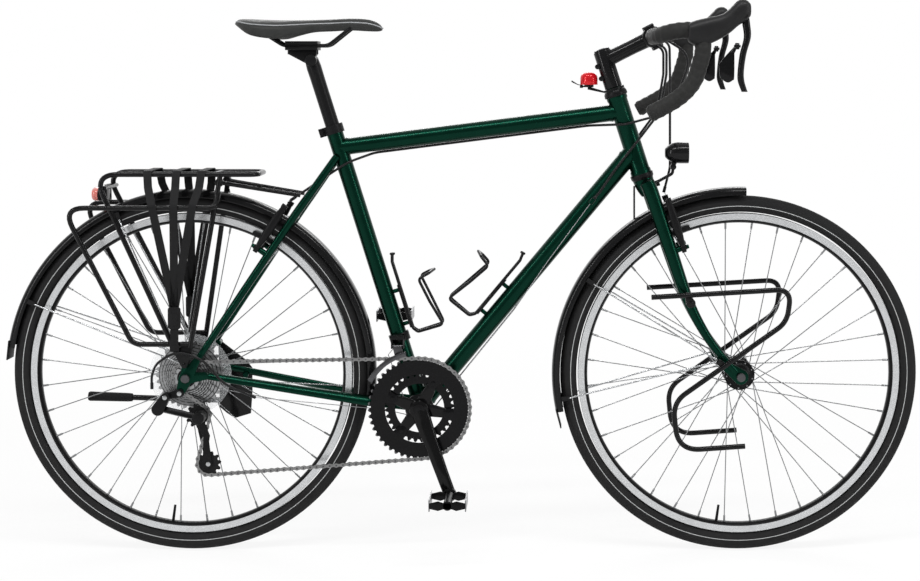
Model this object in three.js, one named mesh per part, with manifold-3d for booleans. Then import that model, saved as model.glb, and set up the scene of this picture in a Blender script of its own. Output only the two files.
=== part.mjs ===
// Touring bicycle: steel frame, drop handlebar, two by ten gears, linear-pull brakes,
// mudguards, rear rack with straps, low front racks, lamps, bell and rear kickstand.
// Millimetres. X points forward, Y to the rider's left, Z up from the ground.
// The right side, with the chain, has negative Y.

import * as THREE from 'three';
import { mergeVertices } from 'three/addons/utils/BufferGeometryUtils.js';
import Module from 'manifold-3d';

const wasm = await Module();
wasm.setup();

// Fits shared by every piece

const gap = 0.3;
const weld = 2;
const overrun = 30;
const chainPitch = 12.7;

// Facet counts

const facetCount = { wheel: 30, tube: 9, stay: 7, rod: 6, small: 6, round: 11, hub: 8, groove: 16, pin: 5, wire: 4, thread: 3 };
const bendStepDegrees = 75;

// Wheels

const tyre = { width: 35, height: 34, beadRadius: 311, beadWidth: 20, shoulderHeight: 6.5 };
// Tyre section: shares of half width and of height.
const tyreShares = [
  { width: -1, height: 0.6 }, { width: -0.86, height: 0.82 }, { width: -0.35, height: 1 },
  { width: 0.35, height: 1 }, { width: 0.86, height: 0.82 }, { width: 1, height: 0.6 },
];
const rim = { width: 24, depth: 12.5, flangeHeight: 6, trackHeight: 13, noseWidth: 10 };
const spokes = { count: 36, radius: 0.95, rimOffset: 2, flangeOffset: 1.2, lean: 3 };
const spokeDegrees = { right: 5, left: 15 };
const rearHub = {
  width: 135, leftFlange: 33, rightFlange: 17, flangeRadius: 23, flangeWidth: 4, holeRadius: 19.5,
  barrelRadius: 12, noseRadius: 10, leftNose: 62, rightNose: 21.6, discRadius: 79, discWidth: 1.2, discY: 20.5,
};
const frontHub = {
  width: 100, flange: 29, flangeRadius: 29, flangeWidth: 4, holeRadius: 25, barrelRadius: 24,
  noseRadius: 11, nose: 44,
};
const axle = { radius: 5, clearance: 0.6, nutRadius: 9, headRadius: 10, headLength: 7, locknutLength: 3 };

// Frame

const frameSize = {
  chainstayLength: 447.3, bracketDrop: 62, frontCentre: 618.5, seatTubeLength: 565,
  headTubeLength: 157, downStopAlong: 517, topTubeSeatJoint: 523, topTubeBelowHeadTop: 31.5, downTubeAboveHeadBottom: 47.5,
};
const frameAngleDegrees = { seatTube: 72.7, headTube: 72.1 };
const tubeRadius = { seat: 15.9, top: 15.9, down: 17.5, head: 18.7, shell: 20, bridge: 6, boss: 4 };
const shell = { width: 68, boreRadius: 17.5 };
const cup = { radius: 21.5, width: 6, sleeveRadius: 17.1, boreRadius: 12.8 };
const seatBore = { radius: 13.9, depth: 230 };
const headBore = { radius: 17 };
const headset = { radius: 22.5, lowerStack: 11, upperStack: 12, lipRadius: 20 };
const collar = {
  radius: 19.5, height: 17, rise: 3, earLength: 9, earWidth: 12, slotWidth: 2, slotDepth: 3, boltRadius: 2.5,
};

const seatstay = {
  topAlong: 508, topBack: 8, topSpread: 15, midX: 197, midZ: 297, midSpread: 34, endX: 22, endZ: 36,
  endSpread: 66, topRadius: 7.5, midRadius: 8, endRadius: 6.5,
};
const chainstay = {
  startX: 8, startSpread: 24, startRise: 2, waistX: 70, waistSpread: 27.3, waistRise: 9,
  swellX: 108, swellSpread: 33, swellRise: 14, endX: 36, endZ: 5, endSpread: 66,
  startRadius: 9, waistRadius: 8.6, swellRadius: 9.4, endRadius: 7.5, ovality: 2,
};
const dropout = { thickness: 5, radius: 15, eyeletRadius: 6, hangerX: 10.7, hangerZ: 27.4, hangerRadius: 8 };
const rackEyelet = { x: 1, z: 27 };
const brakeBoss = { radius: 5.5, length: 20, studRadius: 4, studLength: 16 };
const bossPlace = { rear: 279, front: 274, standOff: 28 };
const cableStop = { length: 12, radius: 4.5, stand: 5.5 };

// Fork

const forkSize = {
  length: 415, rake: 60.7, steererRadius: 14.3, steererTop: 672, crownDrop: 16, crownRadius: 14,
  bladeSpread: 37, dropoutThickness: 5, eyeletX: 43, eyeletZ: 32, eyeletReach: 60,
  bossSpread: 42, crownFront: 19,
};
// Share of the fork's length up from the axle, offset ahead of the steering axis, spread and radii.
const bladeStations = [
  { alongShare: 0.985, ahead: 4, spread: 36, wide: 11.5, deep: 14.5 },
  { alongShare: 0.93, ahead: 6, spread: 38, wide: 11, deep: 14.5 },
  { alongShare: 0.7, ahead: 7, spread: 41, wide: 10.5, deep: 13.5 },
  { alongShare: 0.5, ahead: 8, spread: 44, wide: 9.5, deep: 12 },
  { alongShare: 0.4, ahead: 10, spread: 46, wide: 9, deep: 10.5 },
  { alongShare: 0.3, ahead: 16, spread: 48, wide: 8.5, deep: 9.5 },
  { alongShare: 0.2, ahead: 26, spread: 50, wide: 8, deep: 8.5 },
  { alongShare: 0.1, ahead: 41, spread: 52, wide: 7, deep: 7.5 },
  { alongShare: 0.03, ahead: 54, spread: 52.5, wide: 4.5, deep: 7 },
];

// Steering

const stemSize = {
  clampRadius: 17, clampHeight: 74, extensionRise: 55, length: 102, tubeRadius: 15, barClampRadius: 20.5,
  barClampWidth: 42, capRadius: 15, capHeight: 4, boltStep: 24, boltRadius: 5, boltWidth: 26, faceBoltRadius: 4,
};
const stemRiseDegrees = 26.3;
const bar = {
  clampRadius: 15.9, radius: 11.9, bulgeHalf: 40, reach: 81, drop: 143, halfWidth: 215,
  tapeStart: 62, tapeRadius: 16, plugRadius: 13, plugLength: 4,
};
// Right half of the handlebar: shares of reach, half width and drop from the clamp's centre.
const barShares = [
  { reach: 0, out: 0.62, fall: 0 }, { reach: 0.05, out: 0.78, fall: 0 },
  { reach: 0.22, out: 0.89, fall: -0.03 }, { reach: 0.46, out: 0.93, fall: -0.055 },
  { reach: 0.76, out: 0.945, fall: -0.055 }, { reach: 0.93, out: 0.95, fall: 0.02 },
  { reach: 0.985, out: 0.955, fall: 0.19 }, { reach: 0.9, out: 0.965, fall: 0.39 },
  { reach: 0.75, out: 0.975, fall: 0.61 }, { reach: 0.4, out: 0.985, fall: 0.81 },
  { reach: -0.2, out: 1, fall: 1 },
];
const hood = { length: 115, height: 86, width: 40, out: 205, back: 24, below: 22 };
// Hood outline seen from the side: shares of its length and height.
const hoodShares = [
  { along: 0.0, low: 0.12, high: 0.5, wide: 0.96 }, { along: 0.14, low: 0.03, high: 0.57, wide: 1 },
  { along: 0.34, low: 0.06, high: 0.63, wide: 0.92 }, { along: 0.56, low: 0.2, high: 0.7, wide: 0.84 },
  { along: 0.7, low: 0.33, high: 0.86, wide: 0.86 }, { along: 0.8, low: 0.45, high: 0.99, wide: 0.88 },
  { along: 0.92, low: 0.55, high: 1, wide: 0.84 }, { along: 1, low: 0.66, high: 0.9, wide: 0.6 },
];
const lever = {
  drop: 138, width: 17, thickness: 8, pivotBack: 12, pivotDown: 29, pinRadius: 3, pinReach: 12, slotWidth: 9,
};
// Brake lever blade: shares of its drop, back and front edges as shares of its width.
const leverShares = [
  { fall: -0.03, back: -0.45, front: 0.45 }, { fall: 0.1, back: -0.55, front: 0.62 },
  { fall: 0.28, back: -0.35, front: 0.72 }, { fall: 0.5, back: -0.75, front: 0.25 },
  { fall: 0.72, back: -0.95, front: 0 }, { fall: 0.86, back: -0.95, front: 0.05 },
  { fall: 1, back: -0.5, front: 0.4 },
];
const paddle = {
  height: 66, width: 26, thickness: 4, inboard: 9, armWidth: 9, hangShare: 0.4, pinLength: 10, pinRadius: 2.5,
  ringRadius: 6, ringWidth: 8, shoulderShare: 0.45, heelShare: 0.85,
};

// Seat

const seatpost = { radius: 13.6, insert: 200, top: 698, headRadius: 11, headWidth: 44 };
const saddleClamp = {
  length: 62, width: 56, height: 5, back: 17, boltRadius: 2.6, railBore: 4.2, boltReach: 27, boltDrop: 8,
};
const saddle = {
  length: 280, width: 150, height: 42, topZ: 1031, rearX: -351.5, crownShare: 0.45, crownFallShare: 0.3,
  shoulderShare: 0.84, bulgeShare: 0.45, hemShare: 0.93, hollowShare: 0.4,
};
const rails = {
  radius: 3.5, spread: 22, height: 978, rearRise: 20, frontRise: 34, rearReach: 66, frontRun: 20,
  frontReach: 94,
};
// Saddle stations from rear to nose: shares of length, half width and height below the top line.
const saddleShares = [
  { along: 0.0, half: 0.3, crown: 0.2, edge: 0.26, skirt: 0.3 },
  { along: 0.03, half: 0.62, crown: 0.06, edge: 0.16, skirt: 0.42 },
  { along: 0.11, half: 0.94, crown: 0.05, edge: 0.22, skirt: 0.78 },
  { along: 0.2, half: 1, crown: 0.08, edge: 0.26, skirt: 0.94 },
  { along: 0.31, half: 0.9, crown: 0.1, edge: 0.28, skirt: 0.98 },
  { along: 0.41, half: 0.66, crown: 0.1, edge: 0.26, skirt: 0.82 },
  { along: 0.52, half: 0.44, crown: 0.09, edge: 0.23, skirt: 0.66 },
  { along: 0.65, half: 0.31, crown: 0.06, edge: 0.2, skirt: 0.62 },
  { along: 0.78, half: 0.26, crown: 0.02, edge: 0.16, skirt: 0.58 },
  { along: 0.9, half: 0.23, crown: 0.06, edge: 0.2, skirt: 0.62 },
  { along: 0.97, half: 0.17, crown: 0.22, edge: 0.34, skirt: 0.62 },
  { along: 1.0, half: 0.08, crown: 0.42, edge: 0.46, skirt: 0.56 },
];

// Drive

const ring = {
  outerTeeth: 48, innerTeeth: 32, outerY: -47, innerY: -39.4, thickness: 1.9, innerEdge: 63,
  smallInnerEdge: 47, toothRise: 1.7, toothRoot: 4.2, boltCircle: 55, boltRadius: 4.8, boltHead: 1.5,
  tabWidth: 22,
};
const crank = {
  length: 170, spindleRadius: 12, hubRadius: 18, hubInner: 42.6, hubOuter: 63, armOffset: 57,
  endOffset: 78, hubWidth: 34, endWidth: 25, thickness: 13, pedalBoss: 13, spiderWidth: 20,
  spiderInner: 40.7, spiderOuter: 45.7, spiderEnd: 9, leftInner: 41,
};
const crankDegrees = -69.5;
// One crank arm from hub to pedal eye: shares of its length, width, lean and thickness.
const armShares = [
  { reach: 0, width: 1, out: 0, thick: 1.1 }, { reach: 0.14, width: 0.95, out: 0.1, thick: 1.15 },
  { reach: 0.4, width: 0.8, out: 0.45, thick: 1 }, { reach: 0.75, width: 0.72, out: 0.85, thick: 0.9 },
  { reach: 1, width: 0.7, out: 1, thick: 0.85 },
];
const spiderDegrees = [59, 131, 229, 301];
const pedal = {
  length: 70, width: 84, height: 24, gapToCrank: 7, axleRadius: 4.6, barrelRadius: 9,
  plate: 2.5, toothHeight: 3, toothCount: 3,
};
const cassette = {
  largestY: -24.5, spacing: 3.95, thickness: 1.6, bodyRadius: 15.5, lockringRadius: 18, lockringY: -62.5,
};
const sprocketTeeth = [11, 12, 14, 16, 18, 20, 22, 25, 28, 32];
const drivenSprocket = 2;
const cassetteGapDegrees = 90;
const toothedSprockets = [2, 9];
const plainShare = 0.45;
const chain = { width: 5.2, outerWidth: 5.6, innerWidth: 4.8, plateHeight: 8.2, waistHeight: 6, groove: 0.35 };

// Rear derailleur, placed from the rear axle

const mech = {
  pivotX: 36, pivotZ: 33, linkX: 44, linkZ: 56, linkReach: 70, linkFall: 17, bodyWidth: 20, bracket: 5,
  guideX: 19.5, guideZ: 75, tensionX: 39, tensionZ: 167, pulleyTeeth: 11, toothWidth: 2.4, plateGap: 9,
  plate: 1.8, cageWidth: 12, knuckleRadius: 12, linkThickness: 6, sleeveRadius: 5.5, sleeveHalf: 6, pinRadius: 3,
  hingePin: 2.5, hingeReach: 10.5, cagePinLength: 7,
  noseShare: 0.7, stopX: 130, stopZ: 38, stopSide: 60, loopSide: 92,
};
// Route of the rear derailleur's housing, from the rear axle
const mechLoopOffsets = [
  [78, -6], [38, 36], [-8, 52], [-45, 36], [-59, 12], [-60, -16],
];
const mechSlantDegrees = 30;
const shifter = {
  plate: 1.5, cageWidth: 13, low: 103.5, high: 119, bandRadius: 20, bandHeight: 16, along: 138,
  pivotRise: 118, lugHalf: 9, lugWidth: 8, hingeRadius: 4, armWidth: 3,
};
const shifterDegrees = { front: 104, rear: 152, bridge: 7, lug: 12 };

// Brakes

const brakeArm = {
  length: 98, width: 14, thickness: 9, bossRadius: 9, lean: 8, padLength: 50, padDepth: 12, padHeight: 8.5,
  padClearance: 3, padDrop: 2.5, boltRadius: 4,
};
// Brake arm from its boss to the cable: shares of length, outward bow and width.
const brakeArmShares = [
  { along: 0, y: 0, width: 1 }, { along: 0.3, y: 0.6, width: 1 }, { along: 0.6, y: 0.9, width: 0.85 },
  { along: 1, y: 0.3, width: 0.75 },
];

// Mudguards

const mudguard = {
  width: 45, depth: 14, thickness: 1.6, rearRadius: 356, frontRadius: 360, stayRadius: 1.6,
  clip: 9, flapLength: 24, flapThickness: 2.4,
};
const mudguardDegrees = { rearStart: -10, rearEnd: 171.5, frontStart: 88, frontEnd: 193, flap: 4, overlap: 2 };
const guardStepDegrees = 15;
const crownTabDegrees = 124.5;
// Mudguard section: shares of half width out and of depth down.
const guardShares = [
  { out: 1, fall: 1 }, { out: 0.9, fall: 0.45 }, { out: 0.45, fall: 0.06 }, { out: -0.45, fall: 0.06 },
  { out: -0.9, fall: 0.45 }, { out: -1, fall: 1 },
];
const stayDegrees = { rearLow: 155.5, rearHigh: 114, frontHigh: 148, frontLow: 188 };

// Racks

const rack = {
  tube: 5, rail: 4, deckHeight: 733, deckRear: 140, deckFront: 136, deckHalf: 50, bend: 26, footX: 17,
  footZ: 55, rearTopX: 160, rearTopZ: 368, frontTopX: 66, frontFootX: 11, frontFootZ: 60, railHalf: 80,
  railHigh: 326, railFrontX: 62, railRearX: 228, railTieX: 150, railLow: 67, railLowRearX: 98,
  railLowFrontX: 14, stayY: 30, stayRadiusFromAxle: 408, plate: 4,
};
const rackCrossShares = [0.2, 0.7];
const brakeRunShares = { front: 0.88, rear: 0.12 };
const strap = {
  width: 17, thickness: 1.8, buckleWidth: 26, buckleHeight: 44, buckleDepth: 6, buckleX: 17, buckleZ: 118,
  turnShare: 0.25, hookRise: 12, rearX: 72, middleX: 17, frontX: 31,
};
const lowrider = {
  tube: 5, y: 80, bend: 30, lug: 18, lugThickness: 4, bossAlong: 168, bossAhead: 12, bossReach: 68,
  lugShare: 0.6, crossShare: 0.45,
};
// Low rack seen from the side: X and Z from the front axle.
const lowriderPlan = {
  topRearX: -173, topRearZ: 156.5, topFrontX: 92, topFrontZ: 172, noseX: 84, noseZ: 109,
  heelX: -131, heelZ: -44, toeX: -122, toeZ: -137, endX: 6, endZ: -128,
};

// Bottle cage in the tube's own directions: along it and away from it

const bottleCage = {
  rod: 2.8, stand: 12, length: 146, base: 10, bottomReach: 64, sideAlong: 92, sideReach: 46,
  hookReach: 76, bottleRadius: 37, bend: 9, plate: 3, plateLength: 86, plateStart: 10, bolt: 4.5,
  padStart: 24, padLength: 38, padRise: 1.5, padHalf: 6,
};
const cageAlong = { seat: 150, down: 207 };

// Lamps, bell and kickstand

const headlight = {
  radius: 20.5, length: 46, x: 495, z: 772, bracketRadius: 3, hingeZ: 745, hingeBack: 7, footHalf: 7,
  backShare: 0.45, waistShare: 0.85,
};
const tailLight = { width: 62, height: 28, depth: 24, lens: 5, backShare: 0.7, lensShare: 0.85 };
const bell = {
  radius: 16.5, height: 20, baseRadius: 9, baseHeight: 9, back: 46, ring: 5, rise: 4, rimShare: 0.93,
  shoulderShare: 0.9, bulgeShare: 0.55, topShare: 0.55, crownShare: 0.9,
};
const bellTiltDegrees = 0;
const hammer = { length: 17, width: 9, thickness: 6, post: 8, pinRadius: 1.6, ringRadius: 3, rise: 9, lift: 1 };
const stand = {
  pivotX: 60, pivotZ: 76, legLength: 284, legRadius: 5.5, gripRadius: 9.5, gripLength: 88,
  plateY: 72.8, plateThickness: 5, plateX: 37, plateZ: 103, plateLength: 67, plateHeight: 159,
  headRadius: 14, headWidth: 16, pinRadius: 5, bossRadius: 11,
};
const standRiseDegrees = 2;
const standTiltDegrees = 22;

// The stand's plate: shares of its length and height from its lower rear corner.
const standShares = [
  { along: 0, up: 1 }, { along: 0.82, up: 0.73 }, { along: 1, up: 0.635 }, { along: 1, up: 0.34 },
  { along: 0.95, up: 0.06 }, { along: 0.48, up: 0 }, { along: 0.25, up: 0.06 }, { along: 0.03, up: 0.14 },
];
const standFixing = { lowX: 94, lowZ: -12, highX: 40, highZ: 50 };

// Cables

const cable = {
  radius: 2.3, bareRadius: 0.8, bend: 40, guideY: 6, guideWidth: 20, guideHeight: 5, guideLength: 24,
  lampSide: 30,
};
const cableExitDegrees = { brake: -5, shift: -65 };

// Finishes

const finish = {
  green: { color: '#06402a', roughness: 0.25, metalness: 0.4 },
  black: { color: '#161617', roughness: 0.45, metalness: 0.3 },
  gloss: { color: '#0e0e10', roughness: 0.2, metalness: 0.5 },
  rubber: { color: '#1d1d1e', roughness: 0.85, metalness: 0 },
  plastic: { color: '#18191a', roughness: 0.6, metalness: 0 },
  silver: { color: '#b9bcbf', roughness: 0.3, metalness: 0.9 },
  steel: { color: '#8f9193', roughness: 0.35, metalness: 0.9 },
  red: { color: '#c8101c', roughness: 0.3, metalness: 0.2 },
  lens: { color: '#e6b3ac', roughness: 0.2, metalness: 0 },
};

// Helpers: points

const at = (x, y, z) => new THREE.Vector3(x, y, z);
const side = (x, z) => at(x, 0, z);
const radians = (degrees) => THREE.MathUtils.degToRad(degrees);
const mix = (a, b, share) => a.clone().lerp(b, share);
const polar = (centre, radius, degrees, y = 0) => at(
  centre.x + radius * Math.cos(radians(degrees)),
  y,
  centre.z + radius * Math.sin(radians(degrees)),
);
const pitchRadius = (teeth) => chainPitch / (2 * Math.sin(Math.PI / teeth));

// Helpers: solids

function solidOf(geometry) {
  const bare = geometry.clone();
  bare.deleteAttribute('normal');
  bare.deleteAttribute('uv');
  const merged = mergeVertices(bare);
  const place = merged.getAttribute('position');
  const corners = [0, 1, 2].map(() => new THREE.Vector3());
  const triangles = [];
  let volume = 0;
  for (let i = 0; i < merged.index.count; i += 3) {
    const triangle = [0, 1, 2].map((k) => merged.index.getX(i + k));
    if (new Set(triangle).size < 3) continue;
    triangle.forEach((index, k) => corners[k].fromBufferAttribute(place, index));
    volume += corners[0].dot(corners[1].clone().cross(corners[2]));
    triangles.push(triangle);
  }
  if (volume < 0) triangles.forEach((triangle) => triangle.reverse());
  const mesh = new wasm.Mesh({
    numProp: 3,
    vertProperties: new Float32Array(place.array),
    triVerts: new Uint32Array(triangles.flat()),
  });
  return new wasm.Manifold(mesh);
}

function geometryOf(solid) {
  const mesh = solid.getMesh();
  const geometry = new THREE.BufferGeometry();
  geometry.setAttribute('position', new THREE.BufferAttribute(mesh.vertProperties, mesh.numProp));
  geometry.setIndex(new THREE.BufferAttribute(mesh.triVerts, 1));
  const loose = geometry.toNonIndexed();
  loose.computeVertexNormals();
  return loose;
}

const join = (...solids) => solids.flat(Infinity).reduce((whole, piece) => whole.add(piece));
const cut = (solid, ...cutters) => cutters.flat(Infinity).reduce((rest, cutter) => rest.subtract(cutter), solid);

function mirrored(geometry) {
  const copy = geometry.clone();
  copy.applyMatrix4(new THREE.Matrix4().makeScale(1, -1, 1));
  return copy;
}

// Helpers: forms

function barrelShape(from, to, startRadius, endRadius = startRadius, sides = facetCount.tube) {
  const length = from.distanceTo(to);
  const geometry = new THREE.CylinderGeometry(endRadius, startRadius, length, sides);
  const turn = new THREE.Quaternion().setFromUnitVectors(
    at(0, 1, 0),
    to.clone().sub(from).normalize(),
  );
  geometry.applyQuaternion(turn);
  const middle = mix(from, to, 0.5);
  geometry.translate(middle.x, middle.y, middle.z);
  return geometry;
}
const barrel = (...sizes) => solidOf(barrelShape(...sizes));

// A profile of [radius, y] pairs turned about an axle through the centre, along Y.
function turned(profile, centre = at(0, 0, 0), sides = facetCount.round) {
  const points = profile.map(([radius, y]) => new THREE.Vector2(radius, y));
  const geometry = new THREE.LatheGeometry(points, sides);
  geometry.translate(centre.x, centre.y, centre.z);
  return solidOf(geometry);
}

// The same, about an axis that starts at one point and runs in any direction.
function turnedAlong(profile, origin, direction, sides = facetCount.round) {
  const points = profile.map(([radius, along]) => new THREE.Vector2(radius, along));
  const geometry = new THREE.LatheGeometry(points, sides);
  const turn = new THREE.Quaternion().setFromUnitVectors(at(0, 1, 0), direction.clone().normalize());
  geometry.applyQuaternion(turn);
  geometry.translate(origin.x, origin.y, origin.z);
  return solidOf(geometry);
}

// A flat outline in the X-Z plane, given a thickness between two values of Y.
function plateShape(outline, lowY, highY, holes = []) {
  const shape = new THREE.Shape(outline.map((point) => new THREE.Vector2(point.x, point.z)));
  holes.forEach((hole) => {
    shape.holes.push(new THREE.Path(hole.map((point) => new THREE.Vector2(point.x, point.z))));
  });
  const geometry = new THREE.ExtrudeGeometry(shape, { depth: highY - lowY, bevelEnabled: false });
  geometry.rotateX(Math.PI / 2);
  geometry.translate(0, highY, 0);
  return geometry;
}
const plate = (...sizes) => solidOf(plateShape(...sizes));

// An outline that goes round a row of discs, as a strap round pulleys.
function hullOutline(discs, sides = facetCount.small) {
  const points = [];
  discs.forEach(({ centre, radius }) => {
    for (let i = 0; i < sides; i += 1) {
      points.push(polar(centre, radius, (360 * i) / sides));
    }
  });
  points.sort((a, b) => a.x - b.x || a.z - b.z);
  const turnOf = (o, a, b) => (a.x - o.x) * (b.z - o.z) - (a.z - o.z) * (b.x - o.x);
  const half = (list) => {
    const chainPoints = [];
    list.forEach((point) => {
      while (chainPoints.length > 1 && turnOf(chainPoints.at(-2), chainPoints.at(-1), point) <= 0) {
        chainPoints.pop();
      }
      chainPoints.push(point);
    });
    return chainPoints.slice(0, -1);
  };
  return [...half(points), ...half([...points].reverse())];
}

// A bent rod: straight runs with rounded corners, swept with the fewest stations.
class BentPath extends THREE.Curve {
  constructor(stations) {
    super();
    this.stations = stations;
  }

  getPointAt(share) {
    const last = this.stations.length - 1;
    const index = Math.round(share * last);
    return this.stations[index].clone();
  }

  getTangentAt(share) {
    const last = this.stations.length - 1;
    const index = Math.round(share * last);
    const before = this.stations[Math.max(index - 1, 0)];
    const here = this.stations[index];
    const after = this.stations[Math.min(index + 1, last)];
    const arriving = here.clone().sub(before).normalize();
    const leaving = after.clone().sub(here).normalize();
    return arriving.add(leaving).normalize();
  }
}

function bentStations(points, bend) {
  const stations = [points[0]];
  for (let i = 1; i < points.length - 1; i += 1) {
    const corner = points[i];
    const back = points[i - 1].clone().sub(corner);
    const ahead = points[i + 1].clone().sub(corner);
    const half = back.angleTo(ahead) / 2;
    const reach = Math.min(bend / Math.tan(half), back.length() * 0.45, ahead.length() * 0.45);
    const start = corner.clone().addScaledVector(back.normalize(), reach);
    const end = corner.clone().addScaledVector(ahead.normalize(), reach);
    const turnDegrees = 180 - THREE.MathUtils.radToDeg(half * 2);
    const steps = Math.max(1, Math.round(turnDegrees / bendStepDegrees));
    for (let k = 0; k <= steps; k += 1) {
      const share = k / steps;
      const first = mix(start, corner, share);
      const second = mix(corner, end, share);
      stations.push(first.lerp(second, share));
    }
  }
  stations.push(points.at(-1));
  return stations;
}

function polygonOf(radius, sides) {
  const points = [];
  for (let i = 0; i < sides; i += 1) {
    const angle = (2 * Math.PI * (i + 0.5)) / sides;
    points.push(new THREE.Vector2(radius * Math.cos(angle), radius * Math.sin(angle)));
  }
  return new THREE.Shape(points);
}

function rodShape(points, radius, bend, sides = facetCount.rod) {
  const stations = bend > 0 ? bentStations(points, bend) : points;
  const extrudePath = new BentPath(stations);
  return new THREE.ExtrudeGeometry(polygonOf(radius, sides), { steps: stations.length - 1, extrudePath });
}
const rod = (...sizes) => solidOf(rodShape(...sizes));

// A skin over a row of rings that have the same number of points, closed at both ends.
function loftShape(rings) {
  const count = rings[0].length;
  const positions = rings.flat().flatMap((point) => [point.x, point.y, point.z]);
  const indices = [];
  for (let i = 0; i < rings.length - 1; i += 1) {
    for (let k = 0; k < count; k += 1) {
      const a = i * count + k;
      const b = i * count + ((k + 1) % count);
      indices.push(a, b, b + count, a, b + count, a + count);
    }
  }
  const last = (rings.length - 1) * count;
  for (let k = 1; k < count - 1; k += 1) {
    indices.push(0, k + 1, k);
    indices.push(last, last + k, last + k + 1);
  }
  const geometry = new THREE.BufferGeometry();
  geometry.setAttribute('position', new THREE.Float32BufferAttribute(positions, 3));
  geometry.setIndex(indices);
  geometry.setAttribute('normal', new THREE.Float32BufferAttribute(positions, 3));
  geometry.setAttribute('uv', new THREE.Float32BufferAttribute(new Array(positions.length / 3 * 2).fill(0), 2));
  return geometry;
}
const loft = (rings) => solidOf(loftShape(rings));

// An oval ring of points about a centre, in the plane of two directions.
function ovalRing(centre, across, wide, upward, deep, sides) {
  const points = [];
  for (let i = 0; i < sides; i += 1) {
    const angle = (2 * Math.PI * (i + 0.5)) / sides;
    const point = centre.clone();
    point.addScaledVector(across, wide * Math.cos(angle));
    point.addScaledVector(upward, deep * Math.sin(angle));
    points.push(point);
  }
  return points;
}

// An oval tube that tapers along a row of stations, kept square to its path in the X-Z plane.
function taperedTube(stations, sides = facetCount.stay) {
  const rings = stations.map(({ centre, wide, deep }, i) => {
    const before = stations[Math.max(i - 1, 0)].centre;
    const after = stations[Math.min(i + 1, stations.length - 1)].centre;
    const along = after.clone().sub(before).normalize();
    const across = at(0, 1, 0);
    const upward = along.clone().cross(across).normalize();
    across.crossVectors(upward, along).normalize();
    return ovalRing(centre, across, wide, upward, deep, sides);
  });
  return loft(rings);
}

// A toothed disc about an axle along Y: a ring of trapezoid teeth, with its first gap at a given angle.
function toothedOutline(teeth, centre, gapDegrees) {
  const tip = pitchRadius(teeth) + ring.toothRise;
  const root = pitchRadius(teeth) - ring.toothRoot;
  const step = 360 / teeth;
  const outline = [];
  for (let i = 0; i < teeth; i += 1) {
    outline.push(polar(centre, root, gapDegrees + i * step));
    outline.push(polar(centre, tip, gapDegrees + (i + 0.5) * step));
  }
  return outline;
}
const circleOutline = (centre, radius, sides) => hullOutline([{ centre, radius }], sides);

// The bicycle's main points

const rollingRadius = tyre.beadRadius + tyre.height;
const shellCentre = side(0, rollingRadius - frameSize.bracketDrop);
const rearAxle = side(-Math.sqrt(frameSize.chainstayLength ** 2 - frameSize.bracketDrop ** 2), rollingRadius);
const frontAxle = side(Math.sqrt(frameSize.frontCentre ** 2 - frameSize.bracketDrop ** 2), rollingRadius);
const seatAngle = radians(frameAngleDegrees.seatTube);
const headAngle = radians(frameAngleDegrees.headTube);
const seatUp = side(-Math.cos(seatAngle), Math.sin(seatAngle));
const seatAhead = side(Math.sin(seatAngle), Math.cos(seatAngle));
const steerUp = side(-Math.cos(headAngle), Math.sin(headAngle));
const steerAhead = side(Math.sin(headAngle), Math.cos(headAngle));
const steerFoot = frontAxle.clone().addScaledVector(steerAhead, -forkSize.rake);

function onAxis(origin, upward, ahead, along, forward, y) {
  const point = origin.clone().addScaledVector(upward, along).addScaledVector(ahead, forward);
  point.y = y;
  return point;
}
const seatPoint = (along, forward = 0, y = 0) => onAxis(shellCentre, seatUp, seatAhead, along, forward, y);
const steerPoint = (along, forward = 0, y = 0) => onAxis(steerFoot, steerUp, steerAhead, along, forward, y);

const headBottom = forkSize.length + headset.lowerStack;
const headTop = headBottom + frameSize.headTubeLength;
const topTubeEnds = [
  seatPoint(frameSize.topTubeSeatJoint),
  steerPoint(headTop - frameSize.topTubeBelowHeadTop),
];
const downTubeEnds = [shellCentre.clone(), steerPoint(headBottom + frameSize.downTubeAboveHeadBottom)];
const downUp = downTubeEnds[1].clone().sub(downTubeEnds[0]).normalize();
const downAbove = side(-downUp.z, downUp.x);
const downPoint = (along, above = 0, y = 0) => onAxis(shellCentre, downUp, downAbove, along, above, y);
const topAlong = topTubeEnds[1].clone().sub(topTubeEnds[0]).normalize();
const topAbove = side(-topAlong.z, topAlong.x);
const topPoint = (along, above = 0, y = 0) => onAxis(topTubeEnds[0], topAlong, topAbove, along, above, y);

const crankAngleEnd = polar(shellCentre, crank.length, crankDegrees);
const sprocketY = (index) => cassette.largestY - cassette.spacing * (sprocketTeeth.length - 1 - index);
const driveY = sprocketY(drivenSprocket);

// The model

const bicycle = new THREE.Group();
bicycle.name = 'touring_bicycle';

function addPart(name, shape, look) {
  const geometry = shape.isBufferGeometry ? geometryOf(solidOf(shape)) : geometryOf(shape);
  const mesh = new THREE.Mesh(geometry, new THREE.MeshStandardMaterial({ ...look }));
  mesh.name = name;
  bicycle.add(mesh);
  return mesh;
}

// The same piece on the right and, mirrored, on the left.
function addPair(name, shape, look) {
  const geometry = shape.isBufferGeometry ? shape : geometryOf(shape);
  addPart(`${name}_right`, geometry, look);
  addPart(`${name}_left`, mirrored(geometry), look);
}

// Frame: main tubes

const acrossBarrel = (centre, lowY, highY, radius, sides = facetCount.small) => barrel(
  at(centre.x, lowY, centre.z),
  at(centre.x, highY, centre.z),
  radius,
  radius,
  sides,
);
const bothSides = (solid) => join(solid, solidOf(mirrored(geometryOf(solid))));

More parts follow.
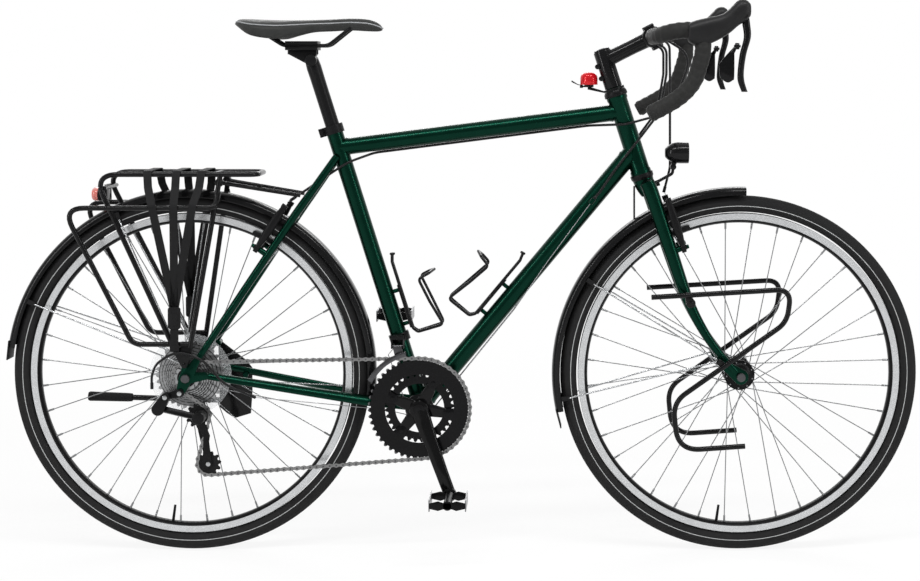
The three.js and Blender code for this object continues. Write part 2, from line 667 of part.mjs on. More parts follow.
const seatTube = barrel(shellCentre, seatPoint(frameSize.seatTubeLength), tubeRadius.seat);
const topTube = barrel(topTubeEnds[0], topTubeEnds[1], tubeRadius.top);
const downTube = barrel(downTubeEnds[0], downTubeEnds[1], tubeRadius.down);
const headTube = turnedAlong([
  [0, forkSize.length + gap],
  [headset.lipRadius, forkSize.length + gap],
  [headset.radius, headBottom - weld],
  [headset.radius, headBottom],
  [tubeRadius.head, headBottom],
  [tubeRadius.head, headTop],
  [headset.radius, headTop],
  [headset.radius, headTop + headset.upperStack / 2],
  [headset.lipRadius, headTop + headset.upperStack - gap],
  [0, headTop + headset.upperStack - gap],
], steerFoot, steerUp, facetCount.tube);
const bracketShell = acrossBarrel(shellCentre, -shell.width / 2, shell.width / 2, tubeRadius.shell, facetCount.round);

// Frame: stays, dropouts and bridges, made on the left and mirrored

const fromRear = (x, z, y = 0) => at(rearAxle.x + x, y, rearAxle.z + z);
const fromShell = (x, z, y = 0) => at(shellCentre.x - x, y, shellCentre.z + z);
const seatstayTop = seatPoint(seatstay.topAlong, -seatstay.topBack, seatstay.topSpread);
const seatstayMiddle = fromRear(seatstay.midX, seatstay.midZ, seatstay.midSpread);
const seatstayEnd = fromRear(seatstay.endX, seatstay.endZ, seatstay.endSpread);
const leftSeatstay = taperedTube([
  { centre: seatstayTop, wide: seatstay.topRadius, deep: seatstay.topRadius },
  { centre: seatstayMiddle, wide: seatstay.midRadius, deep: seatstay.midRadius },
  { centre: seatstayEnd, wide: seatstay.endRadius, deep: seatstay.endRadius },
]);
const chainstayAt = (x, rise, spread, radius) => ({
  centre: fromShell(x, rise, spread),
  wide: radius - chainstay.ovality,
  deep: radius + chainstay.ovality,
});
const leftChainstay = taperedTube([
  chainstayAt(chainstay.startX, chainstay.startRise, chainstay.startSpread, chainstay.startRadius),
  chainstayAt(chainstay.waistX, chainstay.waistRise, chainstay.waistSpread, chainstay.waistRadius),
  chainstayAt(chainstay.swellX, chainstay.swellRise, chainstay.swellSpread, chainstay.swellRadius),
  {
    centre: fromRear(chainstay.endX, chainstay.endZ, chainstay.endSpread),
    wide: chainstay.endRadius - chainstay.ovality,
    deep: chainstay.endRadius,
  },
]);

const dropoutInner = rearHub.width / 2 + gap;
const dropoutOuter = dropoutInner + dropout.thickness;
const eyeletRear = fromRear(-rackEyelet.x, rackEyelet.z);
const hangerPoint = fromRear(-dropout.hangerX, -dropout.hangerZ);
const dropoutDiscs = [
  { centre: rearAxle, radius: dropout.radius },
  { centre: side(seatstayEnd.x, seatstayEnd.z), radius: seatstay.endRadius },
  { centre: fromRear(chainstay.endX, chainstay.endZ), radius: chainstay.endRadius },
  { centre: eyeletRear, radius: dropout.eyeletRadius },
];
const leftDropout = plate(hullOutline(dropoutDiscs), dropoutInner, dropoutOuter);
const hangerDiscs = [
  { centre: rearAxle, radius: dropout.radius },
  { centre: hangerPoint, radius: dropout.hangerRadius },
];
const hanger = plate(hullOutline(hangerDiscs), -dropoutOuter, -dropoutInner);

const mudguardOuter = mudguard.rearRadius + mudguard.thickness;
const bridgeRadiusFromAxle = mudguardOuter + gap + tubeRadius.bridge;
const seatstayBridgeCentre = polar(rearAxle, bridgeRadiusFromAxle, stayBridgeDegrees());
const chainstayBridgeCentre = polar(rearAxle, bridgeRadiusFromAxle, chainBridgeDegrees());

function stayBridgeDegrees() {
  return THREE.MathUtils.radToDeg(Math.atan2(seatstay.midZ, seatstay.midX));
}
function chainBridgeDegrees() {
  const drop = rearAxle.z - shellCentre.z - chainstay.waistRise;
  return -THREE.MathUtils.radToDeg(Math.asin(drop / bridgeRadiusFromAxle));
}
const seatstayBridge = acrossBarrel(
  seatstayBridgeCentre,
  -seatstay.midSpread,
  seatstay.midSpread,
  tubeRadius.bridge,
);
const chainstayBridge = acrossBarrel(
  chainstayBridgeCentre,
  -chainstay.waistSpread,
  chainstay.waistSpread,
  tubeRadius.bridge,
);

// Frame: brake bosses behind the seat stays

const stayUp = side(seatstayMiddle.x - seatstayEnd.x, seatstayMiddle.z - seatstayEnd.z).normalize();
const stayBack = side(-stayUp.z, stayUp.x);
function pointAtRadius(from, direction, centre, radius) {
  const offset = from.clone().sub(centre);
  offset.y = 0;
  const along = offset.dot(direction);
  const reach = -along + Math.sqrt(along ** 2 - offset.lengthSq() + radius ** 2);
  return from.clone().addScaledVector(direction, reach);
}
const rearBossRoot = pointAtRadius(seatstayEnd, stayUp, rearAxle, bossPlace.rear);
const bossShare = (rearBossRoot.z - seatstayEnd.z) / (seatstayMiddle.z - seatstayEnd.z);
rearBossRoot.y = THREE.MathUtils.lerp(seatstayEnd.y, seatstayMiddle.y, bossShare);
const bossProfile = [
  [0, 0],
  [brakeBoss.radius, 0],
  [brakeBoss.radius, brakeBoss.length],
  [brakeBoss.studRadius, brakeBoss.length],
  [brakeBoss.studRadius, brakeBoss.length + brakeBoss.studLength],
  [0, brakeBoss.length + brakeBoss.studLength],
];
const rearBoss = turnedAlong(bossProfile, rearBossRoot, stayBack, facetCount.stay);

// Frame: bottle bosses, cable stops and the stand's bosses

const bossRow = (pointOf, starts, reach) => starts.map((along) => barrel(
  pointOf(along),
  pointOf(along, reach),
  tubeRadius.boss,
  tubeRadius.boss,
  facetCount.small,
));
const seatBossReach = tubeRadius.seat + bottleCage.base - gap;
const downBossReach = tubeRadius.down + bottleCage.base - gap;
const bossSteps = [bottleCage.plateStart, bottleCage.plateLength - bottleCage.plateStart];
const seatBosses = bossRow(seatPoint, bossSteps.map((step) => cageAlong.seat + step), seatBossReach);
const downBosses = bossRow(downPoint, bossSteps.map((step) => cageAlong.down + step), downBossReach);

const stopSide = tubeRadius.down + cableStop.stand;
const leftStop = barrel(
  downPoint(frameSize.downStopAlong - cableStop.length / 2, 0, stopSide),
  downPoint(frameSize.downStopAlong + cableStop.length / 2, 0, stopSide),
  cableStop.radius,
  cableStop.radius,
  facetCount.small,
);
const leftStopFoot = barrel(
  downPoint(frameSize.downStopAlong, 0, tubeRadius.down - weld),
  downPoint(frameSize.downStopAlong, 0, stopSide),
  cableStop.radius,
  cableStop.radius,
  facetCount.small,
);
const standBosses = [
  fromRear(standFixing.lowX, standFixing.lowZ),
  fromRear(standFixing.highX, standFixing.highZ),
].map((centre) => acrossBarrel(
  centre,
  seatstay.midSpread + seatstay.midSpread / 2,
  stand.plateY - gap,
  tubeRadius.bridge,
));

// Frame: the whole

const framePairs = [leftSeatstay, leftChainstay, leftDropout, rearBoss, leftStop, leftStopFoot];
const frameSolid = join(
  seatTube,
  topTube,
  downTube,
  bracketShell,
  headTube,
  framePairs.map(bothSides),
  hanger,
  seatstayBridge,
  chainstayBridge,
  seatBosses,
  downBosses,
  standBosses,
);
const seatBoreCut = barrel(
  seatPoint(frameSize.seatTubeLength - seatBore.depth),
  seatPoint(frameSize.seatTubeLength + overrun),
  seatBore.radius,
);
const headBoreCut = barrel(
  steerPoint(forkSize.length - overrun),
  steerPoint(headTop + overrun),
  headBore.radius,
);
const shellBoreCut = acrossBarrel(shellCentre, -shell.width, shell.width, shell.boreRadius, facetCount.round);
const rearAxleCut = acrossBarrel(
  rearAxle,
  -rearHub.width,
  rearHub.width,
  axle.radius + axle.clearance,
  facetCount.stay,
);
const cableBoreCuts = [-stopSide, stopSide].map((y) => barrel(
  downPoint(frameSize.downStopAlong - cableStop.length, 0, y),
  downPoint(frameSize.downStopAlong + cableStop.length, 0, y),
  cable.radius + gap * 3,
  cable.radius + gap * 3,
  facetCount.small,
));
const frameCuts = [seatBoreCut, headBoreCut, shellBoreCut, rearAxleCut, cableBoreCuts];
addPart('frame', cut(frameSolid, ...frameCuts), finish.green);

// Bottom bracket

const cupStart = shell.width / 2 + gap;
addPart('bottom_bracket', turned([
  [cup.boreRadius, -cupStart - cup.width],
  [cup.radius, -cupStart - cup.width],
  [cup.radius, -cupStart],
  [cup.sleeveRadius, -cupStart],
  [cup.sleeveRadius, cupStart],
  [cup.radius, cupStart],
  [cup.radius, cupStart + cup.width],
  [cup.boreRadius, cupStart + cup.width],
  [cup.boreRadius, -cupStart - cup.width],
], shellCentre), finish.black);

// Seat collar, post and saddle

const collarTop = frameSize.seatTubeLength + collar.rise;
const collarLow = collarTop - collar.height;
const collarRing = barrel(seatPoint(collarLow), seatPoint(collarTop), collar.radius);
const collarEars = plate([
  seatPoint(collarLow),
  seatPoint(collarTop),
  seatPoint(collarTop, -collar.radius - collar.earLength),
  seatPoint(collarLow, -collar.radius - collar.earLength),
], -collar.earWidth / 2, collar.earWidth / 2);
const collarBolt = acrossBarrel(
  seatPoint((collarLow + collarTop) / 2, -collar.radius - collar.earLength / 2),
  -collar.earWidth / 2 - collar.boltRadius,
  collar.earWidth / 2 + collar.boltRadius,
  collar.boltRadius,
);
const collarCuts = [
  barrel(seatPoint(collarLow - overrun), seatPoint(frameSize.seatTubeLength + gap), tubeRadius.seat + gap),
  barrel(seatPoint(collarLow - overrun), seatPoint(collarTop + overrun), seatBore.radius),
  plate([
    seatPoint(collarLow - overrun),
    seatPoint(collarTop + overrun),
    seatPoint(collarTop + overrun, -collar.radius - collar.slotDepth),
    seatPoint(collarLow - overrun, -collar.radius - collar.slotDepth),
  ], -collar.slotWidth / 2, collar.slotWidth / 2),
];
addPart('seat_collar', cut(join(collarRing, collarEars, collarBolt), ...collarCuts), finish.black);

const postLow = frameSize.seatTubeLength - seatpost.insert;
const post = barrel(seatPoint(postLow), seatPoint(seatpost.top), seatpost.radius);
const headCentre = seatPoint(seatpost.top);
const postHead = acrossBarrel(headCentre, -seatpost.headWidth / 2, seatpost.headWidth / 2, seatpost.headRadius);
const clampCentre = side(headCentre.x - saddleClamp.back, rails.height);
const clampLowZ = rails.height - rails.radius - saddleClamp.height;
const clampHighZ = rails.height + rails.radius + saddleClamp.height;
const boxOutline = (x, halfLength, lowZ, highZ) => [
  side(x - halfLength, lowZ),
  side(x + halfLength, lowZ),
  side(x + halfLength, highZ),
  side(x - halfLength, highZ),
];
const clampBlock = plate(
  boxOutline(clampCentre.x, saddleClamp.length / 2, clampLowZ, clampHighZ),
  -saddleClamp.width / 2,
  saddleClamp.width / 2,
);
const boltLowZ = clampLowZ - saddleClamp.boltDrop;
const yokeBolts = [-saddleClamp.boltReach, saddleClamp.boltReach].map((x) => barrel(
  side(clampCentre.x + x, boltLowZ),
  side(clampCentre.x + x, clampHighZ),
  saddleClamp.boltRadius,
  saddleClamp.boltRadius,
  facetCount.small,
));
const yoke = plate([
  side(clampCentre.x - saddleClamp.boltReach - weld, boltLowZ + weld),
  side(headCentre.x, headCentre.z - seatpost.headRadius),
  side(clampCentre.x + saddleClamp.boltReach + weld, boltLowZ + weld),
  side(clampCentre.x + saddleClamp.boltReach + weld, clampLowZ + weld),
  side(clampCentre.x - saddleClamp.boltReach - weld, clampLowZ + weld),
], -seatpost.headRadius, seatpost.headRadius);
const railBores = [-rails.spread, rails.spread].map((y) => barrel(
  at(clampCentre.x - saddleClamp.length, y, rails.height),
  at(clampCentre.x + saddleClamp.length, y, rails.height),
  saddleClamp.railBore,
  saddleClamp.railBore,
  facetCount.small,
));
addPart('seatpost', cut(join(post, postHead, clampBlock, yokeBolts, yoke), railBores), finish.black);

const railPath = (y) => [
  at(clampCentre.x - rails.rearReach, y, rails.height + rails.rearRise),
  at(clampCentre.x - saddleClamp.length / 2 - rails.radius, y, rails.height),
  at(clampCentre.x + saddleClamp.length / 2 + rails.frontRun, y, rails.height),
  at(clampCentre.x + rails.frontReach, y, rails.height + rails.frontRise),
];
const saddleRails = [-rails.spread, rails.spread].map((y) => rod(railPath(y), rails.radius, 0));
const saddleRings = saddleShares.map(({ along, half, crown, edge, skirt }) => {
  const x = saddle.rearX + saddle.length * along;
  const wide = (saddle.width / 2) * half;
  const level = (share) => saddle.topZ - saddle.height * share;
  const blend = THREE.MathUtils.lerp;
  const low = blend(level(skirt), level(crown), saddle.hollowShare);
  const flank = [
    at(x, wide * saddle.crownShare, blend(level(crown), level(edge), saddle.crownFallShare)),
    at(x, wide * saddle.shoulderShare, level(edge)),
    at(x, wide, blend(level(edge), level(skirt), saddle.bulgeShare)),
    at(x, wide * saddle.hemShare, level(skirt)),
  ];
  const otherFlank = [...flank].reverse().map((point) => at(x, -point.y, point.z));
  return [at(x, 0, level(crown)), ...flank, at(x, 0, low), ...otherFlank];
});
addPart('saddle', join(loft(saddleRings), saddleRails), finish.rubber);

// Fork

const crownTop = forkSize.length;
const crownMiddle = crownTop - forkSize.crownDrop;
const steerer = barrel(steerPoint(crownMiddle), steerPoint(forkSize.steererTop), forkSize.steererRadius);
const crown = turnedAlong([
  [0, crownMiddle - forkSize.crownDrop],
  [forkSize.crownRadius, crownMiddle - forkSize.crownDrop],
  [tubeRadius.head, crownMiddle],
  [headset.lipRadius, crownTop - weld],
  [headset.lipRadius, crownTop],
  [0, crownTop],
], steerFoot, steerUp, facetCount.tube);
const crownBar = barrel(
  steerPoint(crownMiddle, bladeStations[0].ahead, -forkSize.bladeSpread),
  steerPoint(crownMiddle, bladeStations[0].ahead, forkSize.bladeSpread),
  forkSize.crownRadius,
);
const leftBlade = taperedTube(bladeStations.map(({ alongShare, ahead, spread, wide, deep }) => ({
  centre: steerPoint(forkSize.length * alongShare, ahead, spread),
  wide,
  deep,
})));
const forkInner = frontHub.width / 2 + gap;
const forkOuter = forkInner + forkSize.dropoutThickness;
const bladePoint = (index) => {
  const { alongShare, ahead } = bladeStations.at(index);
  return steerPoint(forkSize.length * alongShare, ahead);
};
const eyeletFront = side(frontAxle.x - forkSize.eyeletX, frontAxle.z + forkSize.eyeletZ);
const leftForkEnd = plate(hullOutline([
  { centre: frontAxle, radius: dropout.radius - weld },
  { centre: mix(bladePoint(-1), bladePoint(-2), 0.5), radius: dropout.eyeletRadius },
  { centre: eyeletFront, radius: dropout.eyeletRadius },
]), forkInner, forkOuter);
const leftForkEyelet = acrossBarrel(eyeletFront, forkInner, forkSize.eyeletReach, dropout.eyeletRadius);
const frontBossRoot = pointAtRadius(
  steerPoint(forkSize.length * bladeStations[3].alongShare, bladeStations[2].ahead, forkSize.bossSpread),
  steerUp,
  frontAxle,
  bossPlace.front,
);
const frontBoss = turnedAlong(bossProfile, frontBossRoot, steerAhead, facetCount.stay);
const lowriderBossAt = steerPoint(lowrider.bossAlong, lowrider.bossAhead);
const lowriderBoss = barrel(
  at(lowriderBossAt.x, forkSize.bossSpread, lowriderBossAt.z),
  at(lowriderBossAt.x, lowrider.bossReach, lowriderBossAt.z),
  tubeRadius.bridge,
  tubeRadius.bridge,
  facetCount.small,
);
const forkSolid = join(
  steerer,
  crown,
  crownBar,
  [leftBlade, leftForkEnd, leftForkEyelet, frontBoss, lowriderBoss].map(bothSides),
);
const frontAxleCut = acrossBarrel(
  frontAxle,
  -frontHub.width,
  frontHub.width,
  axle.radius + axle.clearance,
  facetCount.stay,
);
addPart('fork', cut(forkSolid, frontAxleCut), finish.green);

// Stem

const clampBase = headTop + headset.upperStack + bell.ring;
const clampTop = clampBase + stemSize.clampHeight;
const stemRoot = steerPoint(clampBase + stemSize.extensionRise);
const stemDirection = side(Math.cos(radians(stemRiseDegrees)), Math.sin(radians(stemRiseDegrees)));
const barCentre = stemRoot.clone().addScaledVector(stemDirection, stemSize.length);
const stemBody = barrel(steerPoint(clampBase + gap), steerPoint(clampTop), stemSize.clampRadius);
const stemCap = barrel(
  steerPoint(clampTop),
  steerPoint(clampTop + stemSize.capHeight),
  stemSize.clampRadius,
  stemSize.capRadius,
);
const stemTube = barrel(stemRoot, barCentre, stemSize.tubeRadius);
const barClamp = acrossBarrel(
  barCentre,
  -stemSize.barClampWidth / 2,
  stemSize.barClampWidth / 2,
  stemSize.barClampRadius,
  facetCount.round,
);
const clampBoltAlong = [stemSize.boltStep, stemSize.boltStep * 2];
const clampBolts = clampBoltAlong.map((along) => acrossBarrel(
  steerPoint(clampBase + along, -stemSize.clampRadius - weld),
  -stemSize.boltWidth / 2,
  stemSize.boltWidth / 2,
  stemSize.boltRadius,
));
const stemUp = side(-stemDirection.z, stemDirection.x);
const faceBolts = [-1, 1].flatMap((half) => [-1, 1].map((edge) => {
  const y = half * (stemSize.barClampWidth / 2 - stemSize.faceBoltRadius);
  const foot = barCentre.clone().addScaledVector(stemUp, edge * stemSize.barClampRadius);
  const back = foot.clone().addScaledVector(stemDirection, -stemSize.barClampRadius / 2);
  const front = foot.clone().addScaledVector(stemDirection, stemSize.barClampRadius / 2);
  back.y = y;
  front.y = y;
  return barrel(back, front, stemSize.faceBoltRadius, stemSize.faceBoltRadius, facetCount.small);
}));
const steererCut = barrel(steerPoint(clampBase - overrun), steerPoint(forkSize.steererTop + gap), forkSize.steererRadius + gap);
const barCut = acrossBarrel(
  barCentre,
  -stemSize.barClampWidth,
  stemSize.barClampWidth,
  bar.clampRadius + gap,
  facetCount.round,
);
const stemSolid = join(stemBody, stemCap, stemTube, barClamp, clampBolts, faceBolts);
addPart('stem', cut(stemSolid, steererCut, barCut), finish.gloss);

// Handlebar, tape and hoods

const barHalf = barShares.map(({ reach, out, fall }) => at(
  barCentre.x + bar.reach * reach,
  bar.halfWidth * out,
  barCentre.z - bar.drop * fall,
));
const tapeStart = at(barCentre.x, bar.tapeStart, barCentre.z);
const barEnd = barHalf.at(-1);
const barHalfPath = [at(barCentre.x, 0, barCentre.z), tapeStart, ...barHalf];
const leftBarRod = rod(barHalfPath, bar.radius, 0, facetCount.small);
const bulge = turned([
  [0, -bar.tapeStart + weld],
  [bar.radius, -bar.tapeStart + weld],
  [bar.clampRadius, -bar.bulgeHalf],
  [bar.clampRadius, bar.bulgeHalf],
  [bar.radius, bar.tapeStart - weld],
  [0, bar.tapeStart - weld],
], barCentre);
addPart('handlebar', join(bothSides(leftBarRod), bulge), finish.black);

const endDirection = barEnd.clone().sub(barHalf.at(-2)).normalize();
const plugEnd = barEnd.clone().addScaledVector(endDirection, bar.plugLength);
const tapePath = [tapeStart, ...barHalf.slice(0, -1), plugEnd];
const tapeBore = [at(barCentre.x, bar.bulgeHalf, barCentre.z), ...barHalf.slice(0, -1)];
tapeBore.push(barEnd.clone().addScaledVector(endDirection, gap));
const leftTape = rod(tapePath, bar.tapeRadius, 0, facetCount.small)
  .subtract(rod(tapeBore, bar.radius + gap, 0, facetCount.small));
addPair('bar_tape', mirrored(geometryOf(leftTape)), finish.rubber);

const hoodBase = side(barHalf[5].x - hood.back, barCentre.z - hood.below);
const hoodRings = hoodShares.map(({ along, low, high, wide }) => {
  const x = hoodBase.x + hood.length * along;
  const lowZ = hoodBase.z + hood.height * low;
  const highZ = hoodBase.z + hood.height * high;
  return ovalRing(
    at(x, hood.out, (lowZ + highZ) / 2),
    at(0, 1, 0),
    (hood.width / 2) * wide,
    at(0, 0, 1),
    (highZ - lowZ) / 2,
    facetCount.stay,
  );
});
const leverPivot = side(
  hoodBase.x + hood.length - lever.pivotBack,
  hoodBase.z + hood.height - lever.pivotDown,
);
const hoodSlot = plate([
  side(leverPivot.x - lever.width, leverPivot.z - hood.height),
  side(leverPivot.x + hood.length, leverPivot.z - hood.height),
  side(leverPivot.x + hood.length, leverPivot.z + lever.width / 2 + weld),
  side(leverPivot.x - lever.width, leverPivot.z + lever.width / 2 + weld),
], hood.out - lever.slotWidth / 2, hood.out + lever.slotWidth / 2);
const pinBore = acrossBarrel(leverPivot, 0, bar.halfWidth * 2, lever.pinRadius + axle.clearance, facetCount.stay);
const tapeCut = rod(tapePath, bar.tapeRadius + gap, 0, facetCount.small);
const leftHood = cut(loft(hoodRings), tapeCut, hoodSlot, pinBore);
addPair('hood', mirrored(geometryOf(leftHood)), finish.rubber);

// Brake levers and shift paddles

const leverProfile = (thickness) => {
  const back = leverShares.map(({ fall, back: edge }) => side(
    leverPivot.x + lever.width * edge,
    leverPivot.z - lever.drop * fall,
  ));
  const front = leverShares.map(({ fall, front: edge }) => side(
    leverPivot.x + lever.width * edge,
    leverPivot.z - lever.drop * fall,
  ));
  return plate([...back, ...front.reverse()], hood.out - thickness / 2, hood.out + thickness / 2);
};
const leverPin = acrossBarrel(
  leverPivot,
  hood.out - lever.pinReach,
  hood.out + lever.pinReach,
  lever.pinRadius,
);
const paddlePivot = side(leverPivot.x - lever.width / 2, leverPivot.z - lever.drop * paddle.hangShare);
const paddlePin = barrel(
  at(paddlePivot.x - paddle.pinLength, hood.out, paddlePivot.z),
  at(paddlePivot.x + weld, hood.out, paddlePivot.z),
  paddle.pinRadius,
  paddle.pinRadius,
  facetCount.small,
);
const leftLever = join(leverProfile(lever.thickness), leverPin, paddlePin);
addPair('brake_lever', mirrored(geometryOf(leftLever)), finish.gloss);

const paddleRing = turnedAlong([
  [paddle.pinRadius + axle.clearance, gap],
  [paddle.ringRadius, gap],
  [paddle.ringRadius, paddle.ringWidth],
  [paddle.pinRadius + axle.clearance, paddle.ringWidth],
  [paddle.pinRadius + axle.clearance, gap],
], at(paddlePivot.x - weld * 2, hood.out, paddlePivot.z), side(-1, 0), facetCount.stay);
const paddleInner = hood.out - paddle.inboard;
const paddleBlade = plate([
  side(paddlePivot.x - paddle.ringWidth, paddlePivot.z),
  side(paddlePivot.x - paddle.ringWidth - paddle.width, paddlePivot.z - paddle.height * paddle.shoulderShare),
  side(paddlePivot.x - paddle.ringWidth - paddle.width, paddlePivot.z - paddle.height * paddle.heelShare),
  side(paddlePivot.x - paddle.ringWidth - paddle.width / 2, paddlePivot.z - paddle.height),
  side(paddlePivot.x - paddle.ringWidth, paddlePivot.z - paddle.height * paddle.heelShare),
], paddleInner - paddle.thickness, paddleInner);
const paddleArm = plate([
  side(paddlePivot.x - weld - paddle.ringWidth / 2, paddlePivot.z - paddle.ringRadius / 2),
  side(paddlePivot.x - weld - paddle.ringWidth, paddlePivot.z - paddle.ringRadius / 2),
  side(paddlePivot.x - paddle.ringWidth - paddle.armWidth, paddlePivot.z - paddle.ringRadius * 2),
  side(paddlePivot.x - paddle.ringWidth, paddlePivot.z - paddle.ringRadius * 2),
], paddleInner - paddle.thickness, hood.out - paddle.pinRadius - axle.clearance - gap);
addPair('shift_paddle', mirrored(geometryOf(join(paddleRing, paddleArm, paddleBlade))), finish.gloss);

// Bell

const bellRing = turnedAlong([
  [forkSize.steererRadius + gap, clampBase - bell.ring + gap],
  [headset.lipRadius, clampBase - bell.ring + gap],
  [headset.lipRadius, clampBase],
  [forkSize.steererRadius + gap, clampBase],
  [forkSize.steererRadius + gap, clampBase - bell.ring + gap],
], steerFoot, steerUp, facetCount.tube);
const bellMiddle = steerPoint(clampBase - bell.ring / 2);
const bellPost = side(bellMiddle.x - bell.back, bellMiddle.z + bell.rise);
const bellArm = plate([
  steerPoint(clampBase - bell.ring + gap, weld - headset.lipRadius),
  steerPoint(clampBase - weld, weld - headset.lipRadius),
  side(bellPost.x, bellPost.z),
  side(bellPost.x - bell.ring, bellPost.z),
  side(bellPost.x - bell.ring, bellPost.z - bell.ring),
], -bell.baseRadius / 2, bell.baseRadius / 2);
const bellDirection = side(-Math.sin(radians(bellTiltDegrees)), Math.cos(radians(bellTiltDegrees)));
const bellDome = turnedAlong([
  [0, 0],
  [bell.baseRadius, 0],
  [bell.baseRadius, bell.baseHeight],
  [bell.radius * bell.rimShare, bell.baseHeight],
  [bell.radius, bell.baseHeight + weld],
  [bell.radius * bell.shoulderShare, bell.baseHeight + bell.height * bell.bulgeShare],
  [bell.radius * bell.topShare, bell.baseHeight + bell.height * bell.crownShare],
  [0, bell.baseHeight + bell.height],
], side(bellPost.x - bell.ring / 2, bellPost.z - weld), bellDirection);
const hammerPivot = side(
  bellPost.x - bell.ring / 2 - bell.baseRadius - hammer.post,
  bellPost.z + hammer.lift,
);
const hammerPost = barrel(
  side(bellPost.x - bell.ring / 2, hammerPivot.z),
  hammerPivot,
  hammer.pinRadius,
  hammer.pinRadius,
  facetCount.small,
);
addPart('bell', join(bellRing, bellArm, bellDome, hammerPost), finish.red);
const hammerBody = turnedAlong([
  [hammer.pinRadius + axle.clearance, 0],
  [hammer.ringRadius, 0],
  [hammer.ringRadius, hammer.thickness],
  [hammer.pinRadius + axle.clearance, hammer.thickness],
  [hammer.pinRadius + axle.clearance, 0],
], side(bellPost.x - bell.ring / 2 - bell.baseRadius - gap, hammerPivot.z), side(-1, 0), facetCount.stay);
const hammerTab = plate([
  side(hammerPivot.x + hammer.post / 2, hammerPivot.z + hammer.ringRadius),
  side(hammerPivot.x + hammer.post / 4, hammerPivot.z + hammer.pinRadius + axle.clearance + gap),
  side(hammerPivot.x - hammer.post / 2, hammerPivot.z + hammer.pinRadius + axle.clearance + gap),
  side(hammerPivot.x - hammer.length, hammerPivot.z + hammer.rise),
  side(hammerPivot.x - hammer.length, hammerPivot.z + hammer.rise + hammer.ringRadius),
  side(hammerPivot.x - hammer.post / 2, hammerPivot.z + hammer.ringRadius + weld),
], -hammer.width / 2, hammer.width / 2);
addPart('bell_hammer', join(hammerBody, hammerTab), finish.black);

// Headlight

const lampCentre = side(headlight.x, headlight.z);
const lampBody = turnedAlong([
  [0, -headlight.length / 2],
  [headlight.radius * headlight.backShare, -headlight.length / 2],
  [headlight.radius * headlight.waistShare, -headlight.length / 4],
  [headlight.radius, 0],
  [headlight.radius, headlight.length / 2],
  [headlight.radius - weld, headlight.length / 2],
  [headlight.radius - weld, headlight.length / 2 - weld],
  [0, headlight.length / 2 - weld],
], lampCentre, side(1, 0));
const lampFoot = acrossBarrel(
  side(lampCentre.x - headlight.hingeBack, headlight.hingeZ),
  -headlight.footHalf,
  headlight.footHalf,
  headlight.bracketRadius * 2,
);
const lampNeck = plate([
  side(lampCentre.x - headlight.hingeBack - headlight.bracketRadius, headlight.hingeZ),
  side(lampCentre.x - headlight.hingeBack + headlight.bracketRadius, headlight.hingeZ),
  side(lampCentre.x + headlight.bracketRadius, lampCentre.z),
  side(lampCentre.x - headlight.hingeBack - headlight.bracketRadius, lampCentre.z),
], -headlight.bracketRadius, headlight.bracketRadius);
const crownFront = steerPoint(crownMiddle, forkSize.crownFront);
const lampBracket = rod([
  side(lampCentre.x - headlight.hingeBack, headlight.hingeZ),
  crownFront.clone().addScaledVector(steerAhead, headlight.bracketRadius * 2).addScaledVector(steerUp, weld),
], headlight.bracketRadius, 0, facetCount.small);
const lampRing = barrel(
  crownFront.clone().addScaledVector(steerAhead, gap),
  crownFront.clone().addScaledVector(steerAhead, headlight.bracketRadius * 3),
  headlight.bracketRadius * 2,
  headlight.bracketRadius * 2,
);
addPart('headlight', join(lampBody, lampFoot, lampNeck, lampBracket, lampRing), finish.black);

// Wheels: hubs and spokes, rims, tyres

function spokeFan(flangeY, holeRadius, centre, phase) {
  const perSide = spokes.count / 2;
  const step = 360 / perSide;
  const facetDegrees = 360 / facetCount.wheel;
  const flatRadius = rimInner * Math.cos(Math.PI / facetCount.wheel);
  const solids = [];
  for (let i = 0; i < perSide; i += 1) {
    const lead = i % 2 === 0 ? 1 : -1;
    const hubDegrees = phase + i * step;
    const rimDegrees = phase + i * step + lead * step * spokes.lean;
    const pastCorner = (((rimDegrees - 90) % facetDegrees) + facetDegrees) % facetDegrees;
    const rimRadius = flatRadius / Math.cos(radians(pastCorner - facetDegrees / 2)) - gap * 2;
    const sink = flangeY > 0 ? -1 : 1;
    const start = polar(centre, holeRadius, hubDegrees, flangeY + sink * lead * spokes.flangeOffset);
    const end = polar(centre, rimRadius, rimDegrees, Math.sign(flangeY) * spokes.rimOffset);
    solids.push(barrel(start, end, spokes.radius, spokes.radius, facetCount.thread));
  }
  return solids;
}
const rimInner = tyre.beadRadius - rim.flangeHeight - rim.depth;

const rearHubSolid = turned([
  [axle.radius + axle.clearance, -rearHub.rightNose],
  [rearHub.barrelRadius, -rearHub.rightNose],
  [rearHub.flangeRadius, -rearHub.rightFlange - rearHub.flangeWidth / 2],
  [rearHub.flangeRadius, -rearHub.rightFlange + rearHub.flangeWidth / 2],
  [rearHub.barrelRadius, -rearHub.rightFlange + rearHub.flangeWidth],
  [rearHub.barrelRadius, rearHub.leftFlange - rearHub.flangeWidth],
  [rearHub.flangeRadius, rearHub.leftFlange - rearHub.flangeWidth / 2],
  [rearHub.flangeRadius, rearHub.leftFlange + rearHub.flangeWidth / 2],
  [rearHub.barrelRadius, rearHub.leftFlange + rearHub.flangeWidth],
  [rearHub.noseRadius, rearHub.leftNose],
  [axle.radius + axle.clearance, rearHub.leftNose],
  [axle.radius + axle.clearance, -rearHub.rightNose],
], rearAxle, facetCount.hub);
const rearSpokes = [
  spokeFan(-rearHub.rightFlange, rearHub.holeRadius, rearAxle, spokeDegrees.right),
  spokeFan(rearHub.leftFlange, rearHub.holeRadius, rearAxle, spokeDegrees.left),
];
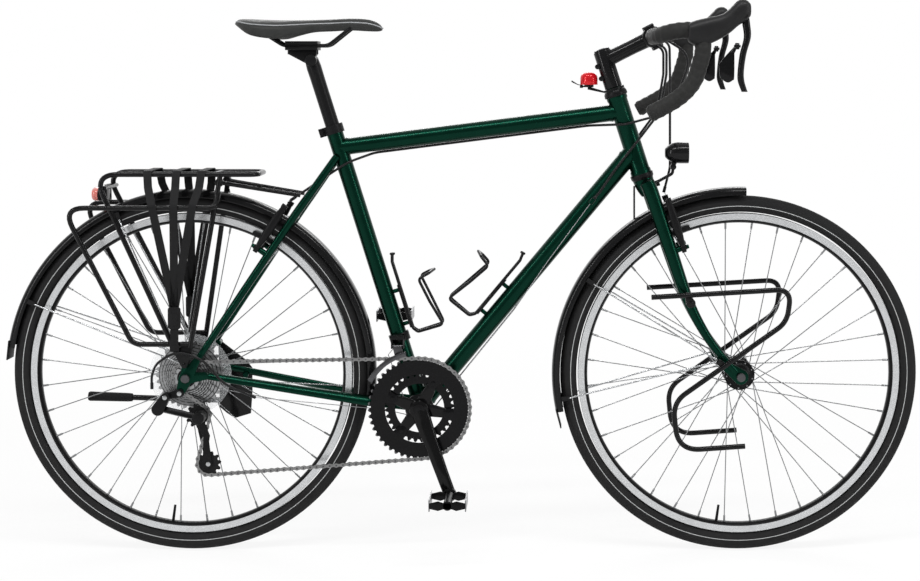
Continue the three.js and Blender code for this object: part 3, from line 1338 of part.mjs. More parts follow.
const spokeDisc = turned([
  [rearHub.barrelRadius - weld, -rearHub.rightNose],
  [rearHub.barrelRadius + weld, -rearHub.rightNose],
  [rearHub.discRadius, -rearHub.discY],
  [rearHub.discRadius, -rearHub.discY + rearHub.discWidth],
  [rearHub.barrelRadius - weld, -rearHub.rightNose + rearHub.discWidth],
  [rearHub.barrelRadius - weld, -rearHub.rightNose],
], rearAxle);
addPart('rear_hub', join(rearHubSolid, rearSpokes, spokeDisc), finish.silver);

const frontHubSolid = turned([
  [axle.radius + axle.clearance, -frontHub.nose],
  [frontHub.noseRadius, -frontHub.nose],
  [frontHub.barrelRadius, -frontHub.flange - frontHub.flangeWidth],
  [frontHub.flangeRadius, -frontHub.flange - frontHub.flangeWidth / 2],
  [frontHub.flangeRadius, -frontHub.flange + frontHub.flangeWidth / 2],
  [frontHub.barrelRadius, -frontHub.flange + frontHub.flangeWidth],
  [frontHub.barrelRadius, frontHub.flange - frontHub.flangeWidth],
  [frontHub.flangeRadius, frontHub.flange - frontHub.flangeWidth / 2],
  [frontHub.flangeRadius, frontHub.flange + frontHub.flangeWidth / 2],
  [frontHub.barrelRadius, frontHub.flange + frontHub.flangeWidth],
  [frontHub.noseRadius, frontHub.nose],
  [axle.radius + axle.clearance, frontHub.nose],
  [axle.radius + axle.clearance, -frontHub.nose],
], frontAxle, facetCount.hub);
const frontSpokes = [
  spokeFan(-frontHub.flange, frontHub.holeRadius, frontAxle, spokeDegrees.right),
  spokeFan(frontHub.flange, frontHub.holeRadius, frontAxle, spokeDegrees.left),
];
addPart('front_hub', join(frontHubSolid, frontSpokes), finish.black);

const rimProfile = [
  [rimInner, -rim.noseWidth / 2],
  [tyre.beadRadius - rim.trackHeight, -rim.width / 2],
  [tyre.beadRadius, -rim.width / 2],
  [tyre.beadRadius - rim.flangeHeight, -tyre.beadWidth / 2 + weld],
  [tyre.beadRadius - rim.flangeHeight, tyre.beadWidth / 2 - weld],
  [tyre.beadRadius, rim.width / 2],
  [tyre.beadRadius - rim.trackHeight, rim.width / 2],
  [rimInner, rim.noseWidth / 2],
  [rimInner, -rim.noseWidth / 2],
];
addPart('rear_rim', turned(rimProfile, rearAxle, facetCount.wheel), finish.silver);
addPart('front_rim', turned(rimProfile, frontAxle, facetCount.wheel), finish.silver);

const tyreWall = tyre.beadRadius + gap;
const tyreProfile = [
  [tyreWall, -rim.width / 2],
  ...tyreShares.map(({ width, height }) => [tyreWall + tyre.height * height - gap * height, (tyre.width / 2) * width]),
  [tyreWall, rim.width / 2],
  [tyreWall, -rim.width / 2],
];
addPart('rear_tyre', turned(tyreProfile, rearAxle, facetCount.wheel), finish.rubber);
addPart('front_tyre', turned(tyreProfile, frontAxle, facetCount.wheel), finish.rubber);

// Axles

const axleSolid = (centre, half, innerLow, innerHigh, faceY) => turned([
  [0, -faceY - axle.headLength],
  [axle.headRadius, -faceY - axle.headLength],
  [axle.headRadius, -faceY - gap],
  [axle.radius, -faceY - gap],
  [axle.radius, -half],
  [axle.nutRadius, -half],
  [axle.nutRadius, innerLow],
  [axle.radius, innerLow],
  [axle.radius, innerHigh],
  [axle.nutRadius, innerHigh],
  [axle.nutRadius, half],
  [axle.radius, half],
  [axle.radius, faceY + gap],
  [axle.headRadius, faceY + gap],
  [axle.headRadius, faceY + axle.headLength],
  [0, faceY + axle.headLength],
], centre, facetCount.small);
const rearHalf = rearHub.width / 2;
const frontHalf = frontHub.width / 2;
addPart('rear_axle', axleSolid(
  rearAxle,
  rearHalf,
  cassette.lockringY - axle.clearance,
  rearHub.leftNose + axle.clearance,
  dropoutOuter,
), finish.steel);
addPart('front_axle', axleSolid(
  frontAxle,
  frontHalf,
  -frontHub.nose - axle.clearance,
  frontHub.nose + axle.clearance,
  forkOuter,
), finish.steel);

// Cassette

const cassetteBore = axle.radius + axle.clearance;
const cassetteBody = turned([
  [cassetteBore, cassette.lockringY],
  [cassette.lockringRadius, cassette.lockringY],
  [cassette.lockringRadius, cassette.lockringY + cassette.thickness],
  [cassette.bodyRadius, cassette.lockringY + cassette.thickness],
  [cassette.bodyRadius, cassette.largestY + cassette.thickness],
  [cassetteBore, cassette.largestY + cassette.thickness],
  [cassetteBore, cassette.lockringY],
], rearAxle);
const plainSprocket = (teeth) => circleOutline(
  rearAxle,
  pitchRadius(teeth) + ring.toothRise / 2,
  Math.max(facetCount.hub, Math.round(teeth * plainShare)),
);
const sprockets = sprocketTeeth.map((teeth, index) => plate(
  toothedSprockets.includes(index) ? toothedOutline(teeth, rearAxle, cassetteGapDegrees) : plainSprocket(teeth),
  sprocketY(index) - cassette.thickness / 2,
  sprocketY(index) + cassette.thickness / 2,
));
const cassetteCore = acrossBarrel(
  rearAxle,
  cassette.lockringY - overrun,
  cassette.largestY + overrun,
  cassetteBore,
  facetCount.round,
);
addPart('cassette', join(sprockets, cassetteBody).subtract(cassetteCore), finish.silver);

// Crankset

const driveRing = pitchRadius(ring.outerTeeth);
const crankEndRight = polar(shellCentre, crank.length, crankDegrees);
const crankEndLeft = polar(shellCentre, crank.length, crankDegrees + 180);
const spindleLow = -crank.hubOuter;
const spindleHigh = crank.hubOuter;

// One crank arm: an oval tapered bar that leans outward from the hub to the pedal eye.
function armSolid(end, face) {
  const along = end.clone().sub(shellCentre).normalize();
  const upward = along.clone().cross(at(0, 1, 0)).normalize();
  const stations = armShares.map(({ reach, width, out, thick }) => {
    const centre = shellCentre.clone().addScaledVector(along, crank.length * reach);
    centre.y = face * THREE.MathUtils.lerp(crank.armOffset, crank.endOffset, out);
    const wide = (crank.thickness / 2) * thick;
    return ovalRing(centre, at(0, 1, 0), wide, upward, (crank.hubWidth / 2) * width, facetCount.stay);
  });
  return loft(stations);
}
const pedalEye = (end, face) => acrossBarrel(
  end,
  Math.min(face * (crank.endOffset - crank.thickness / 2), face * (crank.endOffset + crank.thickness / 2)),
  Math.max(face * (crank.endOffset - crank.thickness / 2), face * (crank.endOffset + crank.thickness / 2)),
  crank.pedalBoss,
  facetCount.tube,
);
const pedalBore = (end, face) => acrossBarrel(
  end,
  Math.min(face * crank.hubOuter, face * (crank.endOffset + overrun)),
  Math.max(face * crank.hubOuter, face * (crank.endOffset + overrun)),
  pedal.axleRadius + axle.clearance,
  facetCount.tube,
);
const rightHub = acrossBarrel(shellCentre, -crank.hubOuter, -crank.hubInner, crank.hubRadius, facetCount.round);
const spindle = acrossBarrel(shellCentre, -crank.hubOuter, crank.hubOuter, crank.spindleRadius, facetCount.round);
const spiderPoint = (degrees, radius) => polar(shellCentre, radius, crankDegrees + degrees);
const spiderArms = spiderDegrees.map((degrees) => {
  const arm = plate(hullOutline([
    { centre: spiderPoint(degrees, crank.hubRadius / 2), radius: crank.spiderWidth / 2 },
    { centre: spiderPoint(degrees, ring.boltCircle), radius: crank.spiderEnd },
  ]), -crank.spiderOuter, -crank.spiderInner);
  const hole = acrossBarrel(
    spiderPoint(degrees, ring.boltCircle),
    -crank.hubOuter,
    0,
    ring.boltRadius + gap,
    facetCount.small,
  );
  return arm.subtract(hole);
});
const spiderHub = acrossBarrel(
  shellCentre,
  -crank.spiderOuter - weld,
  -crank.spiderInner,
  crank.hubRadius + crank.spiderWidth / 2,
  facetCount.round,
);
const rightArm = join(armSolid(crankEndRight, -1), pedalEye(crankEndRight, -1));
addPart(
  'crank_right',
  join(rightArm.subtract(pedalBore(crankEndRight, -1)), rightHub, spindle, spiderArms, spiderHub),
  finish.gloss,
);

const ringPlate = (outline, teeth, middleY, innerEdge) => plate(
  outline,
  middleY - ring.thickness / 2,
  middleY + ring.thickness / 2,
).subtract(acrossBarrel(
  shellCentre,
  middleY - ring.thickness,
  middleY + ring.thickness,
  innerEdge,
  teeth / 2,
));
const ringTab = (degrees, middleY, outerEdge) => plate(hullOutline([
  { centre: spiderPoint(degrees, ring.boltCircle), radius: ring.tabWidth / 2 - weld },
  { centre: spiderPoint(degrees, outerEdge), radius: ring.tabWidth / 2 },
]), middleY - ring.thickness / 2, middleY + ring.thickness / 2);
const ringBolt = (degrees) => acrossBarrel(
  spiderPoint(degrees, ring.boltCircle),
  ring.outerY - ring.thickness / 2 - ring.boltHead,
  ring.innerY + ring.thickness / 2 + ring.boltHead,
  ring.boltRadius,
  facetCount.small,
);
addPart('chainrings', join(
  ringPlate(toothedOutline(ring.outerTeeth, shellCentre, crankDegrees), ring.outerTeeth, ring.outerY, ring.innerEdge),
  ringPlate(
    circleOutline(shellCentre, pitchRadius(ring.innerTeeth) + ring.toothRise, ring.innerTeeth),
    ring.innerTeeth,
    ring.innerY,
    ring.smallInnerEdge,
  ),
  spiderDegrees.map((degrees) => ringTab(degrees, ring.outerY, ring.innerEdge + weld)),
  spiderDegrees.map(ringBolt),
), finish.silver);

const leftHub = acrossBarrel(shellCentre, crank.leftInner, crank.hubOuter, crank.hubRadius, facetCount.round);
const leftArm = join(armSolid(crankEndLeft, 1), pedalEye(crankEndLeft, 1), leftHub);
const spindleCut = acrossBarrel(
  shellCentre,
  0,
  spindleHigh + gap,
  crank.spindleRadius + gap,
  facetCount.round,
);
addPart('crank_left', leftArm.subtract(pedalBore(crankEndLeft, 1)).subtract(spindleCut), finish.gloss);

// Pedals: a barrel on an axle with a toothed cage

function pedalSolid(end, face) {
  const inner = crank.endOffset + crank.thickness / 2 + pedal.gapToCrank;
  const outer = inner + pedal.width;
  const low = Math.min(face * inner, face * outer);
  const high = Math.max(face * inner, face * outer);
  const axleEnd = crank.endOffset - crank.thickness / 2;
  const stub = acrossBarrel(
    end,
    Math.min(face * axleEnd, face * (outer - pedal.plate)),
    Math.max(face * axleEnd, face * (outer - pedal.plate)),
    pedal.axleRadius,
    facetCount.stay,
  );
  const body = acrossBarrel(end, low, high, pedal.barrelRadius, facetCount.stay);
  const sidePlate = (y) => plate([
    side(end.x - pedal.length / 2, end.z - pedal.height / 4),
    side(end.x - pedal.length / 4, end.z - pedal.height / 2),
    side(end.x + pedal.length / 4, end.z - pedal.height / 2),
    side(end.x + pedal.length / 2, end.z - pedal.height / 4),
    side(end.x + pedal.length / 2, end.z + pedal.height / 4),
    side(end.x + pedal.length / 4, end.z + pedal.height / 2),
    side(end.x - pedal.length / 4, end.z + pedal.height / 2),
    side(end.x - pedal.length / 2, end.z + pedal.height / 4),
  ], y, y + pedal.plate);
  const rail = (x) => {
    const tooth = pedal.width / (pedal.toothCount * 2 + 1);
    const outline = [];
    for (let i = 0; i < pedal.toothCount * 2 + 1; i += 1) {
      const height = pedal.height / 2 + (i % 2 === 0 ? pedal.toothHeight : 0);
      outline.push([low + tooth * i, height], [low + tooth * (i + 1), height]);
    }
    const points = [...outline, ...[...outline].reverse().map(([y, height]) => [y, -height])];
    const shape = new THREE.Shape(points.map(([y, z]) => new THREE.Vector2(y, z)));
    const geometry = new THREE.ExtrudeGeometry(shape, { depth: pedal.plate, bevelEnabled: false });
    geometry.rotateX(Math.PI / 2);
    geometry.rotateZ(Math.PI / 2);
    geometry.translate(end.x + x, 0, end.z);
    return solidOf(geometry);
  };
  return join(
    stub,
    body,
    sidePlate(low),
    sidePlate(high - pedal.plate),
    rail(-pedal.length / 2),
    rail(pedal.length / 2 - pedal.plate),
  );
}
addPart('pedal_right', pedalSolid(crankEndRight, -1), finish.silver);
addPart('pedal_left', pedalSolid(crankEndLeft, 1), finish.silver);

// Chain route: arcs and straight runs between the ring, the sprocket and the two pulleys

const guideCentre = fromRear(mech.guideX, -mech.guideZ);
const tensionCentre = fromRear(mech.tensionX, -mech.tensionZ);
const pulleyPitch = pitchRadius(mech.pulleyTeeth);
const chainWheels = [
  { centre: shellCentre, radius: driveRing, turn: 1, y: ring.outerY },
  { centre: tensionCentre, radius: pulleyPitch, turn: 1, y: driveY },
  { centre: guideCentre, radius: pulleyPitch, turn: -1, y: driveY },
  { centre: rearAxle, radius: pitchRadius(sprocketTeeth[drivenSprocket]), turn: 1, y: driveY },
];

// Where the chain leaves one wheel and meets the next, as two points.
function chainRun(from, to) {
  const across = to.centre.clone().sub(from.centre);
  const distance = across.length();
  const direction = Math.atan2(across.z, across.x);
  const swing = Math.acos((from.turn * from.radius - to.turn * to.radius) / distance);
  const normal = THREE.MathUtils.radToDeg(direction + swing);
  return [
    polar(from.centre, from.turn * from.radius, normal),
    polar(to.centre, to.turn * to.radius, normal),
  ];
}
const chainRuns = chainWheels.map((wheel, i) => chainRun(wheel, chainWheels[(i + 1) % chainWheels.length]));

// The route's stations, one at each pin and one between pins
function chainStations() {
  const pieces = [];
  chainWheels.forEach((wheel, i) => {
    const arrive = chainRuns[(i + chainWheels.length - 1) % chainWheels.length][1];
    const leave = chainRuns[i][0];
    const startAngle = Math.atan2(arrive.z - wheel.centre.z, arrive.x - wheel.centre.x);
    const endAngle = Math.atan2(leave.z - wheel.centre.z, leave.x - wheel.centre.x);
    const fullTurn = 2 * Math.PI;
    const sweep = ((wheel.turn * (startAngle - endAngle)) % fullTurn + fullTurn) % fullTurn;
    pieces.push({ wheel, startAngle, sweep, length: sweep * wheel.radius });
    const next = chainWheels[(i + 1) % chainWheels.length];
    const [start, end] = chainRuns[i];
    pieces.push({ start, end, fromY: wheel.y, toY: next.y, length: start.distanceTo(end) });
  });
  const total = pieces.reduce((sum, piece) => sum + piece.length, 0);
  const linkCount = Math.round(total / chainPitch / 2) * 2;
  const step = total / linkCount / 2;
  const stations = [];
  for (let i = 0; i < linkCount * 2; i += 1) {
    let along = step * i;
    let index = 0;
    while (index < pieces.length - 1 && along > pieces[index].length) {
      along -= pieces[index].length;
      index += 1;
    }
    const piece = pieces[index];
    if (piece.wheel) {
      const angle = piece.startAngle - (piece.wheel.turn * along) / piece.wheel.radius;
      const outward = side(Math.cos(angle), Math.sin(angle));
      const point = piece.wheel.centre.clone().addScaledVector(outward, piece.wheel.radius);
      point.y = piece.wheel.y;
      stations.push({ point, outward: outward.multiplyScalar(piece.wheel.turn) });
    } else {
      const share = along / piece.length;
      const direction = piece.end.clone().sub(piece.start).normalize();
      const point = mix(piece.start, piece.end, share);
      point.y = THREE.MathUtils.lerp(piece.fromY, piece.toY, share);
      stations.push({ point, outward: side(-direction.z, direction.x) });
    }
  }
  return stations;
}

function loopShape(rings) {
  const count = rings[0].length;
  const positions = rings.flat().flatMap((point) => [point.x, point.y, point.z]);
  const indices = [];
  rings.forEach((ringPoints, i) => {
    const next = (i + 1) % rings.length;
    for (let k = 0; k < count; k += 1) {
      const a = i * count + k;
      const b = i * count + ((k + 1) % count);
      const c = next * count + ((k + 1) % count);
      const d = next * count + k;
      indices.push(a, b, c, a, c, d);
    }
  });
  const geometry = new THREE.BufferGeometry();
  geometry.setAttribute('position', new THREE.Float32BufferAttribute(positions, 3));
  geometry.setIndex(indices);
  return geometry;
}

const chainRings = chainStations().map(({ point, outward }, i) => {
  const atPin = i % 2 === 0;
  const outerLink = i % 4 === 1;
  const half = (atPin ? chain.plateHeight : chain.waistHeight) / 2;
  const wide = (atPin ? chain.width : (outerLink ? chain.outerWidth : chain.innerWidth)) / 2;
  const corner = (rise, lean) => point.clone().addScaledVector(outward, rise).add(at(0, lean, 0));
  return [corner(half, wide), corner(half, -wide), corner(-half, -wide), corner(-half, wide)];
});
const grooveAt = (centre, y, thickness, tip, sides = facetCount.groove) => acrossBarrel(
  centre,
  y - thickness / 2 - chain.groove,
  y + thickness / 2 + chain.groove,
  (tip + chain.groove) / Math.cos(Math.PI / sides),
  sides,
);
const chainGrooves = [
  grooveAt(shellCentre, ring.outerY, ring.thickness, driveRing + ring.toothRise, facetCount.wheel),
  grooveAt(tensionCentre, driveY, mech.toothWidth, pulleyPitch + ring.toothRise),
  grooveAt(guideCentre, driveY, mech.toothWidth, pulleyPitch + ring.toothRise),
  grooveAt(rearAxle, driveY, cassette.thickness, chainWheels[3].radius + ring.toothRise),
];
addPart('chain', cut(solidOf(loopShape(chainRings)), chainGrooves), finish.silver);

// Rear derailleur

const mechPivot = fromRear(-mech.pivotX, -mech.pivotZ);
const linkStart = fromRear(-mech.linkX, -mech.linkZ);
const linkEnd = side(linkStart.x + mech.linkReach, linkStart.z - mech.linkFall);
const linkDirection = linkEnd.clone().sub(linkStart).normalize();
const linkUp = side(-linkDirection.z, linkDirection.x);
const linkAxis = linkUp.multiplyScalar(Math.cos(radians(mechSlantDegrees)));
linkAxis.y = Math.sin(radians(mechSlantDegrees));

// Rear derailleur: body, link, knuckle, cage and pulleys

const mechFace = -dropoutOuter - gap;
const bodyOuter = mechFace - mech.bodyWidth;
const linkY = (mechFace + bodyOuter) / 2;
const linkStartPin = at(linkStart.x, linkY, linkStart.z);
const linkEndPin = at(linkEnd.x, linkY, linkEnd.z);
const linkOut = linkDirection.clone().cross(linkAxis);
const pocketBack = mech.sleeveRadius + gap * 2;
const pocketHalf = mech.sleeveHalf + gap;

// A straight block along the link: its ends along the link, half height along the hinge pins.
function linkBlock(from, to, halfHeight, low, high) {
  const corners = (centre) => [[low, -1], [high, -1], [high, 1], [low, 1]].map(([out, up]) => centre.clone()
    .addScaledVector(linkOut, out)
    .addScaledVector(linkAxis, up * halfHeight));
  return loft([corners(from), corners(to)]);
}
const alongLink = (from, reach) => from.clone().addScaledVector(linkDirection, reach);
const alongHinge = (from, half, radius, sides) => barrel(
  from.clone().addScaledVector(linkAxis, -half),
  from.clone().addScaledVector(linkAxis, half),
  radius,
  radius,
  sides,
);
const hingePin = (from) => alongHinge(from, mech.hingeReach, mech.hingePin, facetCount.small);
const linkSolid = join(
  alongHinge(linkStartPin, mech.sleeveHalf, mech.sleeveRadius, facetCount.stay),
  alongHinge(linkEndPin, mech.sleeveHalf, mech.sleeveRadius, facetCount.stay),
  linkBlock(linkStartPin, linkEndPin, mech.sleeveHalf - gap, -mech.linkThickness / 2, mech.linkThickness / 2),
);
const linkBores = [linkStartPin, linkEndPin].map((pin) => alongHinge(
  pin,
  overrun,
  mech.hingePin + axle.clearance,
  facetCount.small,
));
const bodySolid = join(
  plate(hullOutline([
    { centre: hangerPoint, radius: dropout.hangerRadius },
    { centre: mechPivot, radius: mech.knuckleRadius / 2 },
  ]), mechFace - mech.bracket, mechFace),
  plate(hullOutline([
    { centre: mechPivot, radius: mech.knuckleRadius * mech.noseShare },
    { centre: side(linkStart.x - mech.knuckleRadius / 2, linkStart.z), radius: mech.knuckleRadius },
  ]), bodyOuter, mechFace),
);
const bodyPocket = linkBlock(
  alongLink(linkStartPin, -pocketBack),
  alongLink(linkStartPin, overrun),
  pocketHalf,
  -overrun,
  overrun,
);
addPart('rear_derailleur_body', join(bodySolid.subtract(bodyPocket), hingePin(linkStartPin)), finish.black);
addPart('rear_derailleur_link', cut(linkSolid, linkBores), finish.silver);

const knuckleHigh = driveY - mech.plateGap / 2 - mech.plate - gap;
const knuckleBarrel = acrossBarrel(linkEnd, bodyOuter, knuckleHigh, mech.knuckleRadius, facetCount.round);
const knucklePocket = linkBlock(
  alongLink(linkEndPin, -overrun),
  alongLink(linkEndPin, pocketBack),
  pocketHalf,
  -pocketBack,
  overrun,
);
const cageBore = acrossBarrel(
  linkEnd,
  knuckleHigh - mech.cagePinLength - gap,
  driveY,
  mech.pinRadius + axle.clearance,
);
addPart(
  'rear_derailleur_knuckle',
  join(cut(knuckleBarrel, knucklePocket, cageBore), hingePin(linkEndPin)),
  finish.black,
);

const cageTop = { centre: guideCentre, radius: mech.cageWidth };
const cageLow = { centre: tensionCentre, radius: mech.cageWidth };
const cagePivot = { centre: linkEnd, radius: mech.knuckleRadius };
const outerCage = plate(
  hullOutline([cageTop, cageLow, cagePivot]),
  driveY - mech.plateGap / 2 - mech.plate,
  driveY - mech.plateGap / 2,
);
const innerCage = plate(
  hullOutline([cageTop, cageLow]),
  driveY + mech.plateGap / 2,
  driveY + mech.plateGap / 2 + mech.plate,
);
const cagePins = [guideCentre, tensionCentre].map((centre) => acrossBarrel(
  centre,
  driveY - mech.plateGap / 2 - mech.plate / 2,
  driveY + mech.plateGap / 2 + mech.plate / 2,
  mech.pinRadius,
));
const cagePivotPin = acrossBarrel(
  linkEnd,
  knuckleHigh - mech.cagePinLength,
  driveY - mech.plateGap / 2 - mech.plate / 2,
  mech.pinRadius,
);
addPart('rear_derailleur_cage', join(outerCage, innerCage, cagePins, cagePivotPin), finish.black);
const pulley = (centre) => plate(
  toothedOutline(mech.pulleyTeeth, centre, cassetteGapDegrees),
  driveY - mech.toothWidth / 2,
  driveY + mech.toothWidth / 2,
).add(acrossBarrel(
  centre,
  driveY - mech.plateGap / 2 + gap,
  driveY + mech.plateGap / 2 - gap,
  mech.pinRadius * 2,
  facetCount.stay,
)).subtract(acrossBarrel(
  centre,
  driveY - mech.plateGap,
  driveY + mech.plateGap,
  mech.pinRadius + axle.clearance,
  facetCount.stay,
));
addPart('upper_pulley', pulley(guideCentre), finish.plastic);
addPart('lower_pulley', pulley(tensionCentre), finish.plastic);

// Front derailleur

const sectorOutline = (centre, low, high, startDegrees, endDegrees, steps) => {
  const outline = [];
  for (let i = 0; i <= steps; i += 1) {
    outline.push(polar(centre, low, startDegrees + ((endDegrees - startDegrees) * i) / steps));
  }
  for (let i = steps; i >= 0; i -= 1) {
    outline.push(polar(centre, high, startDegrees + ((endDegrees - startDegrees) * i) / steps));
  }
  return outline;
};
const cageStart = shifterDegrees.front;
const cageEnd = shifterDegrees.rear;
const cagePlate = (y, high) => plate(
  sectorOutline(shellCentre, shifter.low, high, cageStart, cageEnd, 4),
  y - shifter.plate / 2,
  y + shifter.plate / 2,
);
const outerPlateY = ring.outerY - shifter.cageWidth / 2;
const innerPlateY = ring.outerY + shifter.cageWidth / 2;
const cageBridge = (degrees, lowRadius, highRadius) => plate(
  sectorOutline(shellCentre, lowRadius, highRadius, degrees, degrees + shifterDegrees.bridge, 1),
  outerPlateY,
  innerPlateY,
);
const shifterPivot = side(
  polar(shellCentre, shifter.high, cageStart + shifterDegrees.bridge).x,
  shellCentre.z + shifter.pivotRise,
);
const shifterLug = plate([
  polar(shellCentre, shifter.low + weld, cageStart + shifterDegrees.bridge / 2),
  polar(shellCentre, shifter.low + weld, cageStart + shifterDegrees.lug),
  side(shifterPivot.x - shifter.lugHalf, shifterPivot.z),
  side(shifterPivot.x + shifter.lugHalf - weld, shifterPivot.z),
], innerPlateY - shifter.plate / 2, innerPlateY + shifter.lugWidth);
const shifterHinge = barrel(
  at(shifterPivot.x - shifter.lugHalf, innerPlateY + shifter.lugWidth / 2, shifterPivot.z),
  at(shifterPivot.x + shifter.lugHalf, innerPlateY + shifter.lugWidth / 2, shifterPivot.z),
  shifter.hingeRadius,
  shifter.hingeRadius,
);
addPart('front_derailleur_cage', join(
  cagePlate(outerPlateY, shifter.high),
  cagePlate(innerPlateY, shifter.high),
  cageBridge(cageStart, shifter.high - shifter.plate, shifter.high),
  cageBridge(cageEnd - shifterDegrees.bridge, shifter.low, shifter.low + shifter.plate),
  shifterLug,
  shifterHinge,
), finish.steel);
const bandCentre = seatPoint(shifter.along);
const band = barrel(
  seatPoint(shifter.along - shifter.bandHeight / 2),
  seatPoint(shifter.along + shifter.bandHeight / 2),
  shifter.bandRadius,
);
const bandArms = [-1, 1].map((end) => plate([
  side(shifterPivot.x + end * (shifter.lugHalf + gap), shifterPivot.z - shifter.hingeRadius),
  side(shifterPivot.x + end * (shifter.lugHalf + gap + shifter.armWidth), shifterPivot.z - shifter.hingeRadius),
  side(shifterPivot.x + end * (shifter.lugHalf + gap + shifter.armWidth), bandCentre.z + shifter.bandHeight / 2),
  side(shifterPivot.x + end * (shifter.lugHalf + gap), bandCentre.z + shifter.bandHeight / 2),
], innerPlateY + shifter.plate, -tubeRadius.seat / 2));
const bandBack = plate([
  side(shifterPivot.x - shifter.lugHalf - gap - shifter.armWidth, bandCentre.z),
  side(shifterPivot.x + shifter.lugHalf + gap + shifter.armWidth, bandCentre.z),
  side(shifterPivot.x + shifter.lugHalf + gap + shifter.armWidth, bandCentre.z + shifter.bandHeight / 2),
  side(shifterPivot.x - shifter.lugHalf - gap - shifter.armWidth, bandCentre.z + shifter.bandHeight / 2),
], innerPlateY, -tubeRadius.seat / 2);
const bandCut = barrel(
  seatPoint(shifter.along - shifter.bandHeight * 3),
  seatPoint(shifter.along + shifter.bandHeight * 3),
  tubeRadius.seat + gap,
);
addPart('front_derailleur_body', join(band, bandArms, bandBack).subtract(bandCut), finish.black);

// Brake arms, made on the left

function brakeArmSolid(bossRoot, outward, upward, wheelCentre) {
  const start = bossRoot.clone().addScaledVector(outward, brakeBoss.length + gap);
  const middle = start.clone().addScaledVector(outward, brakeArm.thickness / 2);
  const across = at(0, 1, 0);
  const place = (along, y, ahead = 0) => middle.clone()
    .addScaledVector(upward, along)
    .addScaledVector(outward, ahead)
    .add(at(0, y, 0));
  const halfThick = brakeArm.thickness / 2;
  const halfWide = brakeArm.width / 2;
  const armRings = brakeArmShares.map(({ along, y, width }) => ovalRing(
    place(brakeArm.length * along, brakeArm.lean * y),
    across,
    halfWide * width,
    outward,
    halfThick,
    facetCount.small,
  ));
  const boss = turnedAlong([
    [brakeBoss.studRadius + axle.clearance, 0],
    [brakeArm.bossRadius, 0],
    [brakeArm.bossRadius, brakeArm.thickness],
    [brakeBoss.studRadius + axle.clearance, brakeArm.thickness],
    [brakeBoss.studRadius + axle.clearance, 0],
  ], start, outward, facetCount.stay);
  const track = tyre.beadRadius - rim.trackHeight / 2 - brakeArm.padDrop;
  const padCentre = pointAtRadius(middle, upward, wheelCentre, track);
  const radial = padCentre.clone().sub(wheelCentre);
  radial.y = 0;
  radial.normalize();
  const tangent = side(-radial.z, radial.x);
  const padInner = rim.width / 2 + brakeArm.padClearance;
  const corner = (along, up) => side(padCentre.x, padCentre.z)
    .addScaledVector(tangent, along)
    .addScaledVector(radial, up);
  const halfLength = brakeArm.padLength / 2;
  const halfHeight = brakeArm.padHeight / 2;
  const pad = plate([
    corner(-halfLength, -halfHeight),
    corner(halfLength, -halfHeight),
    corner(halfLength, halfHeight),
    corner(-halfLength, halfHeight),
  ], padInner, padInner + brakeArm.padDepth);
  const holder = acrossBarrel(
    side(padCentre.x, padCentre.z),
    padInner + brakeArm.padDepth - weld,
    middle.y + halfWide,
    brakeArm.boltRadius,
  );
  const studCut = turnedAlong([
    [0, -overrun / 2],
    [brakeBoss.studRadius + axle.clearance, -overrun / 2],
    [brakeBoss.studRadius + axle.clearance, overrun],
    [0, overrun],
  ], start, outward, facetCount.stay);
  return join(join(loft(armRings), boss).subtract(studCut), pad, holder);
}
const rearArm = brakeArmSolid(rearBossRoot, stayBack, stayUp, rearAxle);
const frontArm = brakeArmSolid(frontBossRoot, steerAhead, steerUp, frontAxle);
addPair('rear_brake_arm', mirrored(geometryOf(rearArm)), finish.black);
addPair('front_brake_arm', mirrored(geometryOf(frontArm)), finish.black);

// Mudguards with their stays

function channelLoft(rings) {
  const count = rings[0].length;
  const half = count / 2;
  const positions = rings.flat().flatMap((point) => [point.x, point.y, point.z]);
  const indices = [];
  for (let i = 0; i < rings.length - 1; i += 1) {
    for (let k = 0; k < count; k += 1) {
      const a = i * count + k;
      const b = i * count + ((k + 1) % count);
      indices.push(a, b, b + count, a, b + count, a + count);
    }
  }
  const last = (rings.length - 1) * count;
  for (let k = 0; k < half - 1; k += 1) {
    const far = count - 1 - k;
    indices.push(k, far, far - 1, k, far - 1, k + 1);
    indices.push(last + k, last + far - 1, last + far, last + k, last + k + 1, last + far - 1);
  }
  const geometry = new THREE.BufferGeometry();
  geometry.setAttribute('position', new THREE.Float32BufferAttribute(positions, 3));
  geometry.setIndex(indices);
  return solidOf(geometry);
}

function guardSolid(centre, radius, startDegrees, endDegrees) {
  const steps = Math.round((endDegrees - startDegrees) / guardStepDegrees);
  const rings = [];
  for (let i = 0; i <= steps; i += 1) {
    const degrees = startDegrees + ((endDegrees - startDegrees) * i) / steps;
    const skin = (lift) => guardShares.map(({ out, fall }) => polar(
      centre,
      radius + lift - mudguard.depth * fall,
      degrees,
      (mudguard.width / 2 + lift) * out,
    ));
    rings.push([...skin(mudguard.thickness), ...skin(0).reverse()]);
  }
  return channelLoft(rings);
}
const guardStay = (centre, radius, degrees, foot, footY) => {
  const lean = THREE.MathUtils.radToDeg(mudguard.clip / 2 / radius);
  const clip = plate([
    polar(centre, radius - mudguard.depth + weld, degrees - lean),
    polar(centre, radius - mudguard.depth + weld, degrees + lean),
    polar(centre, radius - mudguard.depth - mudguard.clip * 2, degrees + lean),
    polar(centre, radius - mudguard.depth - mudguard.clip * 2, degrees - lean),
  ], mudguard.width / 2 - mudguard.thickness, mudguard.width / 2 + mudguard.clip / 2);
  const start = polar(centre, radius - mudguard.depth - mudguard.clip, degrees, mudguard.width / 2 + mudguard.clip / 4);
  const wire = barrel(start, at(foot.x, footY, foot.z), mudguard.stayRadius, mudguard.stayRadius, facetCount.small);
  return [clip, wire];
};
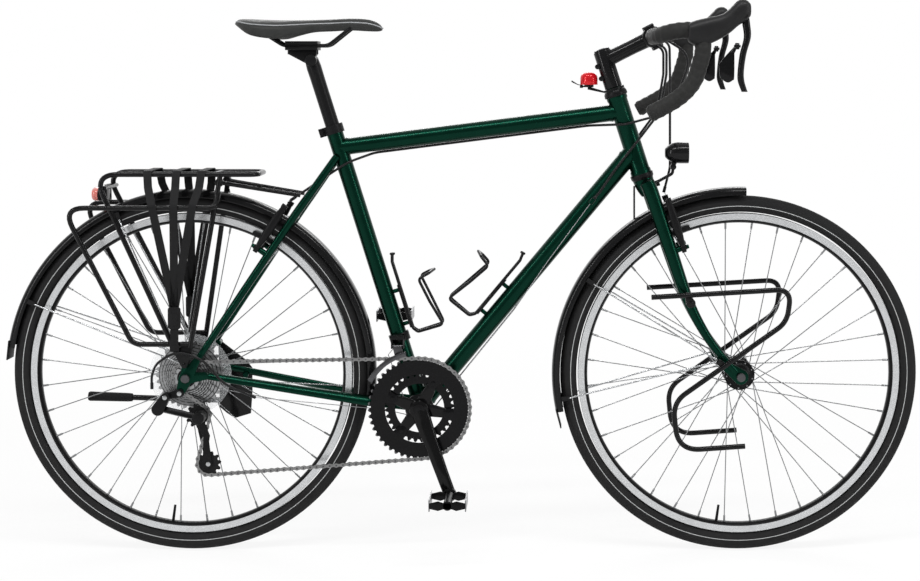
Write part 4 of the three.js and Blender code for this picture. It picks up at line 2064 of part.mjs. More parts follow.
const loopDisc = (foot, footY) => plate(
  circleOutline(foot, mudguard.clip / 2 + weld / 2, facetCount.small),
  footY - mudguard.stayRadius * 2,
  footY + mudguard.stayRadius,
);
const flapSolid = (centre, radius, degrees) => {
  const start = polar(centre, radius - mudguard.flapThickness, degrees - mudguardDegrees.overlap);
  const foot = polar(centre, radius - mudguard.flapThickness, degrees + mudguardDegrees.flap);
  const outer = polar(centre, radius, degrees + mudguardDegrees.flap);
  const top = polar(centre, radius, degrees - mudguardDegrees.overlap);
  return plate([start, foot, outer, top], -mudguard.width / 2, mudguard.width / 2);
};
const stayFootRear = dropoutOuter + gap + mudguard.stayRadius * 2;
const stayFootFront = forkSize.eyeletReach + gap + mudguard.stayRadius * 2;
const rearGuardStays = join(
  guardStay(rearAxle, mudguard.rearRadius, stayDegrees.rearLow, eyeletRear, stayFootRear),
  guardStay(rearAxle, mudguard.rearRadius, stayDegrees.rearHigh, eyeletRear, stayFootRear),
  loopDisc(eyeletRear, stayFootRear),
);
const frontGuardStays = join(
  guardStay(frontAxle, mudguard.frontRadius, stayDegrees.frontHigh, eyeletFront, stayFootFront),
  guardStay(frontAxle, mudguard.frontRadius, stayDegrees.frontLow, eyeletFront, stayFootFront),
  loopDisc(eyeletFront, stayFootFront),
);
addPart('rear_mudguard', join(
  guardSolid(rearAxle, mudguard.rearRadius, mudguardDegrees.rearStart, mudguardDegrees.rearEnd),
  flapSolid(rearAxle, mudguard.rearRadius + mudguard.thickness / 2, mudguardDegrees.rearEnd),
  bothSides(rearGuardStays),
), finish.gloss);
const crownTabTop = steerPoint(crownTop - forkSize.crownDrop / 2, -tubeRadius.head - gap);
const guardSag = Math.cos(radians(guardStepDegrees / 2));
const crownTabLow = polar(frontAxle, mudguard.frontRadius * guardSag, crownTabDegrees);
const crownTab = plate([
  crownTabLow,
  side(crownTabLow.x + mudguard.thickness * 2, crownTabLow.z),
  crownTabTop,
  side(crownTabTop.x - mudguard.thickness * 2, crownTabTop.z),
], -mudguard.clip, mudguard.clip);
addPart('front_mudguard', join(
  guardSolid(frontAxle, mudguard.frontRadius, mudguardDegrees.frontStart, mudguardDegrees.frontEnd),
  flapSolid(frontAxle, mudguard.frontRadius + mudguard.thickness / 2, mudguardDegrees.frontEnd),
  bothSides(frontGuardStays),
  crownTab,
), finish.gloss);

// Rear rack

const deckZ = rack.deckHeight;
const deckRearX = rearAxle.x - rack.deckRear;
const deckFrontX = rearAxle.x + rack.deckFront;
const deckRail = rod([
  at(deckFrontX, 0, deckZ),
  at(deckFrontX, rack.deckHalf, deckZ),
  at(deckRearX + rack.bend, rack.deckHalf, deckZ),
  at(deckRearX - rack.bend / 2, rack.deckHalf, deckZ - rack.bend),
  at(deckRearX - rack.bend / 2, 0, deckZ - rack.bend),
], rack.tube, rack.bend / 2, facetCount.wire);
const deckCross = rackCrossShares.map((share) => acrossBarrel(
  side(THREE.MathUtils.lerp(deckRearX, deckFrontX, share), deckZ),
  0,
  rack.deckHalf,
  rack.rail,
  facetCount.wire,
));
const footY = stayFootRear + mudguard.stayRadius + gap + rack.plate / 2;
const legY = stayFootRear + mudguard.stayRadius + gap + rack.tube;
const rackFootHigh = fromRear(-rack.footX, rack.footZ, legY);
const rearLegTop = fromRear(-rack.rearTopX, rack.rearTopZ, rack.deckHalf);
const frontLegTop = fromRear(rack.frontTopX, rack.rearTopZ + rack.bend, rack.deckHalf);
const rearLegTrue = at(rearLegTop.x, rack.deckHalf, deckZ - rack.tube);
const railHighZ = rearAxle.z + rack.railHigh;
const railLowZ = rearAxle.z + rack.railLow;
const rackLegs = [
  rod([at(rearLegTrue.x, rack.deckHalf, deckZ), rackFootHigh], rack.tube, 0, facetCount.wire),
  rod([at(frontLegTop.x, rack.deckHalf, deckZ), fromRear(rack.frontFootX, rack.frontFootZ, legY)], rack.tube, 0, facetCount.wire),
];
const pannierRail = rod([
  at(rearAxle.x + rack.railFrontX, rack.deckHalf, railHighZ + rack.bend),
  at(rearAxle.x + rack.railFrontX, rack.railHalf, railHighZ),
  at(rearAxle.x - rack.railRearX, rack.railHalf, railHighZ),
  at(rearAxle.x - rack.railLowRearX, rack.railHalf, railLowZ),
  at(rearAxle.x + rack.railLowFrontX, rack.railHalf, railLowZ),
], rack.tube, rack.bend, facetCount.wire);
const railTie = acrossBarrel(
  side(rearAxle.x - rack.railTieX, railHighZ),
  rack.deckHalf,
  rack.railHalf,
  rack.rail,
);
const rackFoot = plate(hullOutline([
  { centre: side(eyeletRear.x, eyeletRear.z), radius: dropout.eyeletRadius },
  { centre: side(rackFootHigh.x, rackFootHigh.z), radius: rack.tube },
  { centre: fromRear(rack.frontFootX, rack.frontFootZ), radius: rack.tube },
]), footY - rack.plate / 2, footY + rack.plate / 2);
const rackStayFoot = pointAtRadius(seatstayMiddle, stayUp, rearAxle, rack.stayRadiusFromAxle);
const rackStay = rod([
  at(deckFrontX - rack.bend, rack.deckHalf, deckZ),
  at(deckFrontX, rack.stayY, deckZ - rack.bend),
  at(
    rackStayFoot.x + stayBack.x * (seatstay.midRadius + rack.rail + gap),
    rack.stayY,
    rackStayFoot.z + stayBack.z * (seatstay.midRadius + rack.rail + gap),
  ),
], rack.rail, 0, facetCount.wire);
const rackHalf = join(deckRail, deckCross, rackLegs, pannierRail, railTie, rackFoot, rackStay);
const lampPlate = plate([
  at(deckRearX - rack.bend / 2 - rack.tube - rack.plate, 0, deckZ - rack.bend - tailLight.height),
  at(deckRearX - rack.bend / 2 - rack.tube + weld, 0, deckZ - rack.bend - tailLight.height),
  at(deckRearX - rack.bend / 2 - rack.tube + weld, 0, deckZ - rack.bend + rack.tube),
  at(deckRearX - rack.bend / 2 - rack.tube - rack.plate, 0, deckZ - rack.bend + rack.tube),
], -tailLight.width / 3, tailLight.width / 3);
addPart('rear_rack', join(bothSides(rackHalf), lampPlate), finish.black);

// Rear light

const lightFront = deckRearX - rack.bend / 2 - rack.tube - rack.plate - gap;
const lightMiddle = deckZ - rack.bend - tailLight.height / 2;
const lightOutline = (width, height) => {
  const cutX = height / 4;
  return [
    [-width / 2, -height / 2 + cutX], [-width / 2 + cutX, -height / 2], [width / 2 - cutX, -height / 2],
    [width / 2, -height / 2 + cutX], [width / 2, height / 2 - cutX], [width / 2 - cutX, height / 2],
    [-width / 2 + cutX, height / 2], [-width / 2, height / 2 - cutX],
  ];
};
const lightRing = (x, scale) => lightOutline(tailLight.width * scale, tailLight.height * scale)
  .map(([y, z]) => at(x, y, lightMiddle + z));
addPart('rear_light', loft([
  lightRing(lightFront, tailLight.backShare),
  lightRing(lightFront - tailLight.depth / 3, 1),
  lightRing(lightFront - tailLight.depth + tailLight.lens, 1),
  lightRing(lightFront - tailLight.depth, tailLight.lensShare),
]), finish.lens);

// Rack straps: three bands over the deck that meet at a buckle on each side

function ribbon(points, width, thickness) {
  const rings = points.map((point, i) => {
    const before = points[Math.max(i - 1, 0)];
    const after = points[Math.min(i + 1, points.length - 1)];
    const along = after.clone().sub(before).normalize();
    const across = at(1, 0, 0).addScaledVector(along, -along.x).normalize();
    const outward = along.clone().cross(across).normalize();
    const corner = (wide, thick) => point.clone()
      .addScaledVector(across, (wide * width) / 2)
      .addScaledVector(outward, (thick * thickness) / 2);
    return [corner(1, 1), corner(-1, 1), corner(-1, -1), corner(1, -1)];
  });
  return loft(rings);
}
const strapTop = deckZ + rack.tube + strap.thickness + gap;
const strapSide = rack.railHalf + rack.tube + strap.thickness / 2 + gap;
const buckleCentre = at(rearAxle.x - strap.buckleX, strapSide + strap.buckleDepth / 2, rearAxle.z + strap.buckleZ);
const strapHalf = join(
  [-strap.rearX, -strap.middleX, strap.frontX].map((x) => ribbon([
    at(rearAxle.x + x, -weld, strapTop),
    at(rearAxle.x + x, rack.deckHalf + rack.tube, strapTop),
    at(THREE.MathUtils.lerp(rearAxle.x + x, buckleCentre.x, strap.turnShare), strapSide, railHighZ + rack.tube),
    at(buckleCentre.x, buckleCentre.y, buckleCentre.z),
  ], strap.width, strap.thickness)),
  plate(
    boxOutline(buckleCentre.x, strap.buckleWidth / 2, buckleCentre.z - strap.buckleHeight / 2, buckleCentre.z + strap.buckleHeight / 2),
    buckleCentre.y - strap.buckleDepth / 2,
    buckleCentre.y + strap.buckleDepth / 2,
  ),
  ribbon([
    buckleCentre,
    at(rackFootHigh.x, legY + rack.tube + strap.thickness, rackFootHigh.z + strap.hookRise),
  ], strap.width, strap.thickness),
);
addPart('rack_straps', bothSides(strapHalf), finish.rubber);

// Low front racks

const fromFront = (x, z, y = 0) => at(frontAxle.x + x, y, frontAxle.z + z);
const lowFrame = rod([
  fromFront(lowriderPlan.topRearX, lowriderPlan.topRearZ, lowrider.y),
  fromFront(lowriderPlan.topFrontX, lowriderPlan.topFrontZ, lowrider.y),
  fromFront(lowriderPlan.noseX, lowriderPlan.noseZ, lowrider.y),
  fromFront(lowriderPlan.heelX, lowriderPlan.heelZ, lowrider.y),
  fromFront(lowriderPlan.toeX, lowriderPlan.toeZ, lowrider.y),
  fromFront(lowriderPlan.endX, lowriderPlan.endZ, lowrider.y),
], lowrider.tube, lowrider.bend);
const bossSide = side(lowriderBossAt.x, lowriderBossAt.z);
const upperLugFoot = fromFront(lowriderPlan.topRearX * lowrider.lugShare, lowriderPlan.topRearZ);
const lowLugs = [
  plate(hullOutline([
    { centre: bossSide, radius: lowrider.lug / 2 },
    { centre: upperLugFoot, radius: lowrider.tube },
  ]), lowrider.bossReach + gap, lowrider.y),
  plate(hullOutline([
    { centre: eyeletFront, radius: dropout.eyeletRadius },
    { centre: fromFront(lowriderPlan.noseX * lowrider.crossShare + lowriderPlan.heelX * (1 - lowrider.crossShare), lowriderPlan.noseZ * lowrider.crossShare + lowriderPlan.heelZ * (1 - lowrider.crossShare)), radius: lowrider.tube },
  ]), lowrider.y - lowrider.lugThickness, lowrider.y),
  acrossBarrel(eyeletFront, stayFootFront + mudguard.stayRadius + gap, lowrider.y, lowrider.tube),
];
addPair('lowrider', mirrored(geometryOf(join(lowFrame, lowLugs))), finish.black);

// Bottle cages

function bottleCageSolid(pointOf, tubeReach, base) {
  const backing = tubeReach + bottleCage.base;
  const back = (along, reach, y) => pointOf(base + along, backing + reach, y);
  const radius = bottleCage.bottleRadius;
  const backPlate = plate([
    back(0, 0, 0),
    back(bottleCage.plateLength, 0, 0),
    back(bottleCage.plateLength, bottleCage.plate, 0),
    back(0, bottleCage.plate, 0),
  ].map((point) => side(point.x, point.z)), -bottleCage.bolt * 2, bottleCage.bolt * 2);
  const padEnd = bottleCage.padStart + bottleCage.padLength;
  const padTop = bottleCage.plate + bottleCage.padRise;
  const pad = plate([
    back(bottleCage.padStart, bottleCage.plate - weld, 0),
    back(padEnd, bottleCage.plate - weld, 0),
    back(padEnd, padTop, 0),
    back(bottleCage.padStart, padTop, 0),
  ].map((point) => side(point.x, point.z)), -bottleCage.padHalf, bottleCage.padHalf);
  const wire = rod([
    back(bottleCage.plateLength - bottleCage.plate, bottleCage.plate, 0),
    back(bottleCage.sideAlong + bottleCage.stand, bottleCage.plate * 2, radius / 2),
    back(bottleCage.length, bottleCage.sideReach, radius),
    back(bottleCage.length, bottleCage.hookReach, radius / 3),
    back(bottleCage.sideAlong, bottleCage.hookReach, radius / 2),
    back(bottleCage.stand, bottleCage.sideReach, radius),
    back(-bottleCage.stand, bottleCage.bottomReach, radius / 3),
    back(-bottleCage.stand, bottleCage.plate * 2, radius / 3),
    back(bottleCage.plate, bottleCage.plate, 0),
  ], bottleCage.rod, bottleCage.bend, facetCount.wire);
  return join(backPlate, pad, bothSides(wire));
}
addPart('bottle_cage_seat_tube', bottleCageSolid(seatPoint, tubeRadius.seat, cageAlong.seat), finish.black);
addPart('bottle_cage_down_tube', bottleCageSolid(downPoint, tubeRadius.down, cageAlong.down), finish.black);

// Kickstand

const standPivot = fromRear(stand.pivotX, -stand.pivotZ);
const standOuter = stand.plateY + stand.plateThickness;
const standOutline = standShares.map(({ along, up }) => fromRear(
  stand.plateX + stand.plateLength * along,
  -stand.plateZ + stand.plateHeight * up,
));
const standBracket = plate(standOutline, stand.plateY, standOuter);
const standAxis = at(0, Math.cos(radians(standTiltDegrees)), Math.sin(radians(standTiltDegrees)));
const standFoot = at(standPivot.x, standOuter, standPivot.z);
const standAlong = (reach) => standFoot.clone().addScaledVector(standAxis, reach);
const standBossEnd = stand.headRadius * Math.tan(radians(standTiltDegrees)) + gap * 2;
const standBarrel = (low, high, radius, sides) => barrel(standAlong(low), standAlong(high), radius, radius, sides);
const standHeadLow = standBossEnd + gap;
addPart('kickstand_bracket', join(
  standBracket,
  standBarrel(-weld, standBossEnd, stand.bossRadius, facetCount.stay),
  standBarrel(-weld, standHeadLow + stand.headWidth + gap, stand.pinRadius, facetCount.small),
), finish.black);
const rise = radians(standRiseDegrees);
const legDirection = at(
  -Math.cos(rise),
  -Math.sin(radians(standTiltDegrees)) * Math.sin(rise),
  Math.cos(radians(standTiltDegrees)) * Math.sin(rise),
);
const legPoint = (along) => standAlong(standHeadLow + stand.headWidth / 2).addScaledVector(legDirection, along);
const standHead = standBarrel(standHeadLow, standHeadLow + stand.headWidth, stand.headRadius, facetCount.round);
const standBore = standBarrel(0, overrun, stand.pinRadius + axle.clearance, facetCount.stay);
addPart('kickstand', join(
  standHead,
  barrel(legPoint(0), legPoint(stand.legLength - stand.gripLength), stand.legRadius, stand.legRadius, facetCount.stay),
  barrel(legPoint(stand.legLength - stand.gripLength), legPoint(stand.legLength), stand.gripRadius, stand.gripRadius, facetCount.stay),
).subtract(standBore), finish.black);

// Cables

const barExit = (degrees, y) => polar(barCentre, bar.radius + cable.radius + gap, degrees, y);
const exitY = bar.tapeStart - gap - cable.radius;
const housing = (points) => rod(points, cable.radius, cable.bend, facetCount.wire);
const wire = (points) => rod(points, cable.bareRadius, 0, facetCount.thread);
const flip = (point) => at(point.x, -point.y, point.z);

const linkHeight = brakeArm.length + brakeArm.thickness + gap;
const linkLift = (bossRoot, outward, upward) => bossRoot.clone()
  .addScaledVector(outward, brakeBoss.length + brakeArm.thickness / 2)
  .addScaledVector(upward, linkHeight);
const frontLink = linkLift(frontBossRoot, steerAhead, steerUp);
const rearLink = linkLift(rearBossRoot, stayBack, stayUp);
addPart('front_brake_cable', join(
  housing([
    barExit(cableExitDegrees.brake, exitY),
    at(barCentre.x + bar.radius * 3, exitY - bar.radius, barCentre.z - bar.radius),
    at(barCentre.x + bar.radius * 3, cable.lampSide, barCentre.z - bar.drop / 2),
    at(frontLink.x + bar.radius, cable.lampSide, frontLink.z + bar.drop / 3),
    at(frontLink.x, cable.lampSide, frontLink.z),
  ]),
  wire([at(frontLink.x, cable.lampSide, frontLink.z), at(frontLink.x, -frontLink.y, frontLink.z)]),
), finish.rubber);

const underTop = -tubeRadius.top - cable.radius - gap;
const topLength = topTubeEnds[0].distanceTo(topTubeEnds[1]);
const besideSeat = -tubeRadius.seat - cable.radius * 4;
addPart('rear_brake_cable', join(
  housing([
    barExit(cableExitDegrees.brake, -exitY),
    at(barCentre.x + bar.drop / 2, bar.radius - exitY, barCentre.z - bar.radius * 3),
    at(barCentre.x + bar.radius * 3, -cable.lampSide, barCentre.z - bar.drop),
    steerPoint(headTop - tubeRadius.head * 3, 0, -tubeRadius.head - cable.radius * 2),
    topPoint(topLength * brakeRunShares.front, underTop),
    topPoint(topLength * brakeRunShares.rear, underTop),
    seatPoint(frameSize.topTubeSeatJoint - tubeRadius.top * 2, tubeRadius.seat / 2, besideSeat),
    seatPoint(frameSize.topTubeSeatJoint - tubeRadius.top * 3, -tubeRadius.seat * 3, besideSeat / 5),
    at(rearLink.x, besideSeat / 5, rearLink.z),
  ]),
  wire([at(rearLink.x, -rearLink.y, rearLink.z), at(rearLink.x, rearLink.y, rearLink.z)]),
), finish.rubber);

const shiftFront = [
  barExit(cableExitDegrees.shift, exitY),
  at(barCentre.x + bar.radius * 2, exitY - bar.radius, barCentre.z - bar.radius * 2),
  at(barCentre.x + bar.radius * 2, stopSide * 2, barCentre.z - bar.drop / 2),
  at(barCentre.x + bar.radius, stopSide * 2, barCentre.z - bar.drop),
  downPoint(frameSize.downStopAlong + bar.drop / 2, cable.radius * 2, stopSide + cable.radius),
  downPoint(frameSize.downStopAlong + cableStop.length * 2, 0, stopSide),
  downPoint(frameSize.downStopAlong, 0, stopSide),
];
const guideCentreLow = side(shellCentre.x, shellCentre.z - tubeRadius.shell - gap - cable.guideHeight / 2);
const shiftBare = [
  downPoint(frameSize.downStopAlong, 0, stopSide),
  downPoint(frameSize.downStopAlong - bar.drop, -tubeRadius.down / 2, stopSide),
  downPoint(frameSize.downStopAlong / 2, -tubeRadius.down - cable.radius, cable.guideY * 2),
  at(shellCentre.x + cable.guideLength / 2, cable.guideY, guideCentreLow.z),
  at(shellCentre.x, cable.guideY, guideCentreLow.z),
];
const guideBlock = plate(
  boxOutline(
    guideCentreLow.x,
    cable.guideLength / 2,
    guideCentreLow.z - cable.guideHeight / 2,
    guideCentreLow.z + cable.guideHeight / 2,
  ),
  -cable.guideWidth / 2,
  cable.guideWidth / 2,
);
const shifterWire = [
  at(shellCentre.x, -cable.guideY, guideCentreLow.z),
  at(shellCentre.x - tubeRadius.shell, -cable.guideY, guideCentreLow.z),
  at(shifterPivot.x - shifter.bandRadius, -cable.guideY, shifterPivot.z - shifter.bandRadius),
  at(shifterPivot.x - shifter.lugHalf, -tubeRadius.seat, shifterPivot.z - shifter.hingeRadius - cable.radius),
];
const mechStopAt = fromRear(mech.stopX, -mech.stopZ, -mech.stopSide);
const mechWire = [
  at(shellCentre.x, -cable.guideY, guideCentreLow.z),
  at(shellCentre.x - cable.guideLength / 2, -cable.guideY, guideCentreLow.z),
  fromShell(chainstay.waistX, -cable.guideHeight, -chainstay.waistSpread),
  mechStopAt,
];
const loopY = -mech.loopSide;
const mechLoop = mechLoopOffsets.map(([x, z]) => fromRear(x, z, loopY));
const mechHousing = [mechStopAt, ...mechLoop];
addPart('shift_cables', join(
  housing(shiftFront),
  housing(shiftFront.map(flip)),
  wire(shiftBare),
  wire(shiftBare.map(flip)),
  guideBlock,
  wire(shifterWire),
  wire(mechWire),
  housing(mechHousing),
), finish.rubber);

// The whole stands on the ground with its middle at X and Y zero

const wholeBox = new THREE.Box3().setFromObject(bicycle);
const wholeMiddle = wholeBox.getCenter(at(0, 0, 0));
bicycle.children.forEach((mesh) => mesh.geometry.translate(-wholeMiddle.x, -wholeMiddle.y, -wholeBox.min.z));

export default bicycle;
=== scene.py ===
"""A touring bicycle's looks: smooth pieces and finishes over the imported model."""

import math

import bmesh
import bpy
from mathutils import Matrix, Vector


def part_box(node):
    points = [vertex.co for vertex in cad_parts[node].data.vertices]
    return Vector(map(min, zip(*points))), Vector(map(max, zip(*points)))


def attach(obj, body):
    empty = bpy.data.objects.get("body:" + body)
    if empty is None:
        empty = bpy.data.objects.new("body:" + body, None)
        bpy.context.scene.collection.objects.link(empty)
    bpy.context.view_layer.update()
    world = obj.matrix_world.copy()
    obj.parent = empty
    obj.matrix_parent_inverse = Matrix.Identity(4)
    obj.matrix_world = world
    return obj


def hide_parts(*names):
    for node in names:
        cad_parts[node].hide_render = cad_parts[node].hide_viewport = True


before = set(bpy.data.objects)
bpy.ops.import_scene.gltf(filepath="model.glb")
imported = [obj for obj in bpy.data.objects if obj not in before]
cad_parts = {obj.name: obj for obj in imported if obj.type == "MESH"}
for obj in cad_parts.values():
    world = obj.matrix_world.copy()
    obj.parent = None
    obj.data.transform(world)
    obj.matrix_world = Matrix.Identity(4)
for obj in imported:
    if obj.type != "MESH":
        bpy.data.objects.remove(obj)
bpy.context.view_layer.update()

bl_info = {
    "name": "Touring bicycle",
    "version": (1, 0, 0),
    "blender": (4, 5, 0),
    "location": "3D View > Sidebar > Bicycle",
    "description": "Builds the visible pieces of a touring bicycle on its packed model",
    "category": "Object",
}

# Sizes in millimetres, with X from the bottom bracket and Z from the ground

GAP = 0.3
PITCH = 12.7
AXLE_Z = 345
REAR = Vector((-442.983, 0, AXLE_Z))
FRONT = Vector((615.385, 0, AXLE_Z))
SHELL = Vector((0, 0, 283))
REAR_NOW = sum(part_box("rear_axle"), Vector()) / 2
SHIFT = REAR_NOW.x * 1000 - REAR.x
SEAT_ANGLE = math.radians(72.7)
HEAD_ANGLE = math.radians(72.1)
SEAT_UP = Vector((-math.cos(SEAT_ANGLE), 0, math.sin(SEAT_ANGLE)))
SEAT_AHEAD = Vector((math.sin(SEAT_ANGLE), 0, math.cos(SEAT_ANGLE)))
STEER_UP = Vector((-math.cos(HEAD_ANGLE), 0, math.sin(HEAD_ANGLE)))
STEER_AHEAD = Vector((math.sin(HEAD_ANGLE), 0, math.cos(HEAD_ANGLE)))
STEER_FOOT = FRONT - STEER_AHEAD * 60.7
AHEAD = Vector((1, 0, 0))
ACROSS = Vector((0, 1, 0))
UPWARD = Vector((0, 0, 1))
FORK_LENGTH = 415
HEAD_BOTTOM = FORK_LENGTH + 11
HEAD_TOP = HEAD_BOTTOM + 157
CRANK_DEGREES = -69.5
SPROCKET_TEETH = (11, 12, 14, 16, 18, 20, 22, 25, 28, 32)
SPROCKET_STEP = 3.95
SPROCKET_INNER_Y = -24.5
DRIVE_Y = SPROCKET_INNER_Y - SPROCKET_STEP * 7
RING_Y = -47
BIG_RING = 48
SMALL_RING = 32
PULLEY_TEETH = 11
CRANK_LENGTH = 170
STEEL_TUBE = 15.9
DOWN_TUBE_RADIUS = 17.5
BAR_RADIUS = 11.9
TAPE_RADIUS = 14.4
HOUSING_RADIUS = 2.3
LEVER_Y = 205
GUARD_REAR = 356
GUARD_FRONT = 360
ROD_RADIUS = 5


def at(x, y, z):
    return Vector((x, y, z))


def beside(point, y):
    """The same point at another distance from the middle plane."""
    return Vector((point.x, y, point.z))


# Places along the seat tube, the steering axis, the down tube and the top tube


def seat(along, ahead=0.0, y=0.0):
    return beside(SHELL + SEAT_UP * along + SEAT_AHEAD * ahead, y)


def steer(along, ahead=0.0, y=0.0):
    return beside(STEER_FOOT + STEER_UP * along + STEER_AHEAD * ahead, y)


TOP_TUBE = (seat(523), steer(HEAD_TOP - 31.5))
DOWN_TUBE = (SHELL.copy(), steer(HEAD_BOTTOM + 47.5))
TOP_ALONG = (TOP_TUBE[1] - TOP_TUBE[0]).normalized()
TOP_ABOVE = Vector((-TOP_ALONG.z, 0, TOP_ALONG.x))
DOWN_ALONG = (DOWN_TUBE[1] - DOWN_TUBE[0]).normalized()
DOWN_ABOVE = Vector((-DOWN_ALONG.z, 0, DOWN_ALONG.x))


def down(along, above=0.0, y=0.0):
    return beside(SHELL + DOWN_ALONG * along + DOWN_ABOVE * above, y)


def top(along, above=0.0):
    return TOP_TUBE[0] + TOP_ALONG * along + TOP_ABOVE * above


def polar(centre, radius, degrees, y=0.0):
    """A place round a centre in the side view."""
    turn = math.radians(degrees)
    return at(centre.x + radius * math.cos(turn), y, centre.z + radius * math.sin(turn))


def from_point(centre, x, z, y=0.0):
    """A place ahead of and above a centre in the side view."""
    return at(centre.x + x, y, centre.z + z)


def from_rear(x, z, y=0.0):
    return from_point(REAR, x, z, y)


def from_front(x, z, y=0.0):
    return from_point(FRONT, x, z, y)


def pitch_radius(teeth):
    return PITCH / (2 * math.sin(math.pi / teeth))


def placed(point):
    """A point in millimetres from the bottom bracket, as a place in the model in metres."""
    return Vector(((point.x + SHIFT) / 1000, point.y / 1000, point.z / 1000))


# Forms: each adds to a bmesh in metres, from points in millimetres


def turned(bm, profile, centre, axis=ACROSS, steps=48, closed=True):
    """A profile of (radius, distance along the axis) turned right round the axis."""
    axis = axis.normalized()
    spoke = axis.orthogonal().normalized()
    verts = [bm.verts.new(placed(centre + spoke * radius + axis * along)) for radius, along in profile]
    pairs = list(zip(verts, verts[1:]))
    if closed:
        pairs.append((verts[-1], verts[0]))
    edges = [bm.edges.new(pair) for pair in pairs]
    bmesh.ops.spin(
        bm, geom=verts + edges, cent=placed(centre), axis=axis, angle=2 * math.pi, steps=steps,
        use_merge=True, use_duplicate=False,
    )


def swept(bm, path, radius, sides=12, oval=None):
    """A rod along a path. The radius is one size or one for each point; oval gives (wide, deep) for each."""
    count = len(path)
    radii = radius if isinstance(radius, (list, tuple)) else [radius] * count
    along = (path[1] - path[0]).normalized()
    side = ACROSS if abs(along.y) < 0.9 else UPWARD
    rings = []
    for i, point in enumerate(path):
        before = path[i - 1] if i > 0 else point
        after = path[i + 1] if i < count - 1 else point
        along = (after - before).normalized()
        up = along.cross(side).normalized()
        side = up.cross(along).normalized()
        wide, deep = oval[i] if oval else (radii[i], radii[i])
        turn = Matrix((side, up, along)).transposed().to_4x4()
        size = Matrix.Diagonal((wide / 1000, deep / 1000, 1, 1))
        spot = Matrix.Translation(placed(point)) @ turn @ size
        capped = i in (0, count - 1)
        made = bmesh.ops.create_circle(bm, cap_ends=capped, radius=1, segments=sides, matrix=spot)["verts"]
        rings.append(ring_edges(made))
    for low, high in zip(rings, rings[1:]):
        bmesh.ops.bridge_loops(bm, edges=low + high)


def ring_edges(verts):
    """The edges that join a ring's own verts."""
    own = set(verts)
    return [edge for vert in verts for edge in vert.link_edges
            if edge.verts[0] is vert and edge.other_vert(vert) in own]


def barrel(bm, start, end, radius, end_radius=None, sides=32, edge=0.0):
    """A round bar between two points, with an optional bevel at its ends."""
    length = (end - start).length
    turn = (end - start).to_track_quat("Z", "Y").to_matrix().to_4x4()
    spot = Matrix.Translation(placed((start + end) / 2)) @ turn
    made = bmesh.ops.create_cone(
        bm, cap_ends=True, segments=sides, radius1=radius / 1000,
        radius2=(radius if end_radius is None else end_radius) / 1000, depth=length / 1000, matrix=spot,
    )["verts"]
    if edge:
        rims = {e for vert in made for e in vert.link_edges if any(len(f.verts) > 4 for f in e.link_faces)}
        softened(bm, rims, edge)


def softened(bm, edges, size, segments=2):
    """Rounds edges by a size in millimetres."""
    bmesh.ops.bevel(
        bm, geom=list(edges), offset=size / 1000, segments=segments, profile=0.5, affect="EDGES", material=-1,
        clamp_overlap=True,
    )


def crosswise(bm, centre, low, high, radius, sides=32, edge=0.0):
    """A round bar across the bicycle, between two distances from its middle plane."""
    barrel(bm, beside(centre, low), beside(centre, high), radius, sides=sides, edge=edge)


def thickened(bm, verts, push):
    """A flat face over a ring of verts, given a thickness by a push in millimetres. Returns its two faces."""
    face = bm.faces.new(verts)
    grown = bmesh.ops.extrude_face_region(bm, geom=[face])["geom"]
    lifted = [part for part in grown if isinstance(part, bmesh.types.BMVert)]
    bmesh.ops.translate(bm, verts=lifted, vec=push / 1000)
    return [face] + [part for part in grown if isinstance(part, bmesh.types.BMFace)]


def plate(bm, outline, low, high, edge=0.0, segments=2):
    """A flat outline in the side view, given a thickness across the bicycle."""
    verts = [bm.verts.new(placed(beside(point, low))) for point in outline]
    ends = thickened(bm, verts, at(0, high - low, 0))
    if edge:
        softened(bm, {rim for end in ends for rim in end.edges}, edge, segments)


def lofted(bm, rings):
    """A skin over rings of points that match one another; its ends are filled."""
    made = []
    for ring in rings:
        verts = [bm.verts.new(placed(point)) for point in ring]
        edges = [bm.edges.new(pair) for pair in zip(verts, verts[1:] + verts[:1])]
        made.append((verts, edges))
    for (_, low), (_, high) in zip(made, made[1:]):
        bmesh.ops.bridge_loops(bm, edges=low + high)
    bm.faces.new(made[0][0][::-1])
    bm.faces.new(made[-1][0])


def squared(value):
    """Pushes a circle's sine or cosine toward a rounded square."""
    return math.copysign(abs(value) ** 0.78, value)


def squarish(centre, across, wide, upward, deep, sides=24):
    """A ring of points about a centre, between an oval and a rectangle."""
    turns = [math.tau * (i + 0.5) / sides for i in range(sides)]
    return [centre + across * (wide * squared(math.cos(t))) + upward * (deep * squared(math.sin(t)))
            for t in turns]


# Outlines and paths, in millimetres


def hulled(discs, sides=28):
    """The outline round a row of (centre, radius) discs, as a belt round pulleys."""
    points = [polar(centre, radius, 360 * i / sides) for centre, radius in discs for i in range(sides)]
    points.sort(key=lambda point: (point.x, point.z))

    def half(row):
        kept = []
        for point in row:
            while len(kept) > 1 and cross_of(kept[-2], kept[-1], point) <= 1e-9:
                kept.pop()
            kept.append(point)
        return kept[:-1]

    return half(points) + half(points[::-1])


def cross_of(start, first, second):
    return (first.x - start.x) * (second.z - start.z) - (first.z - start.z) * (second.x - start.x)


def rounded(points, bend, steps=6):
    """A path through straight runs whose corners are rounded."""
    path = [points[0].copy()]
    for before, corner, after in zip(points, points[1:], points[2:]):
        back, ahead = before - corner, after - corner
        half = back.angle(ahead) / 2
        reach = min(bend / math.tan(half), back.length * 0.47, ahead.length * 0.47)
        start = corner + back.normalized() * reach
        end = corner + ahead.normalized() * reach
        for k in range(steps + 1):
            share = k / steps
            path.append(start.lerp(corner, share).lerp(corner.lerp(end, share), share))
    path.append(points[-1].copy())
    return path


